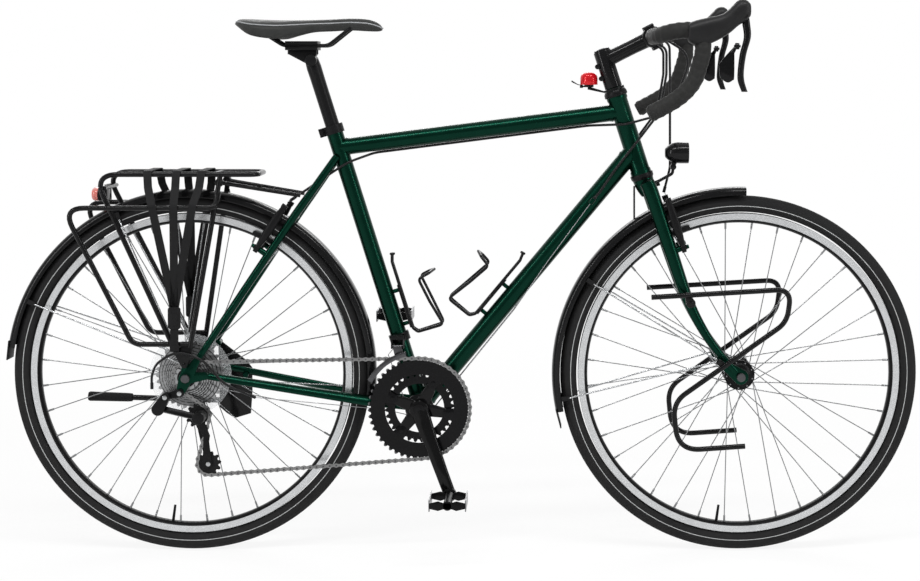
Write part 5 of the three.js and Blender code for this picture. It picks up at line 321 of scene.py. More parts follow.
def flowing(points, steps=8):
    """A smooth path that passes through every point."""
    path = []
    last = len(points) - 1
    for i in range(last):
        p0, p1 = points[max(i - 1, 0)], points[i]
        p2, p3 = points[i + 1], points[min(i + 2, last)]
        for k in range(steps):
            t = k / steps
            path.append(0.5 * (2 * p1 + (p2 - p0) * t + (2 * p0 - 5 * p1 + 4 * p2 - p3) * t**2
                               + (3 * p1 - p0 - 3 * p2 + p3) * t**3))
    path.append(points[-1].copy())
    return path


def toothed(centre, teeth, turn=0.0, rise=1.9, depth=4.0):
    """A sprocket's outline: a rounded gap and a blunt tooth at each pitch."""
    tip = pitch_radius(teeth) + rise
    root = pitch_radius(teeth) - depth
    middle = pitch_radius(teeth)
    step = 360 / teeth
    points = []
    for i in range(teeth):
        base = turn + i * step
        for share, radius in ((0, root), (0.17, root + 0.8), (0.27, middle), (0.43, tip), (0.57, tip),
                              (0.73, middle), (0.83, root + 0.8)):
            points.append(polar(centre, radius, base + share * step))
    return points


def joined(bm, part):
    """Adds another bmesh to this one, and frees it."""
    mesh = bpy.data.meshes.new("part")
    part.to_mesh(mesh)
    part.free()
    bm.from_mesh(mesh)
    bpy.data.meshes.remove(mesh)


def mirrored(bm):
    """Adds the other side's copy of everything, mirrored in the middle plane."""
    whole = bm.verts[:] + bm.edges[:] + bm.faces[:]
    made = bmesh.ops.duplicate(bm, geom=whole)["geom"]
    verts = [part for part in made if isinstance(part, bmesh.types.BMVert)]
    bmesh.ops.scale(bm, verts=verts, vec=(1, -1, 1))
    faces = [part for part in made if isinstance(part, bmesh.types.BMFace)]
    bmesh.ops.reverse_faces(bm, faces=faces)


def set_on(bm, side):
    """Leaves a left-hand piece where it is, and moves a right-hand one across the middle plane."""
    if side == "right":
        bmesh.ops.scale(bm, verts=bm.verts, vec=(1, -1, 1))
        bmesh.ops.reverse_faces(bm, faces=bm.faces)


LOOKS = {}


def make(name, bm, body, slot, look=None, nodes=(), smooth=38.0, levels=0):
    """Turns a bmesh into a finished piece that rides on a body of the model."""
    bmesh.ops.remove_doubles(bm, verts=bm.verts, dist=1e-6)
    bmesh.ops.recalc_face_normals(bm, faces=bm.faces)
    mesh = bpy.data.meshes.new(name)
    bm.to_mesh(mesh)
    bm.free()
    mesh.shade_smooth()
    mesh.set_sharp_from_angle(angle=math.radians(smooth))
    piece = bpy.data.objects.new(name, mesh)
    bpy.context.scene.collection.objects.link(piece)
    mesh.materials.append(LOOKS[look or slot])
    if levels:
        rounder = piece.modifiers.new("rounder", "SUBSURF")
        rounder.levels = rounder.render_levels = levels
    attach(piece, body)
    if nodes:
        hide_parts(*nodes)
    return piece


# Colours and sizes that a user may change


def colour_choice(label, about, value):
    return bpy.props.FloatVectorProperty(
        name=label, description=about, default=value, size=3, min=0, max=1, subtype="COLOR",
    )


def size_choice(label, about, millimetres):
    return bpy.props.FloatProperty(
        name=label, description=about, default=millimetres / 1000, min=0, subtype="DISTANCE", unit="LENGTH",
    )


class BicycleColours(bpy.types.PropertyGroup):
    """The colours of the painted, taped and printed-black parts"""

    paint: colour_choice("Frame paint", "Colour of the frame and fork", (0.0012, 0.026, 0.015))
    bell: colour_choice("Bell", "Colour of the bell's dome", (0.55, 0.006, 0.012))
    tape: colour_choice("Bar tape", "Colour of the tape on the handlebar", (0.022, 0.022, 0.0215))
    saddle: colour_choice("Saddle", "Colour of the saddle's cover", (0.026, 0.027, 0.026))
    piping: colour_choice("Piping", "Colour of the line round the saddle", (0.30, 0.31, 0.32))
    tyre_line: colour_choice("Tyre line", "Colour of the light line on each tyre wall", (0.46, 0.47, 0.47))
    backdrop: colour_choice("Backdrop", "Colour of the floor and wall", (0.93, 0.93, 0.93))


class BicycleSizes(bpy.types.PropertyGroup):
    """The sizes of the fine details"""

    spoke: size_choice("Spoke thickness", "Diameter of each spoke", 2.0)
    tread: size_choice("Tread depth", "Depth of the pattern pressed into the tyres", 0.5)
    wrap: size_choice("Tape wrap", "Distance between two turns of the bar tape", 15)
    tape_lap: size_choice("Tape lap", "Height of the edge where the tape overlaps", 1.5)
    rod: size_choice("Cage rod", "Diameter of the bottle cages' rod", 5.6)
    housing: size_choice("Housing", "Diameter of the cable housing", 4.8)


# Shader pieces


def add(tree, kind, inputs=None, **settings):
    node = tree.nodes.new("ShaderNode" + kind)
    for key, value in settings.items():
        setattr(node, key, value)
    for key, value in (inputs or {}).items():
        feed(tree, node.inputs[key], value)
    return node


def feed(tree, socket, value):
    """Joins a socket to another one, or sets its value."""
    if isinstance(value, bpy.types.NodeSocket):
        tree.links.new(value, socket)
    elif socket.type == "RGBA" and len(value) == 3:
        socket.default_value = (*value, 1)
    else:
        socket.default_value = value


def blended(tree, share, first, second):
    """A colour between two."""
    node = add(tree, "Mix", data_type="RGBA")
    for index, value in ((0, share), (6, first), (7, second)):
        feed(tree, node.inputs[index], value)
    return node.outputs[2]


def between(tree, share, first, second):
    """A number between two."""
    node = add(tree, "Mix", data_type="FLOAT")
    for index, value in ((0, share), (2, first), (3, second)):
        feed(tree, node.inputs[index], value)
    return node.outputs[0]


def sums(tree, kind, *values):
    node = add(tree, "Math", operation=kind)
    for index, value in enumerate(values):
        feed(tree, node.inputs[index], value)
    return node.outputs[0]


def effect(name, inputs, outputs, build):
    """A shader group with named inputs and outputs, built once."""
    tree = bpy.data.node_groups.new(name, "ShaderNodeTree")
    for label, value in inputs.items():
        socket = tree.interface.new_socket(name=label, in_out="INPUT", socket_type="NodeSocketFloat")
        socket.default_value = value
    for label, kind in outputs.items():
        tree.interface.new_socket(name=label, in_out="OUTPUT", socket_type="NodeSocket" + kind)
    source = tree.nodes.new("NodeGroupInput")
    sink = tree.nodes.new("NodeGroupOutput")
    place = add(tree, "TexCoord").outputs["Object"]
    for label, socket in build(tree, source.outputs, place).items():
        tree.links.new(socket, sink.inputs[label])
    return tree


def grain_nodes(tree, given, place):
    fine = add(tree, "TexNoise", {"Vector": place, "Scale": given["Scale"], "Detail": 3.0, "Roughness": 0.6})
    broad = add(tree, "TexNoise", {"Vector": place, "Scale": 26.0, "Detail": 4.0, "Roughness": 0.62})
    patches = add(tree, "MapRange", {"Value": broad.outputs[0], "From Min": 0.32, "From Max": 0.7})
    return {"Height": fine.outputs[0], "Patches": patches.outputs[0]}


def streak_nodes(tree, given, place):
    stretched = add(tree, "Mapping", {"Vector": place, "Scale": (150.0, 1400.0, 150.0)})
    lines = add(tree, "TexNoise", {"Vector": stretched.outputs[0], "Scale": 1.0, "Detail": 2.0})
    lines_wide = add(tree, "MapRange", {"Value": lines.outputs[0], "From Min": 0.3, "From Max": 0.7})
    return {"Height": lines.outputs[0],
            "Streaks": sums(tree, "MULTIPLY", lines_wide.outputs[0], given["Strength"])}


def dust_nodes(tree, given, place):
    apart = add(tree, "SeparateXYZ", {"Vector": place})
    low = add(tree, "MapRange", {"Value": apart.outputs["Z"], "From Min": 0.75, "From Max": 0.02},
              interpolation_type="SMOOTHSTEP")
    spots = add(tree, "TexNoise", {"Vector": place, "Scale": 60.0, "Detail": 6.0, "Roughness": 0.72})
    thick = add(tree, "MapRange", {"Value": spots.outputs[0], "From Min": 0.42, "From Max": 0.78})
    share = sums(tree, "MULTIPLY", low.outputs[0], thick.outputs[0])
    return {"Mask": sums(tree, "MULTIPLY", share, given["Amount"])}


def scuff_nodes(tree, given, place):
    wide = add(tree, "TexNoise", {"Vector": place, "Scale": 34.0, "Detail": 8.0, "Roughness": 0.78})
    thin = add(tree, "TexVoronoi", {"Vector": place, "Scale": given["Scale"]}, feature="DISTANCE_TO_EDGE")
    lines = add(tree, "MapRange", {"Value": thin.outputs["Distance"], "From Min": 0.035, "From Max": 0.0})
    spots = add(tree, "MapRange", {"Value": wide.outputs[0], "From Min": 0.56, "From Max": 0.72})
    share = sums(tree, "MULTIPLY", lines.outputs[0], spots.outputs[0])
    return {"Mask": sums(tree, "MULTIPLY", share, given["Amount"])}


def ring_nodes(tree, given, place):
    apart = add(tree, "SeparateXYZ", {"Vector": place})
    x = sums(tree, "SUBTRACT", apart.outputs["X"], given["Centre X"])
    z = sums(tree, "SUBTRACT", apart.outputs["Z"], given["Centre Z"])
    radius = sums(tree, "SQRT", sums(tree, "ADD", sums(tree, "MULTIPLY", x, x), sums(tree, "MULTIPLY", z, z)))
    inner = sums(tree, "SUBTRACT", radius, given["Inner"])
    outer = sums(tree, "SUBTRACT", given["Outer"], radius)
    edge = sums(tree, "MINIMUM", inner, outer)
    mask = add(tree, "MapRange", {"Value": edge, "From Min": -0.0002, "From Max": 0.0002})
    turn = sums(tree, "ARCTAN2", z, x)
    return {"Mask": mask.outputs[0], "Radius": radius, "Turn": turn}


EFFECTS = {}


def build_effects():
    EFFECTS["grain"] = effect("surface grain", {"Scale": 900.0}, {"Height": "Float", "Patches": "Float"},
                              grain_nodes)
    EFFECTS["streak"] = effect("brushed streaks", {"Strength": 0.3}, {"Height": "Float", "Streaks": "Float"},
                               streak_nodes)
    EFFECTS["dust"] = effect("road dust", {"Amount": 0.2}, {"Mask": "Float"}, dust_nodes)
    EFFECTS["scuff"] = effect("fine scuffs", {"Scale": 90.0, "Amount": 0.4}, {"Mask": "Float"}, scuff_nodes)
    EFFECTS["ring"] = effect(
        "ring about an axle", {"Centre X": 0.0, "Centre Z": 0.0, "Inner": 0.1, "Outer": 0.2},
        {"Mask": "Float", "Radius": "Float", "Turn": "Float"}, ring_nodes,
    )


def effect_in(tree, name, **values):
    """Uses one of the groups in a material and gives its outputs."""
    node = tree.nodes.new("ShaderNodeGroup")
    node.node_tree = EFFECTS[name]
    for label, value in values.items():
        node.inputs[label.replace("_", " ")].default_value = value
    return node.outputs


DUST_COLOUR = (0.045, 0.042, 0.037)


def finish(name, colour, rough, metal=0.0, coat=0.0, grain=900.0, bump=0.06, tint=0.12, dust=0.12, scuff=0.2,
           streaks=0.0, bands=(), clear=0.0, ior=1.5, sheen=0.0, relief=None, coat_rough=0.06, shine=0.0,
           alpha=1.0):
    """A surface with its grain, broad variation, dust, scuffs and any rings of another finish or of painted
    shade.
    """
    material = bpy.data.materials.new(name)
    material.use_nodes = True
    tree = material.node_tree
    shader = tree.nodes["Principled BSDF"]
    fine = effect_in(tree, "grain", Scale=grain)
    shade = tuple(min(1.0, part * (1 + tint) + 0.004 * tint) for part in colour)
    deep = tuple(part * (1 - tint) for part in colour)
    base = blended(tree, fine["Patches"], deep, shade)
    roughness = between(tree, fine["Patches"], max(0.02, rough * 0.88), min(1.0, rough * 1.14))
    metallic = metal
    for x, z, inner, outer, ring_colour, ring_rough, ring_metal in bands:
        mask = effect_in(tree, "ring", Centre_X=x, Centre_Z=z, Inner=inner, Outer=outer)["Mask"]
        base = blended(tree, mask, base, ring_colour)
        roughness = between(tree, mask, roughness, ring_rough)
        metallic = between(tree, mask, metallic, ring_metal)
    if streaks:
        lines = effect_in(tree, "streak", Strength=streaks)["Streaks"]
        base = blended(tree, lines, base, tuple(part * 0.55 for part in colour))
        roughness = sums(tree, "ADD", roughness, sums(tree, "MULTIPLY", lines, 0.25))
    if scuff:
        marks = effect_in(tree, "scuff", Amount=scuff)["Mask"]
        base = blended(tree, marks, base, tuple(min(1.0, part * 1.4 + 0.006) for part in colour))
        roughness = between(tree, marks, roughness, min(1.0, rough + 0.25))
    if dust:
        film = effect_in(tree, "dust", Amount=dust)["Mask"]
        base = blended(tree, film, base, DUST_COLOUR)
        roughness = between(tree, film, roughness, 0.85)
    feed(tree, shader.inputs["Base Color"], base)
    feed(tree, shader.inputs["Roughness"], roughness)
    feed(tree, shader.inputs["Metallic"], metal if clear else metallic)
    shader.inputs["Coat Weight"].default_value = coat
    shader.inputs["Coat Roughness"].default_value = coat_rough
    shader.inputs["Specular IOR Level"].default_value = shine or (0.14 if max(colour) < 0.1 else 0.5)
    shader.inputs["Alpha"].default_value = alpha
    shader.inputs["IOR"].default_value = ior
    shader.inputs["Sheen Weight"].default_value = sheen
    shader.inputs["Transmission Weight"].default_value = clear
    height = fine["Height"]
    depth = 0.0004
    if relief:
        height, depth = relief(tree)
    if bump:
        bumps = add(tree, "Bump", {"Height": height, "Strength": bump, "Distance": depth})
        feed(tree, shader.inputs["Normal"], bumps.outputs[0])
    return material


def tread_relief(x):
    """Rows of slanted blocks round the tyre, from its own turn and width."""

    def relief(tree):
        ring = effect_in(tree, "ring", Centre_X=x, Centre_Z=AXLE_Z / 1000, Inner=0.338, Outer=0.4)
        place = add(tree, "SeparateXYZ", {"Vector": add(tree, "TexCoord").outputs["Object"]})
        slant = sums(tree, "ABSOLUTE", place.outputs["Y"])
        run = sums(tree, "ADD", sums(tree, "MULTIPLY", ring["Turn"], 380 / math.tau),
                   sums(tree, "MULTIPLY", slant, 160.0))
        blocks = sums(tree, "PINGPONG", run, 0.5)
        cut = add(tree, "MapRange", {"Value": blocks, "From Min": 0.09, "From Max": 0.17})
        groove = sums(tree, "PINGPONG", sums(tree, "MULTIPLY", slant, 165.0), 0.5)
        lanes = add(tree, "MapRange", {"Value": groove, "From Min": 0.06, "From Max": 0.12})
        both = sums(tree, "MULTIPLY", cut.outputs[0], lanes.outputs[0])
        tread = between(tree, ring["Mask"], 1.0, both)
        return tread, bpy.context.scene.bicycle_sizes.tread

    return relief


def woven_relief(scale):
    """Small raised spots, as on pressed rubber or synthetic leather."""

    def relief(tree):
        place = add(tree, "TexCoord").outputs["Object"]
        spots = add(tree, "TexVoronoi", {"Vector": place, "Scale": scale}, feature="SMOOTH_F1")
        creases = add(tree, "TexNoise", {"Vector": place, "Scale": scale * 0.3, "Detail": 4.0})
        return sums(tree, "ADD", spots.outputs["Distance"], creases.outputs[0]), 0.0004

    return relief


def build_finishes():
    """Makes every material, by the name of the slot or of the piece that wears it."""
    build_effects()
    colours = bpy.context.scene.bicycle_colours
    rear_x, front_x = placed(REAR).x, placed(FRONT).x
    bracket_x = placed(SHELL).x
    silver = (0.27, 0.275, 0.28)
    steel = (0.32, 0.33, 0.34)
    black = (0.0042, 0.0042, 0.0046)
    # Rings of another finish or of painted shade: place, inner and outer radius, colour, roughness and metal
    tracks = [(x, AXLE_Z / 1000, 0.2985, 0.3108, (0.60, 0.61, 0.62), 0.26, 0.75) for x in (rear_x, front_x)]
    # Thin dark rings just outside the teeth of each smaller sprocket are painted shade, for the shadowed gap
    # before the next larger sprocket
    tips = [pitch_radius(teeth) / 1000 + 0.0019 for teeth in SPROCKET_TEETH[:-1]]
    shadows = [(rear_x, AXLE_Z / 1000, tip, tip + 0.0016, (0.02, 0.02, 0.02), 0.5, 0.6) for tip in tips]
    bright_teeth = (bracket_x, SHELL.z / 1000, 0.0962, 0.12, (0.16, 0.16, 0.165), 0.3, 1.0)
    looks = {
        "frame_paint": dict(colour=tuple(colours.paint), rough=0.27, metal=0.9, coat=0.05, grain=2600.0,
                            bump=0.02, tint=0.08, dust=0.04, scuff=0.05, coat_rough=0.05, shine=0.12),
        "black_aluminium": dict(colour=(0.007, 0.007, 0.0075), rough=0.34, metal=0.2, bump=0.06, grain=1800.0,
                                dust=0.04),
        "saddle_leather": dict(colour=tuple(colours.saddle), rough=0.48, bump=0.35,
                               relief=woven_relief(1100.0), dust=0.03, scuff=0.1, sheen=0.05),
        "piping": dict(colour=tuple(colours.piping), rough=0.55, bump=0.2, grain=1500.0, dust=0.02,
                       scuff=0.0),
        "black_paint": dict(colour=black, rough=0.16, bump=0.03, grain=600.0, dust=0.05, scuff=0.1,
                            shine=0.2),
        "bar_tape": dict(colour=tuple(colours.tape), rough=0.55, bump=0.35, relief=woven_relief(800.0),
                         dust=0.03, scuff=0.08, sheen=0.03, shine=0.1),
        "hood_rubber": dict(colour=(0.010, 0.010, 0.0105), rough=0.42, bump=0.2, relief=woven_relief(1400.0),
                            dust=0.03, shine=0.2),
        "lever_black": dict(colour=(0.004, 0.004, 0.0045), rough=0.12, metal=0.3, bump=0.02, dust=0.02,
                            shine=0.24),
        "bell_red": dict(colour=tuple(colours.bell), rough=0.14, metal=0.2, coat=0.15, bump=0.02, dust=0.01,
                         scuff=0.04, shine=0.3),
        "black_plastic": dict(colour=(0.008, 0.008, 0.0085), rough=0.5, bump=0.14, grain=1600.0, dust=0.1),
        "spoke_steel": dict(colour=silver, rough=0.24, metal=1.0, bump=0.04, grain=1500.0, streaks=0.2,
                            dust=0.05),
        "hub_silver": dict(colour=(0.5, 0.51, 0.52), rough=0.2, metal=1.0, bump=0.03, streaks=0.25,
                           dust=0.05),
        "hub_black": dict(colour=(0.008, 0.008, 0.0085), rough=0.3, metal=0.6, bump=0.05, dust=0.06),
        "rim_black": dict(colour=(0.008, 0.008, 0.0085), rough=0.34, metal=0.5, bump=0.05, dust=0.12,
                          bands=tracks),
        "axle_steel": dict(colour=steel, rough=0.3, metal=1.0, bump=0.05, streaks=0.3, dust=0.1),
        # The sprockets' steel carries the painted shade rings between the sprockets
        "sprocket_steel": dict(colour=(0.36, 0.365, 0.37), rough=0.27, metal=1.0, bump=0.05, streaks=0.25,
                               dust=0.1, bands=shadows),
        "ring_aluminium": dict(colour=(0.0035, 0.0035, 0.004), rough=0.17, metal=0.3, bump=0.02, streaks=0.2,
                               dust=0.03, shine=0.2, bands=[bright_teeth]),
        "crank_black": dict(colour=(0.0028, 0.0028, 0.003), rough=0.1, metal=0.3, bump=0.02, dust=0.02,
                            shine=0.26),
        "dark_steel": dict(colour=(0.10, 0.10, 0.105), rough=0.27, metal=1.0, bump=0.04, streaks=0.2,
                           dust=0.06),
        "pedal_aluminium": dict(colour=(0.26, 0.262, 0.266), rough=0.3, metal=1.0, bump=0.06, streaks=0.2,
                                dust=0.12),
        "chain_steel": dict(colour=(0.24, 0.24, 0.24), rough=0.3, metal=1.0, bump=0.05, dust=0.12),
        "guard_plastic": dict(colour=(0.8, 0.82, 0.84), rough=0.12, alpha=0.16, bump=0.0, dust=0.0, scuff=0.0,
                              tint=0.05),
        "lamp_lens": dict(colour=(0.62, 0.16, 0.13), rough=0.16, coat=0.7, bump=0.25, grain=500.0, dust=0.04,
                          scuff=0.04),
        "lamp_glass": dict(colour=(0.9, 0.92, 0.95), rough=0.05, alpha=0.3, bump=0.0, dust=0.0, scuff=0.0,
                           tint=0.03),
        "lamp_mirror": dict(colour=(0.82, 0.83, 0.84), rough=0.08, metal=1.0, bump=0.02, dust=0.0, scuff=0.0),
        "strap_rubber": dict(colour=(0.009, 0.009, 0.0095), rough=0.6, bump=0.3, grain=1300.0, dust=0.05),
        "cable_housing": dict(colour=(0.008, 0.008, 0.0085), rough=0.3, bump=0.05, dust=0.04, shine=0.2),
        "tyre_rubber": dict(colour=(0.012, 0.012, 0.0125), rough=0.75, bump=0.3, dust=0.1),
        "stay_silver": dict(colour=(0.48, 0.49, 0.50), rough=0.22, metal=1.0, bump=0.03, streaks=0.15,
                            dust=0.05),
        "bare_cable": dict(colour=(0.34, 0.34, 0.35), rough=0.35, metal=1.0, bump=0.05, dust=0.02),
    }
    line = tuple(colours.tyre_line)
    for side, x in (("rear", rear_x), ("front", front_x)):
        looks["tyre_" + side] = dict(
            colour=(0.014, 0.014, 0.0145), rough=0.8, bump=0.9, dust=0.22, scuff=0.1,
            relief=tread_relief(x), bands=[(x, AXLE_Z / 1000, 0.3245, 0.3257, line, 0.5, 0.0)],
        )
    for name, look in looks.items():
        LOOKS[name] = finish(name, **look)


# The stage: camera, light and floor

CAMERA_AT = Vector((0.161, -3.6, 0.932))
CAMERA_PITCH = 3.1


def build_stage():
    scene = bpy.context.scene
    scene.view_settings.view_transform = "Standard"
    lens = bpy.data.cameras.new("camera")
    lens.sensor_width = 36
    lens.lens = 73.1
    lens.shift_x = -0.0924
    lens.shift_y = -0.13
    camera = bpy.data.objects.new("camera", lens)
    camera.location = CAMERA_AT
    camera.rotation_euler = (math.radians(90 - CAMERA_PITCH), 0, 0)
    scene.collection.objects.link(camera)
    scene.camera = camera
    for name, spot, wide, tall, power in (
        ("lamp_above", (0.3, -1.7, 3.5), 4.4, 0.24, 92), ("lamp_left", (-3.3, -2.6, 1.7), 0.26, 2.6, 40),
        ("lamp_right", (3.5, -2.2, 1.7), 0.26, 2.6, 34), ("lamp_behind", (0.2, 3.4, 2.4), 4.0, 0.4, 40),
    ):
        light = bpy.data.lights.new(name, "AREA")
        light.shape = "RECTANGLE"
        light.size = wide
        light.size_y = tall
        light.energy = power
        lamp = bpy.data.objects.new(name, light)
        lamp.location = spot
        lamp.rotation_euler = (Vector((0, 0, 0.5)) - Vector(spot)).to_track_quat("-Z", "Y").to_euler()
        scene.collection.objects.link(lamp)
    build_world(scene)
    build_floor()


def seen_rays(tree):
    """One where a ray comes from the camera, a mirror or a glass, and nought for other rays."""
    path = add(tree, "LightPath").outputs
    first = sums(tree, "MAXIMUM", path["Is Camera Ray"], path["Is Glossy Ray"])
    return sums(tree, "MAXIMUM", first, path["Is Transmission Ray"])


def build_world(scene):
    world = bpy.data.worlds.new("studio")
    world.use_nodes = True
    tree = world.node_tree
    sky = tree.nodes["Background"]
    sky.inputs["Color"].default_value = (1, 1, 1, 1)
    path = add(tree, "LightPath").outputs
    way = add(tree, "SeparateXYZ", {"Vector": add(tree, "TexCoord").outputs["Object"]})
    backdrop = add(tree, "MapRange",
                   {"Value": way.outputs["Y"], "From Min": -0.3, "From Max": 0.3, "To Min": 0.42})
    mirrored_level = between(tree, path["Is Glossy Ray"], 0.42, backdrop.outputs[0])
    seen = sums(tree, "MAXIMUM", path["Is Camera Ray"], path["Is Transmission Ray"])
    feed(tree, sky.inputs["Strength"], between(tree, seen, mirrored_level, 1.0))
    scene.world = world


def build_floor():
    bm = bmesh.new()
    bmesh.ops.create_grid(bm, x_segments=4, y_segments=4, size=14)
    mesh = bpy.data.meshes.new("floor")
    bm.to_mesh(mesh)
    bm.free()
    floor = bpy.data.objects.new("floor", mesh)
    bpy.context.scene.collection.objects.link(floor)
    material = bpy.data.materials.new("studio_floor")
    material.use_nodes = True
    tree = material.node_tree
    shader = tree.nodes["Principled BSDF"]
    fine = add(tree, "TexNoise",
               {"Scale": 3.0, "Detail": 3.0, "Vector": add(tree, "TexCoord").outputs["Object"]})
    tone = tuple(bpy.context.scene.bicycle_colours.backdrop)
    colour = blended(tree, fine.outputs[0], tone, tuple(part * 1.02 for part in tone))
    feed(tree, shader.inputs["Base Color"], colour)
    shader.inputs["Roughness"].default_value = 0.7
    shader.inputs["Specular IOR Level"].default_value = 0.2
    glow = add(tree, "Emission", {"Color": (1, 1, 1, 1), "Strength": 1.0})
    place = add(tree, "SeparateXYZ", {"Vector": add(tree, "TexCoord").outputs["Object"]})
    squares = [sums(tree, "MULTIPLY", place.outputs[axis], place.outputs[axis]) for axis in "XY"]
    away = sums(tree, "SQRT", sums(tree, "ADD", *squares))
    far = add(tree, "MapRange", {"Value": away, "From Min": 1.2, "From Max": 3.0},
              interpolation_type="SMOOTHSTEP")
    share = sums(tree, "MULTIPLY", between(tree, far.outputs[0], 0.86, 1.0), seen_rays(tree))
    mixed = add(tree, "MixShader")
    tree.links.new(share, mixed.inputs[0])
    tree.links.new(shader.outputs[0], mixed.inputs[1])
    tree.links.new(glow.outputs[0], mixed.inputs[2])
    tree.links.new(mixed.outputs[0], tree.nodes["Material Output"].inputs["Surface"])
    mesh.materials.append(material)


# Wheels

RIM_PROFILE = (
    (292.5, -4.2), (294.2, -7.5), (297.2, -11.4), (298.2, -12), (310.5, -12), (311, -11.5), (310.9, -10.7),
    (309.6, -10.2), (305.2, -10), (305.2, 10), (309.6, 10.2), (310.9, 10.7), (311, 11.5), (310.5, 12),
    (298.2, 12), (297.2, 11.4), (294.2, 7.5), (292.5, 4.2),
)


def build_rims():
    for side_name, centre in (("rear", REAR), ("front", FRONT)):
        bm = bmesh.new()
        turned(bm, RIM_PROFILE, centre, steps=160)
        valve = polar(centre, 292, 262)
        barrel(bm, valve, polar(centre, 262, 262), 2.9, 2.4, sides=12, edge=0.4)
        make(side_name + "_rim_hoop", bm, side_name + "_wheel", "rim_black", nodes=(side_name + "_rim",),
             smooth=30)


def build_tyres():
    wall = []
    for i in range(25):
        turn = math.radians(-142 + 284 * i / 24)
        wall.append((327.4 + 17.6 * math.cos(turn) * (1 if math.cos(turn) > 0 else 0.98),
                     17.5 * math.sin(turn)))
    wall = [(max(311.4, radius), y) for radius, y in wall]
    for side_name, centre in (("rear", REAR), ("front", FRONT)):
        bm = bmesh.new()
        turned(bm, wall, centre, steps=160)
        make(side_name + "_tyre_round", bm, side_name + "_wheel", "tyre_rubber", "tyre_" + side_name,
             nodes=(side_name + "_tyre",), smooth=50)


def lace(bm, centre, flange, hole, phase, size):
    """One side's spokes, crossing three others, with a head at the hub and a nipple at the rim."""
    sign = 1 if flange > 0 else -1
    for i in range(18):
        lead = 1 if i % 2 == 0 else -1
        inboard = flange - sign * lead * 1.2
        start = polar(centre, hole, phase + i * 20, inboard)
        end = polar(centre, 293, phase + i * 20 + lead * 60, sign * 2.4)
        barrel(bm, start, end, size / 2, sides=8)
        barrel(bm, start.lerp(end, 0.955), end, 1.9, 2.1, sides=8)
        crosswise(bm, start, inboard - sign * 2.6, inboard + sign * 2.6, 1.5, sides=8)


def build_spokes():
    size = bpy.context.scene.bicycle_sizes.spoke * 1000
    for side_name, centre, flanges, hole in (
        ("rear", REAR, (-17, 33), 19.5), ("front", FRONT, (-29, 29), 25),
    ):
        bm = bmesh.new()
        for flange, phase in zip(flanges, (5, 15)):
            lace(bm, centre, flange, hole, phase, size)
        make(side_name + "_spokes", bm, side_name + "_wheel", "spoke_steel", nodes=(side_name + "_hub",),
             smooth=50)


REAR_HUB = (
    (5.7, -21.6), (12, -21.6), (13, -20.6), (19, -19.7), (22.6, -19.2), (23, -18.7), (23, -15.4),
    (22.6, -14.9), (16, -14.2), (12.8, -12.2), (11.4, -7), (11, 0), (11, 16), (11.6, 23), (13, 28.4),
    (16, 30.2), (22.6, 30.9), (23, 31.4), (23, 34.7), (22.6, 35.2), (16.5, 36), (12.4, 38.4), (10.6, 44),
    (10, 52), (10, 61), (9.2, 62), (5.7, 62),
)
FRONT_HUB = (
    (5.7, -44), (10, -44), (11, -43), (11.8, -39), (17, -36.4), (22.5, -34.6), (24, -33), (24.6, -31.4),
    (28.6, -31), (29, -30.6), (29, -27.4), (28.6, -27), (24.8, -26.6), (24, -24.6), (23.7, -8), (23.7, 8),
    (24, 24.6), (24.8, 26.6), (28.6, 27), (29, 27.4), (29, 30.6), (28.6, 31), (24.6, 31.4), (24, 33),
    (22.5, 34.6), (17, 36.4), (11.8, 39), (11, 43), (10, 44), (5.7, 44),
)


def build_hubs():
    bm = bmesh.new()
    turned(bm, REAR_HUB, REAR, steps=64)
    make("rear_hub_shell", bm, "rear_wheel", "spoke_steel", "hub_silver", smooth=35)
    bm = bmesh.new()
    turned(bm, FRONT_HUB, FRONT, steps=64)
    make("front_hub_shell", bm, "front_wheel", "spoke_steel", "hub_black", smooth=35)
    bm = bmesh.new()
    profile = [(12.3, -22.2), (30, -21.9), (60, -21.2), (78, -20.9), (79, -20.4), (78, -19.6), (60, -20),
               (30, -20.7), (12.3, -21)]
    turned(bm, profile, REAR, steps=96)
    make("spoke_guard", bm, "rear_wheel", "guard_plastic", smooth=35)


def axle_profile(face, nut_low, nut_high, half):
    """A skewer's outline, with its two ends outside the dropouts and its nuts inside them."""
    left = [(0, face + 7), (7.2, face + 7), (8.4, face + 5.6), (8.4, face + GAP), (5, face + GAP), (5, half)]
    inner = [(9, half), (9, nut_high), (5, nut_high)]
    other = [(5, nut_low), (9, nut_low), (9, -half), (5, -half), (5, -face - GAP), (8.4, -face - GAP),
             (8.4, -face - 5.6), (7.2, -face - 7), (0, -face - 7)]
    return left + inner + other


def build_axles():
    for name, centre, body, face, low, high, half in (
        ("rear", REAR, "frame", 72.8, -66.9, 62.6, 67.5), ("front", FRONT, "steering", 55.3, -44.6, 44.6, 50),
    ):
        bm = bmesh.new()
        turned(bm, axle_profile(face, low, high, half), centre, steps=40, closed=False)
        arm = hulled([(from_point(centre, 3, 0), 4.2), (from_point(centre, -44, 14), 5.4)])
        plate(bm, arm, face + 7.6, face + 12, edge=1.2)
        make(name + "_skewer", bm, body, "axle_steel", "dark_steel", nodes=(name + "_axle",), smooth=35)


# Frame and fork


def welded(bm, tube_end, direction, radius, sides=40):
    """A small raised ring where a tube meets another, as a smooth weld."""
    ring = []
    for i in range(5):
        share = i / 4
        ring.append(tube_end + direction * (share * 7))
    swept(bm, ring, [radius + 1.6, radius + 1.3, radius + 0.8, radius + 0.35, radius + 0.02], sides=sides)


SEATSTAY = (seat(508, -8, 15), from_rear(197, 297, 34), from_rear(22, 36, 66))
CHAINSTAY = (at(-8, 24, 285), at(-70, 27.3, 292), at(-108, 33, 297), from_rear(36, 5, 66))
STAY_UP = (beside(SEATSTAY[1], 0) - beside(SEATSTAY[2], 0)).normalized()
STAY_BACK = Vector((-STAY_UP.z, 0, STAY_UP.x))
EYELET_REAR = from_rear(-1, 27)
HANGER = from_rear(-10.7, -27.4)


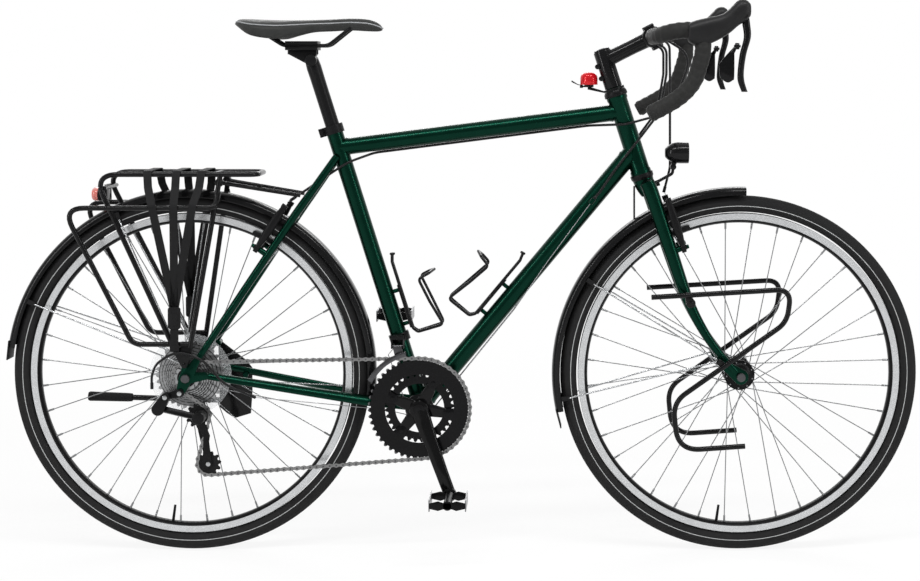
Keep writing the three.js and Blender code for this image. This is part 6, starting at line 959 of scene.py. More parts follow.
def reach_from(start, direction, centre, radius):
    """The point along a line that is a radius away from a wheel's centre."""
    offset = beside(start, 0) - centre
    along = offset.dot(direction)
    return start + direction * (-along + math.sqrt(along**2 - offset.length_squared + radius**2))


REAR_BOSS = reach_from(SEATSTAY[2], STAY_UP, REAR, 279)
REAR_BOSS.y = 66 + (34 - 66) * (REAR_BOSS.z - SEATSTAY[2].z) / (SEATSTAY[1].z - SEATSTAY[2].z)


def build_frame():
    bm = bmesh.new()
    barrel(bm, SHELL, seat(565), STEEL_TUBE, sides=64)
    barrel(bm, TOP_TUBE[0], TOP_TUBE[1], STEEL_TUBE, sides=64)
    barrel(bm, DOWN_TUBE[0], DOWN_TUBE[1], DOWN_TUBE_RADIUS, sides=64)
    swept(bm, [steer(HEAD_BOTTOM + 0.2), steer(HEAD_BOTTOM + 6), steer(HEAD_BOTTOM + 9), steer(HEAD_TOP - 9),
               steer(HEAD_TOP - 6), steer(HEAD_TOP - 0.2)], [20.2, 20.2, 18.7, 18.7, 20.2, 20.2], sides=64)
    crosswise(bm, SHELL, -34, 34, 20, sides=64, edge=1.0)
    welded(bm, TOP_TUBE[1] - TOP_ALONG * 17.5, -TOP_ALONG, STEEL_TUBE)
    welded(bm, TOP_TUBE[0] + TOP_ALONG * 14.5, TOP_ALONG, STEEL_TUBE)
    welded(bm, DOWN_TUBE[1] - DOWN_ALONG * 18.5, -DOWN_ALONG, DOWN_TUBE_RADIUS)
    welded(bm, SHELL + DOWN_ALONG * 18.5, DOWN_ALONG, DOWN_TUBE_RADIUS)
    welded(bm, seat(18.5), SEAT_UP, STEEL_TUBE)
    for along in (160, 226):
        barrel(bm, seat(along, 14), seat(along, 25.6), 4, sides=20, edge=0.6)
    for along in (217, 283):
        barrel(bm, down(along, 14), down(along, 27.2), 4, sides=20, edge=0.6)
    for y in (-23, 23):
        swept(bm, [down(511, 0, y), down(523, 0, y)], 4.5, sides=20)
        barrel(bm, down(517, 0, y * 0.7), down(517, 0, y), 3.4, sides=16)
    build_stays(bm)
    plate(bm, hulled([(REAR, 13.4), (HANGER, 8)]), -73, -67.6, edge=1.0)
    for point in (from_rear(94, -12), from_rear(40, 50)):
        crosswise(bm, point, 51, 72.5, 6, sides=24, edge=0.6)
    make("frame_tubes", bm, "frame", "frame_paint", nodes=("frame",), smooth=42)
    bm = bmesh.new()
    for low, flare in ((FORK_LENGTH + 0.3, 1), (HEAD_TOP + 0.3, -1)):
        cup = ((0, 20), (3, 22), (9.6, 22.5), (10.7, 22)) if flare > 0 else ((0, 22), (1.2, 22.5), (7, 22.2),
                                                                             (11.4, 19.8))
        swept(bm, [steer(low + along) for along, _ in cup], [radius for _, radius in cup], sides=56)
    make("headset_cups", bm, "frame", "black_aluminium", smooth=30)


def build_stays(bm):
    half = bmesh.new()
    upper = flowing([SEATSTAY[0], SEATSTAY[0].lerp(SEATSTAY[1], 0.55), SEATSTAY[1],
                     SEATSTAY[1].lerp(SEATSTAY[2], 0.55), SEATSTAY[2]], 5)
    swept(half, upper, [7.5 + 0.5 * min(1, i / 8) - 1.5 * max(0, i - 10) / 10 for i in range(len(upper))],
          sides=28)
    lower = flowing(list(CHAINSTAY), 7)
    ovals = []
    for i in range(len(lower)):
        share, first = (i % 7) / 7, min(3, i // 7)
        low, high = ((7, 11), (6.6, 10.6), (7.4, 11.4), (5.5, 7.5), (5.5, 7.5))[first:first + 2]
        ovals.append((low[0] + (high[0] - low[0]) * share, low[1] + (high[1] - low[1]) * share))
    swept(half, lower, 8, sides=28, oval=ovals)
    for step, (end, size) in enumerate(((beside(SEATSTAY[2], 0), 6.5), (from_rear(36, 5), 7.5),
                                        (EYELET_REAR, 6))):
        plate(half, hulled([(REAR, 12.5 - step), (end, size)]), 67.8 + 0.2 * step, 72.8 - 0.2 * step,
              edge=1.0)
    stud = [REAR_BOSS + STAY_BACK * along for along in (0, 19, 20, 20.3, 35, 36)]
    swept(half, stud, [6.4, 5.5, 5.1, 4, 4, 3.4], sides=20)
    mirrored(half)
    joined(bm, half)
    bridge = GUARD_REAR + 1.6 + GAP + 6
    turn = math.degrees(math.atan2(297, 197))
    crosswise(bm, polar(REAR, bridge, turn), -33, 33, 6, sides=24)
    drop = -math.degrees(math.asin((REAR.z - SHELL.z - 9) / bridge))
    crosswise(bm, polar(REAR, bridge, drop), -27, 27, 6, sides=24)


BLADE = (
    (0.985, 4, 36, 11.5, 14.5), (0.93, 6, 38, 11, 14.5), (0.7, 7, 41, 10.5, 13.5), (0.5, 8, 44, 9.5, 12),
    (0.4, 10, 46, 9, 10.5), (0.3, 16, 48, 8.5, 9.5), (0.2, 26, 50, 8, 8.5), (0.1, 41, 52, 7, 7.5),
    (0.03, 54, 52.5, 4.5, 7),
)
EYELET_FRONT = from_front(-43, 32)
FRONT_BOSS = reach_from(steer(FORK_LENGTH * 0.5, 7, 42), STEER_UP, FRONT, 274)
LOW_BOSS = steer(168, 12)


def build_fork():
    half = bmesh.new()
    points = flowing([steer(FORK_LENGTH * share, ahead, y) for share, ahead, y, _, _ in BLADE], 4)
    sizes = []
    for i in range(len(points)):
        first, share = min(i // 4, len(BLADE) - 2), (i - 4 * min(i // 4, len(BLADE) - 2)) / 4
        low, high = BLADE[first], BLADE[first + 1]
        sizes.append((low[3] + (high[3] - low[3]) * share, low[4] + (high[4] - low[4]) * share))
    swept(half, points, 8, sides=32, oval=sizes)
    ends = [steer(FORK_LENGTH * 0.065, 47.5), EYELET_FRONT]
    plate(half, hulled([(FRONT, 14.8), (ends[0], 6), (ends[1], 6)]), 50.3, 55.3, edge=1.0)
    crosswise(half, EYELET_FRONT, 50.3, 60, 6, sides=28, edge=0.6)
    stud = [FRONT_BOSS + STEER_AHEAD * along for along in (0, 19, 20, 20.3, 35, 36)]
    swept(half, stud, [6.4, 5.5, 5.1, 4, 4, 3.4], sides=20)
    barrel(half, beside(LOW_BOSS, 42), beside(LOW_BOSS, 68), 6, sides=24, edge=0.6)
    mirrored(half)
    middle = FORK_LENGTH - 16
    barrel(half, steer(middle), steer(672), 14.3, sides=40)
    swept(half, [steer(middle - 16), steer(middle - 13), steer(middle - 4), steer(middle + 4),
                 steer(middle + 12), steer(FORK_LENGTH - 2), steer(FORK_LENGTH)],
          [12.5, 14, 17, 18.7, 19.6, 20, 20], sides=48)
    swept(half, [steer(middle, 4, -38), steer(middle + 1, 4, -30), steer(middle + 2, 4, -12),
                 steer(middle + 2, 4, 12), steer(middle + 1, 4, 30), steer(middle, 4, 38)],
          [12.5, 13.6, 14, 14, 13.6, 12.5], sides=36)
    make("fork_tubes", half, "steering", "frame_paint", nodes=("fork",), smooth=42)


# Drive


SPIDER_DEGREES = (59, 131, 229, 301)
GUIDE = from_rear(19.5, -75)
TENSION = from_rear(39, -167)
CRANK_RIGHT = polar(SHELL, CRANK_LENGTH, CRANK_DEGREES)
CRANK_LEFT = polar(SHELL, CRANK_LENGTH, CRANK_DEGREES + 180)
MECH_PIVOT = from_rear(-36, -33)
LINK_START = from_rear(-44, -56)
LINK_END = at(LINK_START.x + 70, 0, LINK_START.z - 17)
LINK_ALONG = (LINK_END - LINK_START).normalized()
LINK_SLANT = math.radians(30)
LINK_AXIS = Vector((-LINK_ALONG.z, 0, LINK_ALONG.x)) * math.cos(LINK_SLANT) + ACROSS * math.sin(LINK_SLANT)
LINK_OUT = LINK_ALONG.cross(LINK_AXIS)
LINK_Y = -83.1
SWING_PIVOT = at(polar(SHELL, 119, 111).x, 0, SHELL.z + 118)
CHAIN_WHEELS = (
    (SHELL, pitch_radius(BIG_RING), 1, RING_Y), (TENSION, pitch_radius(PULLEY_TEETH), 1, DRIVE_Y),
    (GUIDE, pitch_radius(PULLEY_TEETH), -1, DRIVE_Y),
    (REAR, pitch_radius(SPROCKET_TEETH[2]), 1, DRIVE_Y),
)


def build_bracket():
    bm = bmesh.new()
    profile = ((12.8, -40.3), (20.8, -40.3), (21.5, -39.6), (21.5, -35), (20.8, -34.3), (17.1, -34.3),
               (17.1, 34.3), (20.8, 34.3), (21.5, 35), (21.5, 39.6), (20.8, 40.3), (12.8, 40.3))
    turned(bm, profile, SHELL, steps=64)
    make("bracket_cups", bm, "frame", "black_aluminium", nodes=("bottom_bracket",), smooth=35)


def chainring(bm, teeth, y, inner):
    """A toothed ring: its outline becomes a plate, and the middle is cut out by joining to an inner ring."""
    outer = toothed(SHELL, teeth, CRANK_DEGREES)
    count = len(outer)
    start = math.degrees(math.atan2(outer[0].z - SHELL.z, outer[0].x - SHELL.x))
    middle = [polar(SHELL, inner, start + 360 * i / count) for i in range(count)]
    loops = []
    for lean in (-0.95, 0.95):
        for ring in (outer, middle):
            verts = [bm.verts.new(placed(beside(point, y + lean))) for point in ring]
            loops.append([bm.edges.new(pair) for pair in zip(verts, verts[1:] + verts[:1])])
    for first, second in ((0, 1), (2, 3), (0, 2), (1, 3)):
        bmesh.ops.bridge_loops(bm, edges=loops[first] + loops[second])


def build_chainrings():
    bm = bmesh.new()
    chainring(bm, BIG_RING, RING_Y, 66)
    chainring(bm, SMALL_RING, RING_Y + 7.6, 47)
    for turn in SPIDER_DEGREES:
        spot = polar(SHELL, 55, CRANK_DEGREES + turn)
        foot = polar(SHELL, 68, CRANK_DEGREES + turn)
        plate(bm, hulled([(spot, 10), (foot, 13)]), -47.9, -46.1, edge=0.4)
        crosswise(bm, spot, -49.4, -37, 4.8, sides=28, edge=0.5)
        crosswise(bm, spot, -49.7, -49.3, 2.6, sides=6)
    make("chainring_pair", bm, "crankset", "ring_aluminium", nodes=("chainrings",), smooth=35)


ARM_STATIONS = ((0, 1, 0, 1.1), (0.14, 0.95, 0.1, 1.15), (0.4, 0.8, 0.45, 1), (0.75, 0.72, 0.85, 0.9),
                (1, 0.7, 1, 0.85))


def crank_arm(bm, end, face):
    """One arm: a rounded bar that leans outward from the hub to the pedal."""
    along = (end - SHELL).normalized()
    up = along.cross(ACROSS).normalized()
    rows = []
    for reach, width, out, thick in ARM_STATIONS:
        rows.append(Vector((reach, width, out, thick)))
    fine = []
    for low, high in zip(rows, rows[1:]):
        fine += [low.lerp(high, k / 4) for k in range(4)]
    fine.append(rows[-1])
    rings = []
    for row in fine:
        centre = SHELL + along * (CRANK_LENGTH * row[0]) + ACROSS * (face * (57 + 21 * row[2]))
        wide, deep = 6.5 * row[3], 17 * row[1]
        rings.append(squarish(centre, ACROSS, wide, up, deep, 28))
    lofted(bm, rings)
    crosswise(bm, end, face * 78 - 6.5, face * 78 + 6.5, 13, sides=44, edge=1.4)


def build_cranks():
    bm = bmesh.new()
    crank_arm(bm, CRANK_RIGHT, -1)
    crosswise(bm, SHELL, -63, -42.6, 18, sides=56, edge=1.2)
    crosswise(bm, SHELL, -63, 63, 11.9, sides=40, edge=0.6)
    crosswise(bm, SHELL, -45.7, -40.7, 27.6, sides=56, edge=1.0)
    for turn in SPIDER_DEGREES:
        root, tip = polar(SHELL, 16, CRANK_DEGREES + turn), polar(SHELL, 55, CRANK_DEGREES + turn)
        plate(bm, hulled([(root, 13), (tip, 9)]), -46.4, -40.7, edge=2.6, segments=4)
    make("crank_arm_right", bm, "crankset", "ring_aluminium", "crank_black", nodes=("crank_right",),
         smooth=40)
    bm = bmesh.new()
    crosswise(bm, SHELL, -64.2, -62.6, 11, sides=40, edge=0.5)
    crosswise(bm, SHELL, 62.6, 64.2, 11, sides=40, edge=0.5)
    make("crank_caps", bm, "crankset", "black_aluminium", smooth=35)
    bm = bmesh.new()
    crank_arm(bm, CRANK_LEFT, 1)
    crosswise(bm, SHELL, 41, 63, 18, sides=56, edge=1.2)
    make("crank_arm_left", bm, "crankset", "ring_aluminium", "crank_black", nodes=("crank_left",), smooth=40)


def cage_half(bm, end, low, x):
    """The serrated rail at the front or back of a pedal's cage."""
    tooth = 84 / 15
    points = []
    for i in range(15):
        rise = 8.2 + (2.4 if i % 2 == 0 else 0.5)
        points += [(low + tooth * (i + 0.12), rise), (low + tooth * (i + 0.88), rise)]
    outline = points + [(y, -rise) for y, rise in reversed(points)]
    verts = [bm.verts.new(placed(from_point(end, x, z, y))) for y, z in outline]
    thickened(bm, verts, at(math.copysign(2.2, -x), 0, 0))


def build_pedals():
    for name, end, face, body in (("right", CRANK_RIGHT, -1, "pedal_right"),
                                  ("left", CRANK_LEFT, 1, "pedal_left")):
        inner, outer = face * 91.5, face * 175.5
        low, high = min(inner, outer), max(inner, outer)
        bm = bmesh.new()
        for x in (-35, 35):
            cage_half(bm, end, low, x)
        side_shape = [from_point(end, x, z) for x, z in (
            (-34, -5), (-17, -9), (-8, -6), (8, -6), (17, -9), (34, -5), (34, 5), (17, 9), (8, 6), (-8, 6),
            (-17, 9), (-34, 5))]
        make("pedal_cage_" + name, bm, body, "pedal_aluminium", nodes=("pedal_" + name,), smooth=35)
        bm = bmesh.new()
        for start in (low, high - 2.5):
            plate(bm, side_shape, start, start + 2.5, edge=0.5)
        axle_end = face * 71.5
        crosswise(bm, end, min(axle_end, outer - face * 3), max(axle_end, outer - face * 3), 4.6, sides=28,
                  edge=0.3)
        swept(bm, [beside(end, y) for y in (inner, inner + face * 2, inner + face * 9, inner + face * 30,
                                            outer - face * 12, outer - face * 2, outer)],
              [7.5, 9, 8.2, 7.6, 8.4, 9, 7.5], sides=36)
        make("pedal_barrel_" + name, bm, body, "pedal_aluminium", "hub_black", smooth=35)


def build_cassette():
    bm = bmesh.new()
    for index, teeth in enumerate(SPROCKET_TEETH):
        y = SPROCKET_INNER_Y - SPROCKET_STEP * (9 - index)
        outline = toothed(REAR, teeth, 90 + index * 7, rise=1.7)
        plate(bm, outline, y - 0.8, y + 0.8)
    crosswise(bm, REAR, -62.4, -23, 15.5, sides=40)
    make("cassette_stack", bm, "cassette", "sprocket_steel", nodes=("cassette",), smooth=35)
    bm = bmesh.new()
    swept(bm, [beside(REAR, y) for y in (-61.2, -62.6, -63.4, -63.6)], [18, 18, 17, 12], sides=40)
    make("cassette_lockring", bm, "cassette", "sprocket_steel", "black_aluminium", smooth=35)


def chain_route():
    """Every pin of the chain: its place, round the four wheels."""
    pieces = []
    runs = []
    for i, (centre, radius, turn, _) in enumerate(CHAIN_WHEELS):
        other, other_radius, other_turn, _ = CHAIN_WHEELS[(i + 1) % 4]
        gap = other - centre
        heading = math.atan2(gap.z, gap.x)
        swing = math.acos((turn * radius - other_turn * other_radius) / gap.length)
        normal = math.degrees(heading + swing)
        runs.append((polar(centre, turn * radius, normal), polar(other, other_turn * other_radius, normal)))
    for i, (centre, radius, turn, y) in enumerate(CHAIN_WHEELS):
        arrive, leave = runs[i - 1][1], runs[i][0]
        start = math.atan2(arrive.z - centre.z, arrive.x - centre.x)
        finish_turn = math.atan2(leave.z - centre.z, leave.x - centre.x)
        sweep = (turn * (start - finish_turn)) % math.tau
        pieces.append(("arc", sweep * radius, centre, radius, turn, y, start))
        pieces.append(("run", (runs[i][1] - runs[i][0]).length, runs[i][0], runs[i][1], y,
                       CHAIN_WHEELS[(i + 1) % 4][3]))
    total = sum(piece[1] for piece in pieces)
    count = round(total / PITCH / 2) * 2
    spots = []
    for i in range(count):
        along, index = total * i / count, 0
        while index < len(pieces) - 1 and along > pieces[index][1]:
            along -= pieces[index][1]
            index += 1
        piece = pieces[index]
        if piece[0] == "arc":
            _, _, centre, radius, turn, y, start = piece
            angle = start - turn * along / radius
            spots.append(at(centre.x + radius * math.cos(angle), y, centre.z + radius * math.sin(angle)))
        else:
            _, length, first, last, y, next_y = piece
            spots.append(beside(first.lerp(last, along / length), y + (next_y - y) * along / length))
    return spots


def chain_plate(bm, first, last, low, high):
    """One side plate of a link: two round ends and a narrower waist."""
    along = (beside(last, 0) - beside(first, 0)).normalized()
    up = Vector((-along.z, 0, along.x))
    length = (beside(last, 0) - beside(first, 0)).length
    outline = []
    for centre, base in ((last, -90), (first, 90)):
        for k in range(7):
            turn = math.radians(base + 30 * k)
            outline.append(beside(centre, 0) + along * (4.1 * math.cos(turn)) + up * (4.1 * math.sin(turn)))
        sign = 1 if base < 0 else -1
        outline.append(beside(first.lerp(last, 0.5), 0) + up * (2.3 * sign))
    skew = (last.y - first.y) / length
    verts = []
    for point in outline:
        lean = (point - beside(first, 0)).dot(along) * skew
        verts.append(bm.verts.new(placed(beside(point, first.y + low + lean))))
    thickened(bm, verts, at(0, high - low, 0))


def build_chain():
    spots = chain_route()
    bm, pins = bmesh.new(), bmesh.new()
    for i, spot in enumerate(spots):
        following = spots[(i + 1) % len(spots)]
        inner, outer = (1.25, 2.05) if i % 2 else (2.1, 2.85)
        chain_plate(bm, spot, following, inner, outer)
        chain_plate(bm, spot, following, -outer, -inner)
        crosswise(pins, spot, spot.y - 3.1, spot.y + 3.1, 1.8, sides=10)
        crosswise(pins, spot, spot.y - 1.2, spot.y + 1.2, 3.6, sides=12)
    make("chain_rollers", pins, "frame", "chain_steel", "dark_steel", smooth=40)
    make("chain_links", bm, "frame", "chain_steel", nodes=("chain",), smooth=40)


def slanted(bm, start, half, radius, sides=28, edge=0.4):
    """A round bar along the slanted hinge of the rear derailleur."""
    centre = beside(start, LINK_Y)
    barrel(bm, centre - LINK_AXIS * half, centre + LINK_AXIS * half, radius, sides=sides, edge=edge)


def link_block(bm, first, last, half, low, high, edge):
    """The bar between the two slanted hinges, with rounded corners."""
    ends = []
    for centre in (first, last):
        ends.append([centre + LINK_OUT * out + LINK_AXIS * up for out, up in (
            (low, -half), (high, -half), (high, half), (low, half))])
    block = bmesh.new()
    lofted(block, ends)
    bmesh.ops.recalc_face_normals(block, faces=block.faces)
    softened(block, block.edges[:], edge)
    joined(bm, block)


def build_rear_derailleur():
    face, outer = -73.1, -93.1
    bm = bmesh.new()
    plate(bm, hulled([(HANGER, 8), (MECH_PIVOT, 6)]), face - 5, face, edge=0.9)
    plate(bm, hulled([(MECH_PIVOT, 8.4), (at(LINK_START.x - 6, 0, LINK_START.z), 12)]), outer, face, edge=2.2,
          segments=3)
    crosswise(bm, HANGER, face - 8.4, face - 4.6, 7.2, sides=32, edge=0.8)
    crosswise(bm, HANGER, face - 8.8, face - 8.2, 3, sides=6)
    make("derailleur_body", bm, "frame", "black_aluminium", nodes=("rear_derailleur_body",), smooth=40)
    bm = bmesh.new()
    start, end = beside(LINK_START, LINK_Y), beside(LINK_END, LINK_Y)
    slanted(bm, LINK_START, 6, 5.5)
    slanted(bm, LINK_END, 6, 5.5)
    link_block(bm, start, end, 5.7, -3, 4.6, 0.9)
    make("derailleur_link", bm, "derailleur_link", "pedal_aluminium", "hub_black",
         nodes=("rear_derailleur_link",), smooth=40)
    bm = bmesh.new()
    slanted(bm, LINK_START, 10.3, 2.5, edge=0.3)
    slanted(bm, LINK_END, 10.3, 2.5, edge=0.3)
    make("derailleur_pins", bm, "derailleur_link", "pedal_aluminium", "stay_silver", smooth=40)
    bm = bmesh.new()
    crosswise(bm, HANGER, face - 9.2, face - 4.6, 4.6, sides=32, edge=0.8)
    crosswise(bm, MECH_PIVOT, outer - 0.8, outer + 1, 4.4, sides=28, edge=0.5)
    make("derailleur_mounts", bm, "frame", "black_aluminium", "stay_silver", smooth=40)
    bm = bmesh.new()
    high = DRIVE_Y - 4.5 - 1.8 - 0.3
    crosswise(bm, LINK_END, outer, high, 12, sides=56, edge=1.6)
    make("derailleur_knuckle", bm, "derailleur_knuckle", "black_aluminium",
         nodes=("rear_derailleur_knuckle",), smooth=40)
    bm = bmesh.new()
    bend = at((GUIDE.x + TENSION.x) / 2 + 7, 0, (GUIDE.z + TENSION.z) / 2 + 8)
    tail = at(TENSION.x - 8, 0, TENSION.z - 8)
    for step, shape in enumerate((((GUIDE, 11), (LINK_END, 11)), ((GUIDE, 9), (bend, 6.5)),
                                  ((bend, 6.2), (tail, 3.5)), ((TENSION, 7), (tail, 3.2), (bend, 3.5)))):
        plate(bm, hulled(list(shape)), DRIVE_Y - 6.3 + 0.15 * step, DRIVE_Y - 4.5 + 0.1 * step, edge=0.5)
    plate(bm, hulled([(GUIDE, 8), (TENSION, 7)]), DRIVE_Y + 4.5, DRIVE_Y + 6.3, edge=0.5)
    bolts = bmesh.new()
    for centre in (GUIDE, TENSION):
        crosswise(bolts, centre, DRIVE_Y - 7.2, DRIVE_Y + 6.9, 3, sides=24, edge=0.3)
        crosswise(bolts, centre, DRIVE_Y - 7.6, DRIVE_Y - 6.2, 4.4, sides=28, edge=0.4)
    make("derailleur_bolts", bolts, "derailleur_cage", "black_aluminium", "stay_silver", smooth=40)
    make("derailleur_cage", bm, "derailleur_cage", "black_aluminium", nodes=("rear_derailleur_cage",),
         smooth=40)
    for name, centre in (("upper_pulley", GUIDE), ("lower_pulley", TENSION)):
        bm = bmesh.new()
        plate(bm, toothed(centre, PULLEY_TEETH, 90, rise=1.6), DRIVE_Y - 1.2, DRIVE_Y + 1.2, edge=0.3,
              segments=1)
        crosswise(bm, centre, DRIVE_Y - 4.1, DRIVE_Y + 4.1, 6, sides=32, edge=0.4)
        make(name + "_wheel", bm, name, "black_plastic", nodes=(name,), smooth=40)


def arc_band(bm, centre, low, high, start, end, y_low, y_high, steps=14):
    """A plate between two radii and two angles."""
    inner = [polar(centre, low, start + (end - start) * i / steps) for i in range(steps + 1)]
    outer = [polar(centre, high, end + (start - end) * i / steps) for i in range(steps + 1)]
    plate(bm, inner + outer, y_low, y_high, edge=0.4)


def build_front_derailleur():
    outer_y, inner_y = -53.5, -40.5
    bm = bmesh.new()
    arc_band(bm, SHELL, 104.5, 114, 104, 150, outer_y - 0.75, outer_y + 0.75)
    arc_band(bm, SHELL, 103.5, 112, 104, 152, inner_y - 0.75, inner_y + 0.75)
    arc_band(bm, SHELL, 112.5, 114, 104, 111, outer_y, inner_y, steps=3)
    arc_band(bm, SHELL, 103.5, 105, 145, 152, outer_y, inner_y, steps=3)
    pivot = SWING_PIVOT
    lug = [polar(SHELL, 104, 107.5), polar(SHELL, 104, 116), at(pivot.x - 9, 0, pivot.z),
           at(pivot.x + 8.5, 0, pivot.z)]
    plate(bm, lug, inner_y - 0.75, inner_y + 8, edge=0.9)
    hinge_y = inner_y + 4
    barrel(bm, at(pivot.x - 9, hinge_y, pivot.z), at(pivot.x + 9, hinge_y, pivot.z), 4, sides=32, edge=0.5)
    make("front_derailleur_plates", bm, "front_derailleur_cage", "axle_steel", "dark_steel",
         nodes=("front_derailleur_cage",), smooth=40)
    bm = bmesh.new()
    ring = [(20, -8), (20, 8), (16.2, 8), (16.2, -8)]
    turned(bm, ring, seat(138), axis=SEAT_UP, steps=48)
    for end in (-1, 1):
        x = sorted((pivot.x + end * 9.3, pivot.x + end * 12.3))
        arm = [at(x[0], 0, pivot.z - 4), at(x[1], 0, pivot.z - 4), at(x[1], 0, seat(138).z + 8),
               at(x[0], 0, seat(138).z + 8)]
        plate(bm, arm, inner_y + 1.5, -8, edge=0.6)
    back = [at(pivot.x - 12.3, 0, seat(138).z), at(pivot.x + 12.3, 0, seat(138).z),
            at(pivot.x + 12.3, 0, seat(138).z + 8), at(pivot.x - 12.3, 0, seat(138).z + 8)]
    plate(bm, back, inner_y, -17, edge=0.8)
    make("front_derailleur_band", bm, "frame", "black_aluminium", nodes=("front_derailleur_body",), smooth=40)


# Cockpit

CLAMP_BASE = HEAD_TOP + 17
STEM_RISE = math.radians(26.3)
STEM_LENGTH = 102
STEM_ALONG = Vector((math.cos(STEM_RISE), 0, math.sin(STEM_RISE)))
STEM_ABOVE = Vector((-STEM_ALONG.z, 0, STEM_ALONG.x))
STEM_ROOT = steer(CLAMP_BASE + 55)
BAR = STEM_ROOT + STEM_ALONG * STEM_LENGTH
BAR_SHARES = (
    (0, 0.62, 0), (0.05, 0.78, 0), (0.22, 0.89, -0.03), (0.46, 0.93, -0.055), (0.76, 0.945, -0.055),
    (0.93, 0.95, 0.02), (0.985, 0.955, 0.19), (0.9, 0.965, 0.39), (0.75, 0.975, 0.61), (0.4, 0.985, 0.81),
    (-0.2, 1, 1),
)
BAR_HALF = [at(BAR.x + 81 * reach, 215 * out, BAR.z - 143 * fall) for reach, out, fall in BAR_SHARES]
HOOD_BASE = at(BAR_HALF[5].x - 24, 0, BAR.z - 22)
LEVER_PIVOT = at(HOOD_BASE.x + 103, 0, HOOD_BASE.z + 57)
PADDLE_PIVOT = at(LEVER_PIVOT.x - 8.5, 0, LEVER_PIVOT.z - 55.2)
HOOD_SHARES = (
    (0.0, 0.12, 0.5, 0.96), (0.14, 0.03, 0.57, 1), (0.34, 0.06, 0.63, 0.92), (0.56, 0.2, 0.7, 0.84),
    (0.7, 0.33, 0.86, 0.86), (0.8, 0.45, 0.99, 0.88), (0.92, 0.55, 1, 0.84), (1, 0.66, 0.9, 0.6),
)


def build_stem():
    bm = bmesh.new()
    swept(bm, [steer(CLAMP_BASE + along) for along in (0.4, 1.4, 72.5, 74, 74.2, 77, 78)],
          [16.2, 17, 17, 16.4, 15.4, 15, 13.5], sides=56)
    swept(bm, [STEM_ROOT.lerp(BAR, share) for share in (0.06, 0.3, 0.6, 0.86)], [15, 14.2, 14, 14.8],
          sides=48)
    crosswise(bm, BAR, -21, 21, 20.5, sides=64, edge=1.4)
    seam = beside(BAR, 0) + STEM_ALONG * 2
    for y in (-17, 17):
        for edge in (-1, 1):
            foot = BAR + STEM_ABOVE * (edge * 20.5)
            back, front = foot - STEM_ALONG * 10.25, foot + STEM_ALONG * 10.25
            barrel(bm, beside(back, y), beside(front, y), 4, sides=24, edge=0.5)
            barrel(bm, beside(front, y), beside(front + STEM_ALONG * 0.8, y), 2.1, sides=6)
    plate(bm, [seam + STEM_ABOVE * 20.7, seam + STEM_ABOVE * 20.7 + STEM_ALONG,
               seam - STEM_ABOVE * 20.7 + STEM_ALONG, seam - STEM_ABOVE * 20.7], -21.2, 21.2)
    for along in (24, 48):
        spot = steer(CLAMP_BASE + along, -17.5)
        crosswise(bm, spot, -13, 13, 5, sides=28, edge=0.7)
    make("stem_body", bm, "steering", "black_paint", nodes=("stem",), smooth=38)
    bm = bmesh.new()
    swept(bm, [steer(CLAMP_BASE + along) for along in (78.0, 78.3, 79.0)], [6.4, 6.4, 5.6], sides=28)
    make("stem_bolt", bm, "steering", "axle_steel", smooth=35)


def tape_path():
    return [beside(BAR, 62), beside(BAR, 98)] + BAR_HALF


def build_bar():
    bm = bmesh.new()
    half = flowing([beside(BAR, 0), beside(BAR, 62)] + BAR_HALF, 6)
    swept(bm, half, BAR_RADIUS, sides=28)
    mirrored(bm)
    bulge = [(-62, 11.95), (-52, 12.6), (-44, 15), (-40, 15.9), (40, 15.9), (44, 15), (52, 12.6), (62, 11.95)]
    swept(bm, [beside(BAR, y) for y, _ in bulge], [radius for _, radius in bulge], sides=48)
    make("drop_bar", bm, "steering", "black_aluminium", nodes=("handlebar",), smooth=45)


def lengthwise(path):
    """How far along the path each point lies, in millimetres."""
    along = [0.0]
    for first, last in zip(path, path[1:]):
        along.append(along[-1] + (last - first).length)
    return along


def spaced(path, step):
    """The same path with points at even steps."""
    along = lengthwise(path)
    points, index, count = [], 0, round(along[-1] / step)
    for i in range(count + 1):
        target = along[-1] * i / count
        while index < len(path) - 2 and along[index + 1] < target:
            index += 1
        span = max(1e-6, along[index + 1] - along[index])
        points.append(path[index].lerp(path[index + 1], (target - along[index]) / span))
    return points


def build_tape():
    """Wound tape: each turn starts with the edge of a lap and thins out to the next one."""
    sizes = bpy.context.scene.bicycle_sizes
    wrap, lap = sizes.wrap * 1000, sizes.tape_lap * 1000
    path = spaced(flowing(tape_path(), 8), wrap / 6)
    for name in ("left", "right"):
        bm = bmesh.new()
        slanted_rings(bm, path, wrap, lap)
        end = path[-1]
        forward = (path[-1] - path[-3]).normalized()
        swept(bm, [end - forward * 1, end + forward * 2.2, end + forward * 3.6], [13.2, 12.9, 10.5], sides=28)
        set_on(bm, name)
        make("wound_tape_" + name, bm, "steering", "bar_tape", nodes=("bar_tape_" + name,), smooth=50)
        bm = bmesh.new()
        swept(bm, spaced([beside(BAR, 60.2), beside(BAR, 64), beside(BAR, 80)], 5), 15.75, sides=36)
        set_on(bm, name)
        make("tape_finish_" + name, bm, "steering", "bar_tape", smooth=40)


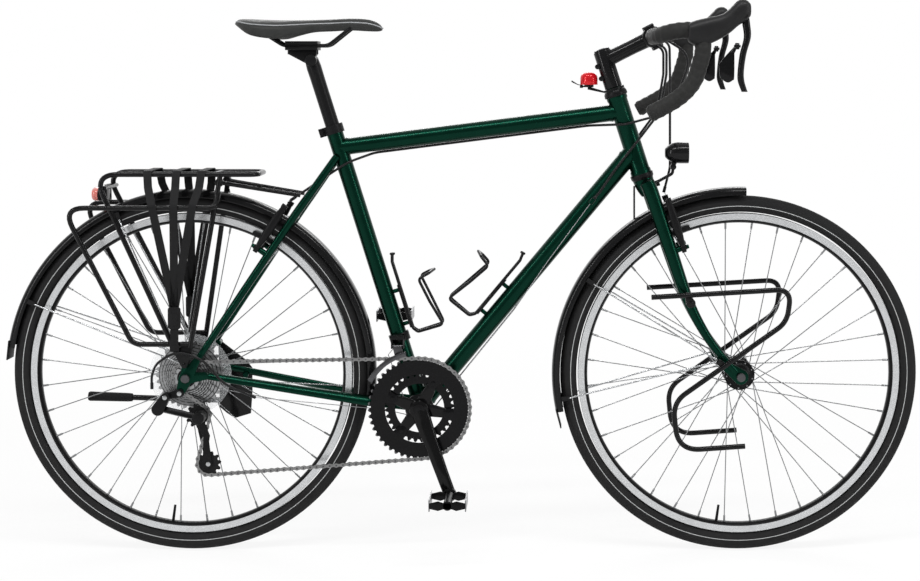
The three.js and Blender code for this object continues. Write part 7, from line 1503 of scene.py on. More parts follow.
def slanted_rings(bm, path, wrap, lap):
    """A tube whose laps run round it at a slant, as tape does when it is wound on."""
    sides = 28
    side = AHEAD
    along = lengthwise(path)
    ends = {0: 13.4, 1: 14.6, len(path) - 1: 13.2}
    rings = []
    for i, point in enumerate(path):
        before, after = path[max(i - 1, 0)], path[min(i + 1, len(path) - 1)]
        heading = (after - before).normalized()
        up = heading.cross(side).normalized()
        side = up.cross(heading).normalized()
        ring = []
        for k in range(sides):
            turn = math.tau * k / sides
            shifted = along[i] + wrap * 0.55 * math.cos(turn)
            share = (shifted / wrap) % 1
            radius = ends.get(i, TAPE_RADIUS + lap * (1 - share if share > 0.1 else share / 0.1))
            ring.append(point + side * (radius * math.cos(turn)) + up * (radius * math.sin(turn)))
        rings.append(ring)
    lofted(bm, rings)


def build_hoods():
    """A soft rubber cover, with a hollow for the thumb and a raised nose."""
    fine = flowing([Vector((row[0], row[1], row[2])) for row in HOOD_SHARES], 3)
    wides = flowing([Vector((row[3], 0, 0)) for row in HOOD_SHARES], 3)
    for name in ("left", "right"):
        bm = bmesh.new()
        rings = []
        for row, wide in zip(fine, wides):
            low, high = HOOD_BASE.z + 86 * row[1], HOOD_BASE.z + 86 * row[2]
            centre = at(HOOD_BASE.x + 115 * row[0], LEVER_Y, (low + high) / 2)
            rings.append(squarish(centre, ACROSS, 20 * wide[0], UPWARD, (high - low) / 2, 32))
        lofted(bm, rings)
        set_on(bm, name)
        make("hood_cover_" + name, bm, "steering", "hood_rubber", nodes=("hood_" + name,), smooth=60,
             levels=1)
        bm = bmesh.new()
        crosswise(bm, at(HOOD_BASE.x + 104, 0, LEVER_PIVOT.z - 1), LEVER_Y - 15.4, LEVER_Y + 15.4, 4.6,
                  sides=28, edge=0.6)
        set_on(bm, name)
        make("hood_pivot_" + name, bm, "steering", "hood_rubber", "black_aluminium", smooth=35)


LEVER_SHARES = (
    (-0.03, -0.45, 0.45), (0.1, -0.55, 0.62), (0.28, -0.35, 0.72), (0.5, -0.75, 0.25), (0.72, -0.95, 0),
    (0.86, -0.95, 0.05), (1, -0.5, 0.4),
)


def build_levers():
    rows = flowing([Vector(row) for row in LEVER_SHARES], 5)
    for name in ("left", "right"):
        bm = bmesh.new()
        rings = []
        for fall, back, front in rows:
            z = LEVER_PIVOT.z - 138 * fall
            half = 17 * (front - back) / 2 * 0.72
            middle = LEVER_PIVOT.x + 17 * front - half
            wide = 4.1 + 2.6 * math.sin(math.pi * min(1, max(0, fall)) ** 0.8)
            rings.append([at(middle + half * squared(math.cos(t)), LEVER_Y + wide * math.sin(t), z)
                          for t in [math.tau * (i + 0.5) / 24 for i in range(24)]])
        lofted(bm, rings)
        crosswise(bm, LEVER_PIVOT, LEVER_Y - 12, LEVER_Y + 12, 3, sides=24, edge=0.3)
        barrel(bm, from_point(PADDLE_PIVOT, -10, 0, LEVER_Y), from_point(PADDLE_PIVOT, 2, 0, LEVER_Y), 2.5,
               sides=20)
        set_on(bm, name)
        make("brake_lever_blade_" + name, bm, "brake_lever_" + name, "lever_black",
             nodes=("brake_lever_" + name,), smooth=50)
        bm = bmesh.new()
        start = from_point(PADDLE_PIVOT, -8, 0)
        shape = [from_point(start, x, z) for x, z in (
            (0, 0), (-26, -29.7), (-27, -44), (-25, -57), (-13, -66), (-3, -62), (0, -54))]
        plate(bm, flowing(shape + [shape[0]], 4)[:-1], 192, 196, edge=1.1, segments=3)
        arm = [from_point(start, x, z) for x, z in ((4, -3), (0, -3), (-9, -12), (0, -12))]
        plate(bm, arm, 192, 201.5, edge=0.5)
        barrel(bm, from_point(PADDLE_PIVOT, -8, 0, LEVER_Y), from_point(PADDLE_PIVOT, -0.4, 0, LEVER_Y), 6,
               sides=28, edge=0.8)
        set_on(bm, name)
        make("shift_paddle_blade_" + name, bm, "shift_paddle_" + name, "lever_black",
             nodes=("shift_paddle_" + name,), smooth=45)


BELL_POST = at(steer(CLAMP_BASE - 2.5).x - 46, 0, steer(CLAMP_BASE - 2.5).z + 4)
HAMMER = at(BELL_POST.x - 2.5 - 9 - 8, 0, BELL_POST.z + 1)


def build_bell():
    bm = bmesh.new()
    ring = [(14.6, -2.2), (20, -2.2), (20, 2.3), (14.6, 2.3)]
    turned(bm, ring, steer(CLAMP_BASE - 2.5), axis=STEER_UP, steps=48)
    spot = at(BELL_POST.x - 2.5, 0, BELL_POST.z - 0.5)
    arm = [steer(CLAMP_BASE - 4.6, -19.5), steer(CLAMP_BASE - 0.5, -19.5), BELL_POST,
           from_point(BELL_POST, -5, 0), from_point(BELL_POST, -5, -5)]
    plate(bm, arm, -4.5, 4.5, edge=0.8)
    turned(bm, [(0, 0), (8.4, 0), (9, 0.6), (9, 9.4), (0, 9.4)], spot, axis=UPWARD, steps=40, closed=False)
    barrel(bm, at(BELL_POST.x - 2.5, 0, HAMMER.z), HAMMER, 1.6, sides=16)
    make("bell_mount", bm, "steering", "bell_red", "black_aluminium", nodes=("bell",), smooth=35)
    bm = bmesh.new()
    dome = [(0, 29.2), (5, 28.8), (10, 27.4), (13.8, 24.9), (16, 21.4), (16.7, 17), (16.8, 6), (16.5, 4.8),
            (15.7, 4.8), (15.6, 16.8), (14.9, 20.8), (12.8, 23.9), (9.4, 26.2), (4.8, 27.6), (0, 28)]
    turned(bm, dome, spot, axis=UPWARD, steps=64, closed=False)
    make("bell_dome", bm, "steering", "bell_red", smooth=40)
    bm = bmesh.new()
    turned(bm, [(0, 28.6), (3.2, 28.7), (3.4, 29), (2.6, 29.4), (0, 29.5)], spot, axis=UPWARD, steps=28,
           closed=False)
    make("bell_cap", bm, "steering", "bell_red", "stay_silver", smooth=35)
    bm = bmesh.new()
    barrel(bm, from_point(HAMMER, 5.5, 0), from_point(HAMMER, -0.5, 0), 3, sides=24, edge=0.4)
    tab = [from_point(HAMMER, x, z) for x, z in (
        (4, 3), (2, 2.4), (-4, 2.4), (-16, 8), (-17, 10), (-16, 11.6), (-4, 4.2))]
    plate(bm, tab, -4.5, 4.5, edge=0.6)
    make("bell_striker", bm, "bell_hammer", "black_plastic", nodes=("bell_hammer",), smooth=40)


# Seat

POST_HEAD = seat(698)
RAIL_X = POST_HEAD.x - 17
RAIL_Z = 978
COLLAR = 559.5


SADDLE_SHARES = (
    (0.0, 0.3, 0.2, 0.26, 0.3), (0.03, 0.62, 0.06, 0.16, 0.42), (0.11, 0.94, 0.05, 0.22, 0.78),
    (0.2, 1, 0.08, 0.26, 0.94), (0.31, 0.9, 0.1, 0.28, 0.98), (0.41, 0.66, 0.1, 0.26, 0.82),
    (0.52, 0.44, 0.09, 0.23, 0.66), (0.65, 0.31, 0.06, 0.2, 0.62), (0.78, 0.26, 0.02, 0.16, 0.58),
    (0.9, 0.23, 0.06, 0.2, 0.62), (0.97, 0.17, 0.22, 0.34, 0.62), (1.0, 0.08, 0.42, 0.46, 0.56),
)


def saddle_rows():
    """Even rows along the saddle: place, half width, and the heights of crown, edge and skirt."""
    first = flowing([Vector(row[:3]) for row in SADDLE_SHARES], 4)
    second = flowing([Vector((row[3], row[4], 0)) for row in SADDLE_SHARES], 4)
    rows = []
    for one, two in zip(first, second):
        half = max(3.5, 75 * one[1])
        rows.append((-351.5 + 280 * min(1, max(0, one[0])), half, 1031 - 42 * one[2], 1031 - 42 * two[0],
                     1031 - 42 * two[1]))
    return rows


def saddle_ring(row):
    """One section: a crowned top, a rounded shoulder and a skirt that tucks in."""
    x, half, crown, edge, skirt = row
    top, hollow = crown, skirt + (crown - skirt) * 0.62
    flank = []
    for share, drop in ((0.22, 0.03), (0.45, 0.14), (0.66, 0.42), (0.82, 0.85)):
        flank.append((half * share, top + (edge - top) * drop))
    flank += [(half * 0.93, edge + (skirt - edge) * 0.14), (half * 0.99, edge + (skirt - edge) * 0.32),
              (half, edge + (skirt - edge) * 0.52), (half * 0.985, edge + (skirt - edge) * 0.78),
              (half * 0.955, skirt)]
    inner = [(half * 0.86, skirt + 1.5), (half * 0.6, skirt + (hollow - skirt) * 0.7)]
    right = flank + inner
    points = [at(x, 0, top)] + [at(x, y, z) for y, z in right] + [at(x, 0, hollow)]
    return points + [at(x, -y, z) for y, z in reversed(right)]


def build_saddle():
    rows = saddle_rows()
    bm = bmesh.new()
    lofted(bm, [saddle_ring(row) for row in rows])
    cover = make("saddle_cover", bm, "seat", "saddle_leather", nodes=("saddle",), smooth=60, levels=1)
    bm = bmesh.new()
    line = [saddle_ring(row)[5] + Vector((0, 0.35, 0.35)) for row in rows[3:-1]]
    nose = line[-1].lerp(beside(line[-1], 0), 0.55) + Vector((1.6, 0, -0.6))
    whole = line + [nose, beside(nose, 0) + Vector((0.8, 0, 0))]
    rear = [beside(line[0], line[0].y * share) + Vector((-2.6 * (1 - share**2), 0,
                                                         0.8)) for share in (0, 0.35, 0.7)]
    swept(bm, spaced(flowing(rear + whole, 4), 4), 1.15, sides=10)
    mirrored(bm)
    make("saddle_piping", bm, "seat", "saddle_leather", "piping", smooth=60)
    build_rails()


def build_rails():
    bm = bmesh.new()
    for y in (-22, 22):
        path = [at(RAIL_X - 66, y, RAIL_Z + 20), at(RAIL_X - 34.5, y, RAIL_Z), at(RAIL_X + 51, y, RAIL_Z),
                at(RAIL_X + 94, y * 0.8, RAIL_Z + 34)]
        swept(bm, rounded(path, 26, 8), 3.5, sides=20)
    crosswise(bm, at(RAIL_X - 66, 0, RAIL_Z + 20), -24, 24, 4.5, sides=20, edge=0.8)
    make("saddle_rails", bm, "seat", "saddle_leather", "black_aluminium", smooth=45)


def build_seatpost():
    bm = bmesh.new()
    head = POST_HEAD
    middle = at(RAIL_X, 0, RAIL_Z)
    swept(bm, [seat(365), seat(640), seat(668), seat(684), POST_HEAD], [13.6, 13.6, 13.8, 14.2, 13], sides=48)
    crosswise(bm, head, -22, 22, 11, sides=44, edge=1.4)
    low, high = middle.z - 8.5, middle.z + 8.5
    for start, end in ((low, RAIL_Z - 1.6), (RAIL_Z + 1.6, high)):
        block = [at(middle.x + x, 0, z) for x, z in ((-31, start), (31, start), (31, end), (-31, end))]
        plate(bm, block, -28, 28, edge=1.5)
    yoke = [at(middle.x - 27.5, 0, low - 7.5), at(head.x, 0, head.z - 11), at(middle.x + 27.5, 0, low - 7.5),
            at(middle.x + 27.5, 0, low + 0.5), at(middle.x - 27.5, 0, low + 0.5)]
    plate(bm, yoke, -11, 11, edge=1.4)
    for x in (-27, 27):
        barrel(bm, at(middle.x + x, 0, low - 8), at(middle.x + x, 0, high), 2.6, sides=20)
        barrel(bm, at(middle.x + x, 0, high - 2.2), at(middle.x + x, 0, high - 0.1), 4.6, sides=24, edge=0.4)
    make("post_and_head", bm, "seat", "black_aluminium", nodes=("seatpost",), smooth=40)
    bm = bmesh.new()
    half = 8.5
    turned(bm, [(14, -half), (19.5, -half), (19.5, half), (14, half)], seat(COLLAR), axis=SEAT_UP, steps=56)
    ears = [seat(COLLAR + up, back) for up,
            back in ((-half, -18), (half, -18), (half, -28.5), (-half, -28.5))]
    plate(bm, ears, -6, -1, edge=0.8)
    plate(bm, ears, 1, 6, edge=0.8)
    bolt = seat(COLLAR, -24)
    crosswise(bm, bolt, -8.4, 8.4, 2.5, sides=24, edge=0.4)
    crosswise(bm, bolt, 6, 9.8, 4.2, sides=28, edge=0.5)
    crosswise(bm, bolt, -9.8, -6, 4.2, sides=28, edge=0.5)
    make("seat_clamp", bm, "frame", "black_aluminium", nodes=("seat_collar",), smooth=38)


# Brakes

TRACK_RADIUS = 302
ARM_HEIGHT = 98


def brake_arm(bm, root, outward, upward, centre):
    """One arm: a bowed bar on its stud, with a pad against the rim's track."""
    start = root + outward * 20.3
    middle = start + outward * 4.5
    rows = flowing([Vector((0, 0, 1)), Vector((0.3, 0.6, 1)), Vector((0.6, 0.9, 0.85)),
                    Vector((1, 0.3, 0.75))], 6)
    rings = []
    for along, lean, width in rows:
        spot = middle + upward * (ARM_HEIGHT * along) + ACROSS * (8 * lean)
        thick = 4.5 + 4 * math.sin(math.pi * min(1, max(0, along)))
        rings.append(squarish(spot, ACROSS, 7 * width, outward, thick))
    lofted(bm, rings)
    barrel(bm, start, start + outward * 9, 9, sides=36, edge=1.0)
    barrel(bm, start + outward * 8.6, start + outward * 11.4, 5, sides=6)
    top_spot = middle + upward * 96 + ACROSS * 2.6
    barrel(bm, top_spot - outward * 6, top_spot + outward * 6, 4.2, sides=24, edge=0.5)
    pad = reach_from(middle, upward, centre, TRACK_RADIUS)
    barrel(bm, beside(pad, 26.5), beside(pad, middle.y + 7), 4, sides=24, edge=0.4)
    barrel(bm, beside(pad, middle.y + 6.6), beside(pad, middle.y + 9.4), 5.6, sides=28, edge=0.5)
    return pad


def brake_pad(bm, pad, centre):
    """A holder and its rubber block, bent to the rim."""
    radial = (beside(pad, 0) - centre).normalized()
    tangent = Vector((-radial.z, 0, radial.x))
    rows = [(along, along**2 / (2 * TRACK_RADIUS)) for along in range(-25, 26, 5)]
    for low, high, tall in ((15, 22.5, 4.2), (22.8, 27, 3.6)):
        rings = []
        for along, bend in rows:
            trim = 0.75 if abs(along) > 24 else 1.0
            spot = beside(pad, 0) + tangent * along - radial * bend
            rings.append([beside(spot + radial * (tall * trim * up), y) for y, up in (
                (low + 0.5, -0.86), (high - 0.6, -1), (high, -0.8), (high, 0.8), (high - 0.6, 1),
                (low + 0.5, 0.86), (low, 0.7), (low, -0.7))])
        lofted(bm, rings)


def build_brakes():
    for name, root, outward, upward, centre in (
        ("rear", REAR_BOSS, STAY_BACK, STAY_UP, REAR), ("front", FRONT_BOSS, STEER_AHEAD, STEER_UP, FRONT),
    ):
        for side_name in ("left", "right"):
            node = name + "_brake_arm_" + side_name
            bm = bmesh.new()
            pad = brake_arm(bm, root, outward, upward, centre)
            set_on(bm, side_name)
            make(node + "_bar", bm, node, "black_aluminium", nodes=(node,), smooth=40)
            bm = bmesh.new()
            brake_pad(bm, pad, centre)
            set_on(bm, side_name)
            make(node + "_pad", bm, node, "black_aluminium", "strap_rubber", smooth=40)


# Mudguards


GUARD_SHARES = ((1, 1), (0.985, 0.72), (0.93, 0.44), (0.8, 0.22), (0.6, 0.09), (0.3, 0.02), (0, 0))


def guard_skin(bm, centre, radius, start, end):
    """A curved blade with two low ribs, between two angles round a wheel."""
    steps = round(end - start)
    outer = [(out, fall) for out, fall in GUARD_SHARES] + [(-out, fall) for out,
                                                           fall in reversed(GUARD_SHARES[:-1])]
    rings = []
    for i in range(0, steps + 1, 2):
        degrees = start + (end - start) * i / steps
        ring = []
        for lift, row in ((1.6, outer), (0, outer[::-1])):
            for out, fall in row:
                rib = 0.5 * math.exp(-((abs(out) - 0.55) / 0.07) ** 2)
                ring.append(polar(centre, radius + lift + (rib if lift else 0) - 14 * fall, degrees,
                                  (22.5 + lift) * out))
        rings.append(ring)
    lofted(bm, rings)


def guard_stay(bm, centre, radius, degrees, foot, foot_y, clips):
    """One wire from the mudguard's edge to the dropout, with its clip."""
    start = polar(centre, radius - 23, degrees, 24.7)
    end = beside(foot, foot_y)
    barrel(bm, start, end, 1.6, sides=16)
    lean = math.degrees(4.5 / radius)
    clip = [polar(centre, radius - reach, degrees + turn) for reach,
            turn in ((13.5, -lean), (13.5, lean), (32, lean), (32, -lean))]
    plate(clips, clip, 20.9, 27, edge=0.8)


def build_mudguards():
    for name, centre, radius, start, end, body, foot, foot_y, stays in (
        ("rear", REAR, GUARD_REAR, -10, 171.5, "frame", EYELET_REAR, 76.3, (155.5, 114)),
        ("front", FRONT, GUARD_FRONT, 88, 193, "steering", EYELET_FRONT, 63.5, (148, 188)),
    ):
        bm = bmesh.new()
        guard_skin(bm, centre, radius, start, end)
        if name == "front":
            low = polar(FRONT, GUARD_FRONT, 124.5)
            high = steer(FORK_LENGTH - 8, -19)
            tab = [at(low.x, 0, low.z), at(low.x + 3.2, 0, low.z), at(high.x, 0, high.z),
                   at(high.x - 3.2, 0, high.z)]
            plate(bm, tab, -9, 9, edge=0.5)
        make(name + "_guard", bm, body, "lever_black", "black_paint", nodes=(name + "_mudguard",), smooth=40)
        stays_bm, clips = bmesh.new(), bmesh.new()
        for degrees in stays:
            guard_stay(stays_bm, centre, radius, degrees, foot, foot_y, clips)
        crosswise(stays_bm, foot, foot_y - 3.2, foot_y + 1.6, 4.6, sides=24, edge=0.4)
        mirrored(stays_bm)
        mirrored(clips)
        make(name + "_guard_stays", stays_bm, body, "lever_black", "stay_silver", smooth=40)
        flap = [polar(centre, radius - 1.2 + lift, degrees) for lift, degrees in (
            (0, end - 2), (-0.6, end + 4), (1.8, end + 4), (2.4, end - 2))]
        plate(clips, flap, -22.3, 22.3, edge=0.6)
        make(name + "_guard_clips", clips, body, "lever_black", "strap_rubber", smooth=40)


# Racks and straps


DECK_Z = 733
DECK_REAR = REAR.x - 140
DECK_FRONT = REAR.x + 136
STRAP_WIDE = 15.5
STRAP_THICK = 1.8
LEG_Y = 76.3 + 1.6 + GAP + ROD_RADIUS


def build_rear_rack():
    half = bmesh.new()
    foot = from_rear(-17, 55, LEG_Y)
    deck = [at(DECK_FRONT, 0, DECK_Z), at(DECK_FRONT, 50, DECK_Z), at(REAR.x - 176, 50, DECK_Z), foot]
    swept(half, rounded(deck, 30, 10), ROD_RADIUS, sides=20)
    for share in (0.2, 0.45, 0.7):
        x = DECK_REAR + (DECK_FRONT - DECK_REAR) * share
        barrel(half, at(x, 0, DECK_Z), at(x, 50, DECK_Z), 4, sides=18)
    barrel(half, at(REAR.x + 66, 50, DECK_Z), from_rear(11, 60, LEG_Y), ROD_RADIUS, sides=20)
    barrel(half, at(DECK_REAR - 15, 0, DECK_Z - 26), at(DECK_REAR - 15, 51, DECK_Z - 26), 4, sides=18)
    rail = [from_rear(62, 352, 50), from_rear(62, 326, 80), from_rear(-228, 326, 80), from_rear(-98, 67, 80),
            from_rear(14, 67, 80)]
    swept(half, rounded(rail, 26, 8), ROD_RADIUS, sides=20)
    barrel(half, from_rear(-145, 326, 54), from_rear(-145, 326, 80), 4, sides=18)
    feet = hulled([(EYELET_REAR, 6), (beside(foot, 0), 5), (from_rear(11, 60), 5)])
    plate(half, feet, 78.2, 82.2, edge=0.9)
    crosswise(half, EYELET_REAR, 82, 85, 4.4, sides=24, edge=0.5)
    middle = reach_from(beside(SEATSTAY[1], 0), STAY_UP, REAR, 408)
    tie_start = at(DECK_FRONT - 73, 42, DECK_Z - 16)
    barrel(half, tie_start, at(middle.x + STAY_BACK.x * 12.3, 30, middle.z + STAY_BACK.z * 12.3), 4, sides=18)
    crosswise(half, tie_start, 38, 52, 8, sides=28, edge=0.8)
    mirrored(half)
    x = DECK_REAR - 13 - 5
    back = [at(x - 4, 0, DECK_Z - 54), at(x + 0.5, 0, DECK_Z - 54), at(x + 0.5, 0, DECK_Z - 21),
            at(x - 4, 0, DECK_Z - 21)]
    plate(half, back, -20.7, 20.7, edge=1.0)
    make("rack_rods", half, "frame", "black_paint", nodes=("rear_rack",), smooth=45)
    build_rear_light(x - 4.3)


def build_rear_light(front_x):
    middle = DECK_Z - 26 - 14
    for name, look, lens in (("rear_light_case", "black_plastic", False),
                             ("rear_light_lens", "lamp_lens", True)):
        bm = bmesh.new()
        rings = []
        rows = ((0, 0.7), (3, 0.84), (6.5, 0.97), (8, 1.0), (11, 1.0)) if not lens else (
            (11.4, 0.985), (16, 0.99), (20, 0.965), (22.6, 0.9), (23.8, 0.78))
        for back, size in rows:
            rings.append(squarish(at(front_x - back, 0, middle), ACROSS, 31 * size, UPWARD, 14 * size, 44))
        lofted(bm, rings)
        nodes = ("rear_light",) if lens else ()
        make(name, bm, "frame", "lamp_lens", look, nodes=nodes, smooth=45)


def band(bm, path, width, thick):
    """A flat strap along a path, its width lying along the bicycle."""
    rings = []
    for i, point in enumerate(path):
        heading = (path[min(i + 1, len(path) - 1)] - path[max(i - 1, 0)]).normalized()
        lie = (AHEAD - heading * heading.x).normalized()
        out = heading.cross(lie).normalized()
        rings.append([point + lie * (width / 2 * w) + out * (thick / 2 * t) for w, t in (
            (0.96, 1), (0, 1), (-0.96, 1), (-1, 0.4), (-1, -0.4), (-0.96, -1), (0, -1), (0.96, -1), (1, -0.4),
            (1, 0.4))])
    lofted(bm, rings)


def build_straps():
    top_z = DECK_Z + ROD_RADIUS + STRAP_THICK + GAP
    side_y = 80 + ROD_RADIUS + 0.9 + GAP
    buckle = from_rear(-17, 118, side_y + 3)
    half = bmesh.new()
    for x in (-72, -17, 31):
        start = REAR.x + x
        lean = buckle.x - start
        path = [at(start, -0.2, top_z), at(start, 40, top_z), at(start, 56, top_z - 0.6),
                at(start + lean * 0.06, 66, DECK_Z - 24), at(start + lean * 0.25, side_y, REAR.z + 331),
                buckle + at(0, -1.6, 14)]
        band(half, rounded(path, 16, 5), STRAP_WIDE, STRAP_THICK)
    hook = from_rear(-17, 67, LEG_Y + 6.8)
    band(half, [buckle + Vector((0, -1, -8)), buckle.lerp(hook, 0.6), hook], STRAP_WIDE, STRAP_THICK)
    mirrored(half)
    make("strap_bands", half, "frame", "strap_rubber", nodes=("rack_straps",), smooth=40)
    half = bmesh.new()
    shape = rounded_box(buckle.x, buckle.z, 12, 21, 5)
    plate(half, shape, buckle.y - 2.6, buckle.y + 2.4, edge=1.0)
    plate(half, rounded_box(buckle.x, buckle.z - 3, 7.5, 12, 3), buckle.y + 2.2, buckle.y + 3.4, edge=0.5)
    plate(half, rounded_box(hook.x, hook.z - 6, 9, 7, 3), hook.y - 1.6, hook.y + 1.6, edge=0.8)
    mirrored(half)
    make("strap_buckles", half, "frame", "strap_rubber", "black_plastic", smooth=40)


def rounded_box(x, z, half_x, half_z, corner):
    """The outline of a rectangle with round corners."""
    points = []
    for cx, cz, base in ((1, 1, 0), (-1, 1, 90), (-1, -1, 180), (1, -1, 270)):
        centre = at(x + cx * (half_x - corner), 0, z + cz * (half_z - corner))
        points += [polar(centre, corner, base + 15 * k) for k in range(7)]
    return points


def build_low_racks():
    plan = [(-173, 156.5), (92, 172), (84, 109), (-131, -44), (-122, -137), (6, -128)]
    for name in ("left", "right"):
        bm = bmesh.new()
        swept(bm, rounded([from_front(x, z, 80) for x, z in plan], 50, 12), ROD_RADIUS, sides=24)
        lug_foot = from_front(-173 * 0.6, 156.5)
        plate(bm, hulled([(beside(LOW_BOSS, 0), 9), (lug_foot, 5)]), 68.3, 80, edge=1.0)
        cross = from_front(84 * 0.45 - 131 * 0.55, 109 * 0.45 - 44 * 0.55)
        plate(bm, hulled([(EYELET_FRONT, 6), (cross, 5)]), 76, 80, edge=0.8)
        crosswise(bm, EYELET_FRONT, 65.6, 80, 5, sides=24, edge=0.4)
        crosswise(bm, EYELET_FRONT, 79.8, 83, 4.2, sides=6)
        crosswise(bm, LOW_BOSS, 79.8, 83.2, 4.6, sides=24, edge=0.5)
        set_on(bm, name)
        make("low_rack_" + name, bm, "steering", "black_paint", nodes=("lowrider_" + name,), smooth=45)


# Bottle cages, lamp, kickstand and cables


def build_bottle_cages():
    radius = bpy.context.scene.bicycle_sizes.rod * 500
    for name, point_of, reach, base in (("seat_tube", seat, STEEL_TUBE, 150),
                                        ("down_tube", down, DOWN_TUBE_RADIUS, 207)):
        def back(along, out, y=0.0):
            return point_of(base + along, reach + 10 + out, y)

        half = bmesh.new()
        wire = [back(146, 9, 5), back(132, 4.5, 5), back(-2, 4.5, 6), back(-12, 12, 9), back(-12, 64, 16),
                back(40, 54, 35), back(88, 46, 36), back(92, 68, 28), back(94, 78, 0)]
        swept(half, rounded(wire, 8, 6), radius, sides=14)
        barrel(half, back(144, 9), back(149, 10), 5.4, sides=24, edge=2)
        mirrored(half)
        plate(half, [back(0, 0), back(86, 0), back(86, 3), back(0, 3)], -9, 9, edge=0.9)
        plate(half, [back(24, 2.5), back(62, 2.5), back(62, 4.5), back(24, 4.5)], -6, 6, edge=0.6)
        make("cage_" + name, half, "frame", "black_paint", nodes=("bottle_cage_" + name,), smooth=45)
        bolts = bmesh.new()
        for along in (10, 76):
            barrel(bolts, back(along, 2.9), back(along, 4.9), 4, sides=24, edge=0.5)
        make("cage_bolts_" + name, bolts, "frame", "black_paint", "axle_steel", smooth=35)


def build_headlight():
    centre = at(495, 0, 772)
    bm = bmesh.new()
    profile = [(0, -23), (7, -22.8), (9.4, -21.6), (13.6, -17), (17.4, -11.5), (19.4, -5), (20.3, 1),
               (20.5, 8), (20.5, 21.6), (19.9, 22.8), (18.6, 22.8), (18.2, 21), (17.6, 18), (0, 17.6)]
    turned(bm, profile, centre, axis=AHEAD, steps=64, closed=False)
    hinge = from_point(centre, -7, -27)
    crosswise(bm, hinge, -7, 7, 6, sides=32, edge=0.8)
    neck = [from_point(hinge, x, z) for x, z in ((-3, 0), (3, 0), (10, 12), (-4, 12))]
    plate(bm, neck, -3, 3, edge=0.8)
    front = steer(FORK_LENGTH - 16, 19)
    path = [hinge, from_point(hinge, -1, -13), front + STEER_AHEAD * 8 + STEER_UP * 3]
    swept(bm, rounded(path, 8, 5), 3, sides=18)
    barrel(bm, front + STEER_AHEAD * 0.3, front + STEER_AHEAD * 9, 6, sides=32, edge=0.8)
    make("lamp_housing", bm, "steering", "black_plastic", "black_paint", nodes=("headlight",), smooth=40)
    bm = bmesh.new()
    bowl = [(0, 17.9), (6, 18.3), (12, 19.4), (17.4, 21.6), (17.4, 21.2), (12, 18.9), (6, 17.8), (0, 17.6)]
    turned(bm, bowl, centre, axis=AHEAD, steps=56, closed=False)
    make("lamp_reflector", bm, "steering", "black_plastic", "lamp_mirror", smooth=40)
    bm = bmesh.new()
    glass = [(0, 22.9), (8, 22.8), (15, 22.4), (18.1, 21.9), (18.1, 21.5), (0, 21.5)]
    turned(bm, glass, centre, axis=AHEAD, steps=56, closed=False)
    make("lamp_glass", bm, "steering", "lamp_lens", "lamp_glass", smooth=40)


STAND_LEAN = math.radians(22)
STAND_AXIS = Vector((0, math.cos(STAND_LEAN), math.sin(STAND_LEAN)))
STAND_FOOT = from_rear(60, -76, 77.8)
STAND_RISE = math.radians(2)
LEG_ALONG = Vector((-math.cos(STAND_RISE), -math.sin(STAND_LEAN) * math.sin(STAND_RISE),
                    math.cos(STAND_LEAN) * math.sin(STAND_RISE)))


def build_kickstand():
    boss_end = 14 * math.tan(STAND_LEAN) + 0.6
    outline = [from_rear(37 + 67 * along, -103 + 159 * up) for along, up in (
        (0, 1), (0.82, 0.73), (1, 0.635), (1, 0.34), (0.95, 0.06), (0.48, 0), (0.25, 0.06), (0.03, 0.14))]
    bm = bmesh.new()
    plate(bm, outline, 72.8, 77.8, edge=1.2)
    barrel(bm, STAND_FOOT, STAND_FOOT + STAND_AXIS * boss_end, 11, sides=40)
    barrel(bm, STAND_FOOT, STAND_FOOT + STAND_AXIS * (boss_end + 16.9), 5, sides=28)
    for point in (from_rear(94, -12), from_rear(40, 50)):
        crosswise(bm, point, 77.6, 81.6, 5.2, sides=28, edge=0.7)
        crosswise(bm, point, 81.2, 81.8, 2.6, sides=6)
    make("stand_plate", bm, "frame", "black_paint", nodes=("kickstand_bracket",), smooth=40)
    bm = bmesh.new()
    low = STAND_FOOT + STAND_AXIS * (boss_end + 0.3)
    middle = low + STAND_AXIS * 8
    ring = [(5.6, -8), (13, -8), (14, -7), (14, 7), (13, 8), (5.6, 8)]
    turned(bm, ring, middle, axis=STAND_AXIS, steps=56)
    swept(bm, [middle + LEG_ALONG * along for along in (8, 20, 190, 198)], [7, 5.5, 5.5, 5.5], sides=28)
    make("stand_leg", bm, "kickstand", "black_paint", nodes=("kickstand",), smooth=40)
    bm = bmesh.new()
    swept(bm, [middle + LEG_ALONG * along for along in (196, 197.5, 206, 270, 281, 284)],
          [6, 8, 8.6, 9.2, 9.5, 8], sides=32)
    make("stand_grip", bm, "kickstand", "black_paint", "strap_rubber", smooth=40)


def cable_piece(name, runs, bare, node):
    """Housings with a cap at each end, and the bare wire between them."""
    radius = bpy.context.scene.bicycle_sizes.housing * 500
    bm = bmesh.new()
    for run in runs:
        swept(bm, run, radius, sides=14)
        for end, inner in ((run[0], run[1]), (run[-1], run[-2])):
            heading = (inner - end).normalized()
            swept(bm, [end - heading * 0.4, end + heading * 11, end + heading * 12],
                  [radius + 0.7, radius + 0.7, radius + 0.1], sides=16)
    body = "steering" if node == "front_brake_cable" else "frame"
    make(name, bm, body, "cable_housing", nodes=(node,), smooth=50)
    bm = bmesh.new()
    for run in bare:
        swept(bm, run, 0.8, sides=8)
    make(name + "_wire", bm, body, "cable_housing", "bare_cable", smooth=50)


def bar_exit(degrees, y):
    return polar(BAR, BAR_RADIUS + HOUSING_RADIUS + GAP, degrees, y)


def other_side(points):
    return [at(point.x, -point.y, point.z) for point in points]


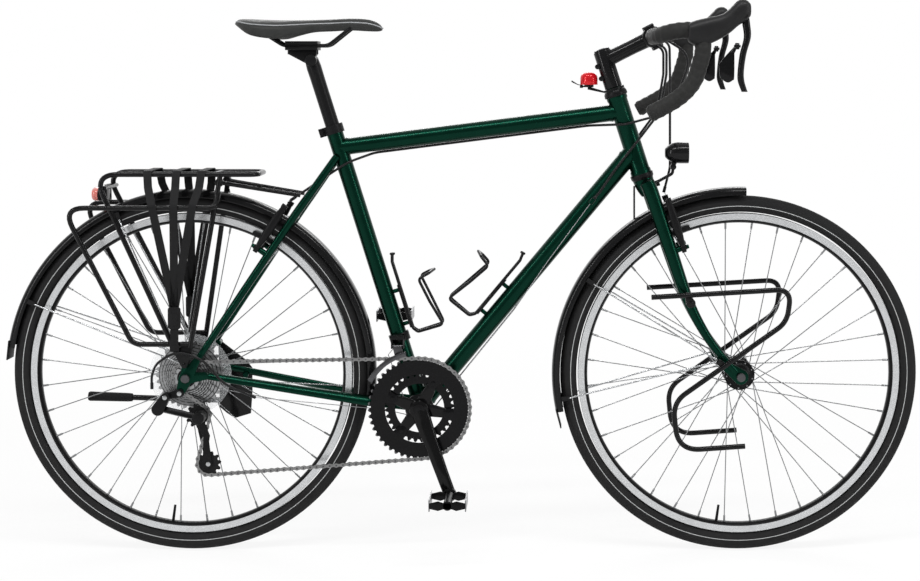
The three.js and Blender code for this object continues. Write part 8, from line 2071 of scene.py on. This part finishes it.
def build_cables():
    lift = ARM_HEIGHT + 9 + GAP
    front = FRONT_BOSS + STEER_AHEAD * 24.5 + STEER_UP * lift
    rear = REAR_BOSS + STAY_BACK * 24.5 + STAY_UP * lift
    exit_y = 62 - GAP - HOUSING_RADIUS
    run = [bar_exit(-5, exit_y), from_point(BAR, 35.7, -11.9, exit_y - 11.9),
           from_point(BAR, 35.7, -71.5, 30), from_point(front, 11.9, 47.7, 30), beside(front, 30)]
    yoke = [beside(front, 30), beside(front, -front.y)]
    cable_piece("front_brake_housing", [rounded(run, 55, 10)], [yoke], "front_brake_cable")
    length = (TOP_TUBE[1] - TOP_TUBE[0]).length
    under = -STEEL_TUBE - HOUSING_RADIUS - GAP
    beside_seat = -(STEEL_TUBE + 4 * HOUSING_RADIUS)
    run = [bar_exit(-5, -exit_y), from_point(BAR, 71.5, -35.7, 11.9 - exit_y),
           from_point(BAR, 35.7, -143, -30), steer(HEAD_TOP - 56.1, 0, -18.7 - 4.6),
           top(length * 0.88, under), top(length * 0.12, under), seat(523 - 31.8, 7.95, beside_seat),
           seat(523 - 47.7, -47.7, beside_seat / 5), beside(rear, beside_seat / 5)]
    yoke = [beside(rear, -rear.y), rear]
    cable_piece("rear_brake_housing", [rounded(run, 45, 10)], [yoke], "rear_brake_cable")
    stop_y = DOWN_TUBE_RADIUS + 5.5
    shift = [bar_exit(-65, exit_y), from_point(BAR, 23.8, -23.8, exit_y - 11.9),
             from_point(BAR, 23.8, -71.5, stop_y * 2), from_point(BAR, 11.9, -143, stop_y * 2),
             down(517 + 71.5, 4.6, stop_y + HOUSING_RADIUS), down(517 + 24, 0, stop_y), down(517, 0, stop_y)]
    guide_z = SHELL.z - 20 - GAP - 2.5
    bare = [down(517, 0, stop_y), down(374, -8.75, stop_y), down(258.5, -19.8, 12), at(12, 6, guide_z),
            at(0, 6, guide_z)]
    pivot = SWING_PIVOT
    shifter = [at(0, -6, guide_z), at(-20, -6, guide_z), at(pivot.x - 20, -6, pivot.z - 20),
               at(pivot.x - 9, -15.9, pivot.z - 6.3)]
    stop = from_rear(130, -38, -60)
    mech = [at(0, -6, guide_z), at(-12, -6, guide_z), at(-70, -27.3, SHELL.z - 5), stop]
    loop = [stop] + [from_rear(x, z, -92) for x,
                     z in ((78, -6), (38, 36), (-8, 52), (-45, 36), (-59, 12), (-60, -16))]
    smooth = rounded(shift, 45, 10)
    cable_piece("shift_housings", [smooth, other_side(smooth), flowing(loop, 8)],
                [bare, other_side(bare), shifter, mech], "shift_cables")
    bm = bmesh.new()
    block = [at(x, 0, guide_z + z) for x, z in ((-12, -2.5), (12, -2.5), (12, 2.5), (-12, 2.5))]
    plate(bm, block, -10, 10, edge=0.9)
    make("cable_guide", bm, "frame", "cable_housing", "black_plastic", smooth=40)


# Operators, one for each piece or group of like pieces


class BicycleFinishes(bpy.types.Operator):
    """Make the materials of the bicycle"""

    bl_idname = "bicycle.finishes"
    bl_label = "Finishes"

    def execute(self, context):
        build_finishes()
        return {"FINISHED"}


class BicycleStage(bpy.types.Operator):
    """Put up the floor, the lamps and the camera"""

    bl_idname = "bicycle.stage"
    bl_label = "Stage"

    def execute(self, context):
        build_stage()
        return {"FINISHED"}


class BicycleRims(bpy.types.Operator):
    """Build the rims, each with its valve"""

    bl_idname = "bicycle.rims"
    bl_label = "Rims"

    def execute(self, context):
        build_rims()
        return {"FINISHED"}


class BicycleTyres(bpy.types.Operator):
    """Build the tyres with their tread"""

    bl_idname = "bicycle.tyres"
    bl_label = "Tyres"

    def execute(self, context):
        build_tyres()
        return {"FINISHED"}


class BicycleHubs(bpy.types.Operator):
    """Build the hubs, the laced spokes and the axles"""

    bl_idname = "bicycle.hubs"
    bl_label = "Hubs and spokes"

    def execute(self, context):
        build_spokes()
        build_hubs()
        build_axles()
        return {"FINISHED"}


class BicycleFrame(bpy.types.Operator):
    """Build the frame with its lugs, bosses and dropouts"""

    bl_idname = "bicycle.frame"
    bl_label = "Frame"

    def execute(self, context):
        build_frame()
        return {"FINISHED"}


class BicycleFork(bpy.types.Operator):
    """Build the fork"""

    bl_idname = "bicycle.fork"
    bl_label = "Fork"

    def execute(self, context):
        build_fork()
        return {"FINISHED"}


class BicycleCranks(bpy.types.Operator):
    """Build the bottom bracket, the chainrings and the cranks"""

    bl_idname = "bicycle.cranks"
    bl_label = "Cranks and chainrings"

    def execute(self, context):
        build_bracket()
        build_chainrings()
        build_cranks()
        return {"FINISHED"}


class BicyclePedals(bpy.types.Operator):
    """Build the pedals"""

    bl_idname = "bicycle.pedals"
    bl_label = "Pedals"

    def execute(self, context):
        build_pedals()
        return {"FINISHED"}


class BicycleCassette(bpy.types.Operator):
    """Build the cassette's toothed sprockets"""

    bl_idname = "bicycle.cassette"
    bl_label = "Cassette"

    def execute(self, context):
        build_cassette()
        return {"FINISHED"}


class BicycleChain(bpy.types.Operator):
    """Build the chain link by link"""

    bl_idname = "bicycle.chain"
    bl_label = "Chain"

    def execute(self, context):
        build_chain()
        return {"FINISHED"}


class BicycleDerailleurs(bpy.types.Operator):
    """Build the rear and the front derailleur"""

    bl_idname = "bicycle.derailleurs"
    bl_label = "Derailleurs"

    def execute(self, context):
        build_rear_derailleur()
        build_front_derailleur()
        return {"FINISHED"}


class BicycleStem(bpy.types.Operator):
    """Build the stem with its spacers and bolts"""

    bl_idname = "bicycle.stem"
    bl_label = "Stem"

    def execute(self, context):
        build_stem()
        return {"FINISHED"}


class BicycleHandlebar(bpy.types.Operator):
    """Build the drop handlebar and its wrapped tape"""

    bl_idname = "bicycle.handlebar"
    bl_label = "Handlebar and tape"

    def execute(self, context):
        build_bar()
        build_tape()
        return {"FINISHED"}


class BicycleLevers(bpy.types.Operator):
    """Build the hoods, the brake levers and the shift paddles"""

    bl_idname = "bicycle.levers"
    bl_label = "Hoods and levers"

    def execute(self, context):
        build_hoods()
        build_levers()
        return {"FINISHED"}


class BicycleBell(bpy.types.Operator):
    """Build the bell and its hammer"""

    bl_idname = "bicycle.bell"
    bl_label = "Bell"

    def execute(self, context):
        build_bell()
        return {"FINISHED"}


class BicycleSaddle(bpy.types.Operator):
    """Build the saddle, its rails and the seatpost"""

    bl_idname = "bicycle.saddle"
    bl_label = "Saddle and seatpost"

    def execute(self, context):
        build_saddle()
        build_seatpost()
        return {"FINISHED"}


class BicycleBrakes(bpy.types.Operator):
    """Build the brake arms and their pads"""

    bl_idname = "bicycle.brakes"
    bl_label = "Brakes"

    def execute(self, context):
        build_brakes()
        return {"FINISHED"}


class BicycleMudguards(bpy.types.Operator):
    """Build the mudguards and their stays"""

    bl_idname = "bicycle.mudguards"
    bl_label = "Mudguards"

    def execute(self, context):
        build_mudguards()
        return {"FINISHED"}


class BicycleRacks(bpy.types.Operator):
    """Build the rear rack, its light and straps, and the low racks on the fork"""

    bl_idname = "bicycle.racks"
    bl_label = "Racks"

    def execute(self, context):
        build_rear_rack()
        build_straps()
        build_low_racks()
        return {"FINISHED"}


class BicycleCages(bpy.types.Operator):
    """Build the two bottle cages"""

    bl_idname = "bicycle.cages"
    bl_label = "Bottle cages"

    def execute(self, context):
        build_bottle_cages()
        return {"FINISHED"}


class BicycleHeadlight(bpy.types.Operator):
    """Build the headlight"""

    bl_idname = "bicycle.headlight"
    bl_label = "Headlight"

    def execute(self, context):
        build_headlight()
        return {"FINISHED"}


class BicycleKickstand(bpy.types.Operator):
    """Build the kickstand and its bracket"""

    bl_idname = "bicycle.kickstand"
    bl_label = "Kickstand"

    def execute(self, context):
        build_kickstand()
        return {"FINISHED"}


class BicycleCables(bpy.types.Operator):
    """Build the brake and shift cables"""

    bl_idname = "bicycle.cables"
    bl_label = "Cables"

    def execute(self, context):
        build_cables()
        return {"FINISHED"}


OPERATORS = (
    BicycleFinishes, BicycleStage, BicycleRims, BicycleTyres, BicycleHubs, BicycleFrame, BicycleFork,
    BicycleCranks, BicyclePedals, BicycleCassette, BicycleChain, BicycleDerailleurs, BicycleStem,
    BicycleHandlebar, BicycleLevers, BicycleBell, BicycleSaddle, BicycleBrakes, BicycleMudguards,
    BicycleRacks, BicycleCages, BicycleHeadlight, BicycleKickstand, BicycleCables,
)


class BicyclePanel(bpy.types.Panel):
    """The bicycle's colours, sizes and building steps"""

    bl_idname = "VIEW3D_PT_bicycle"
    bl_label = "Touring bicycle"
    bl_space_type = "VIEW_3D"
    bl_region_type = "UI"
    bl_category = "Bicycle"

    def draw(self, context):
        for group in (context.scene.bicycle_colours, context.scene.bicycle_sizes):
            box = self.layout.box()
            for name in group.__annotations__:
                box.prop(group, name)
        column = self.layout.column()
        for operator in OPERATORS:
            column.operator(operator.bl_idname)


CLASSES = (BicycleColours, BicycleSizes, *OPERATORS, BicyclePanel)


def register():
    for item in CLASSES:
        bpy.utils.register_class(item)
    bpy.types.Scene.bicycle_colours = bpy.props.PointerProperty(type=BicycleColours)
    bpy.types.Scene.bicycle_sizes = bpy.props.PointerProperty(type=BicycleSizes)


def unregister():
    del bpy.types.Scene.bicycle_sizes
    del bpy.types.Scene.bicycle_colours
    for item in reversed(CLASSES):
        bpy.utils.unregister_class(item)


def main():
    register()
    for operator in OPERATORS:
        family, name = operator.bl_idname.split(".")
        getattr(getattr(bpy.ops, family), name)()


if __name__ == "__main__":
    main()
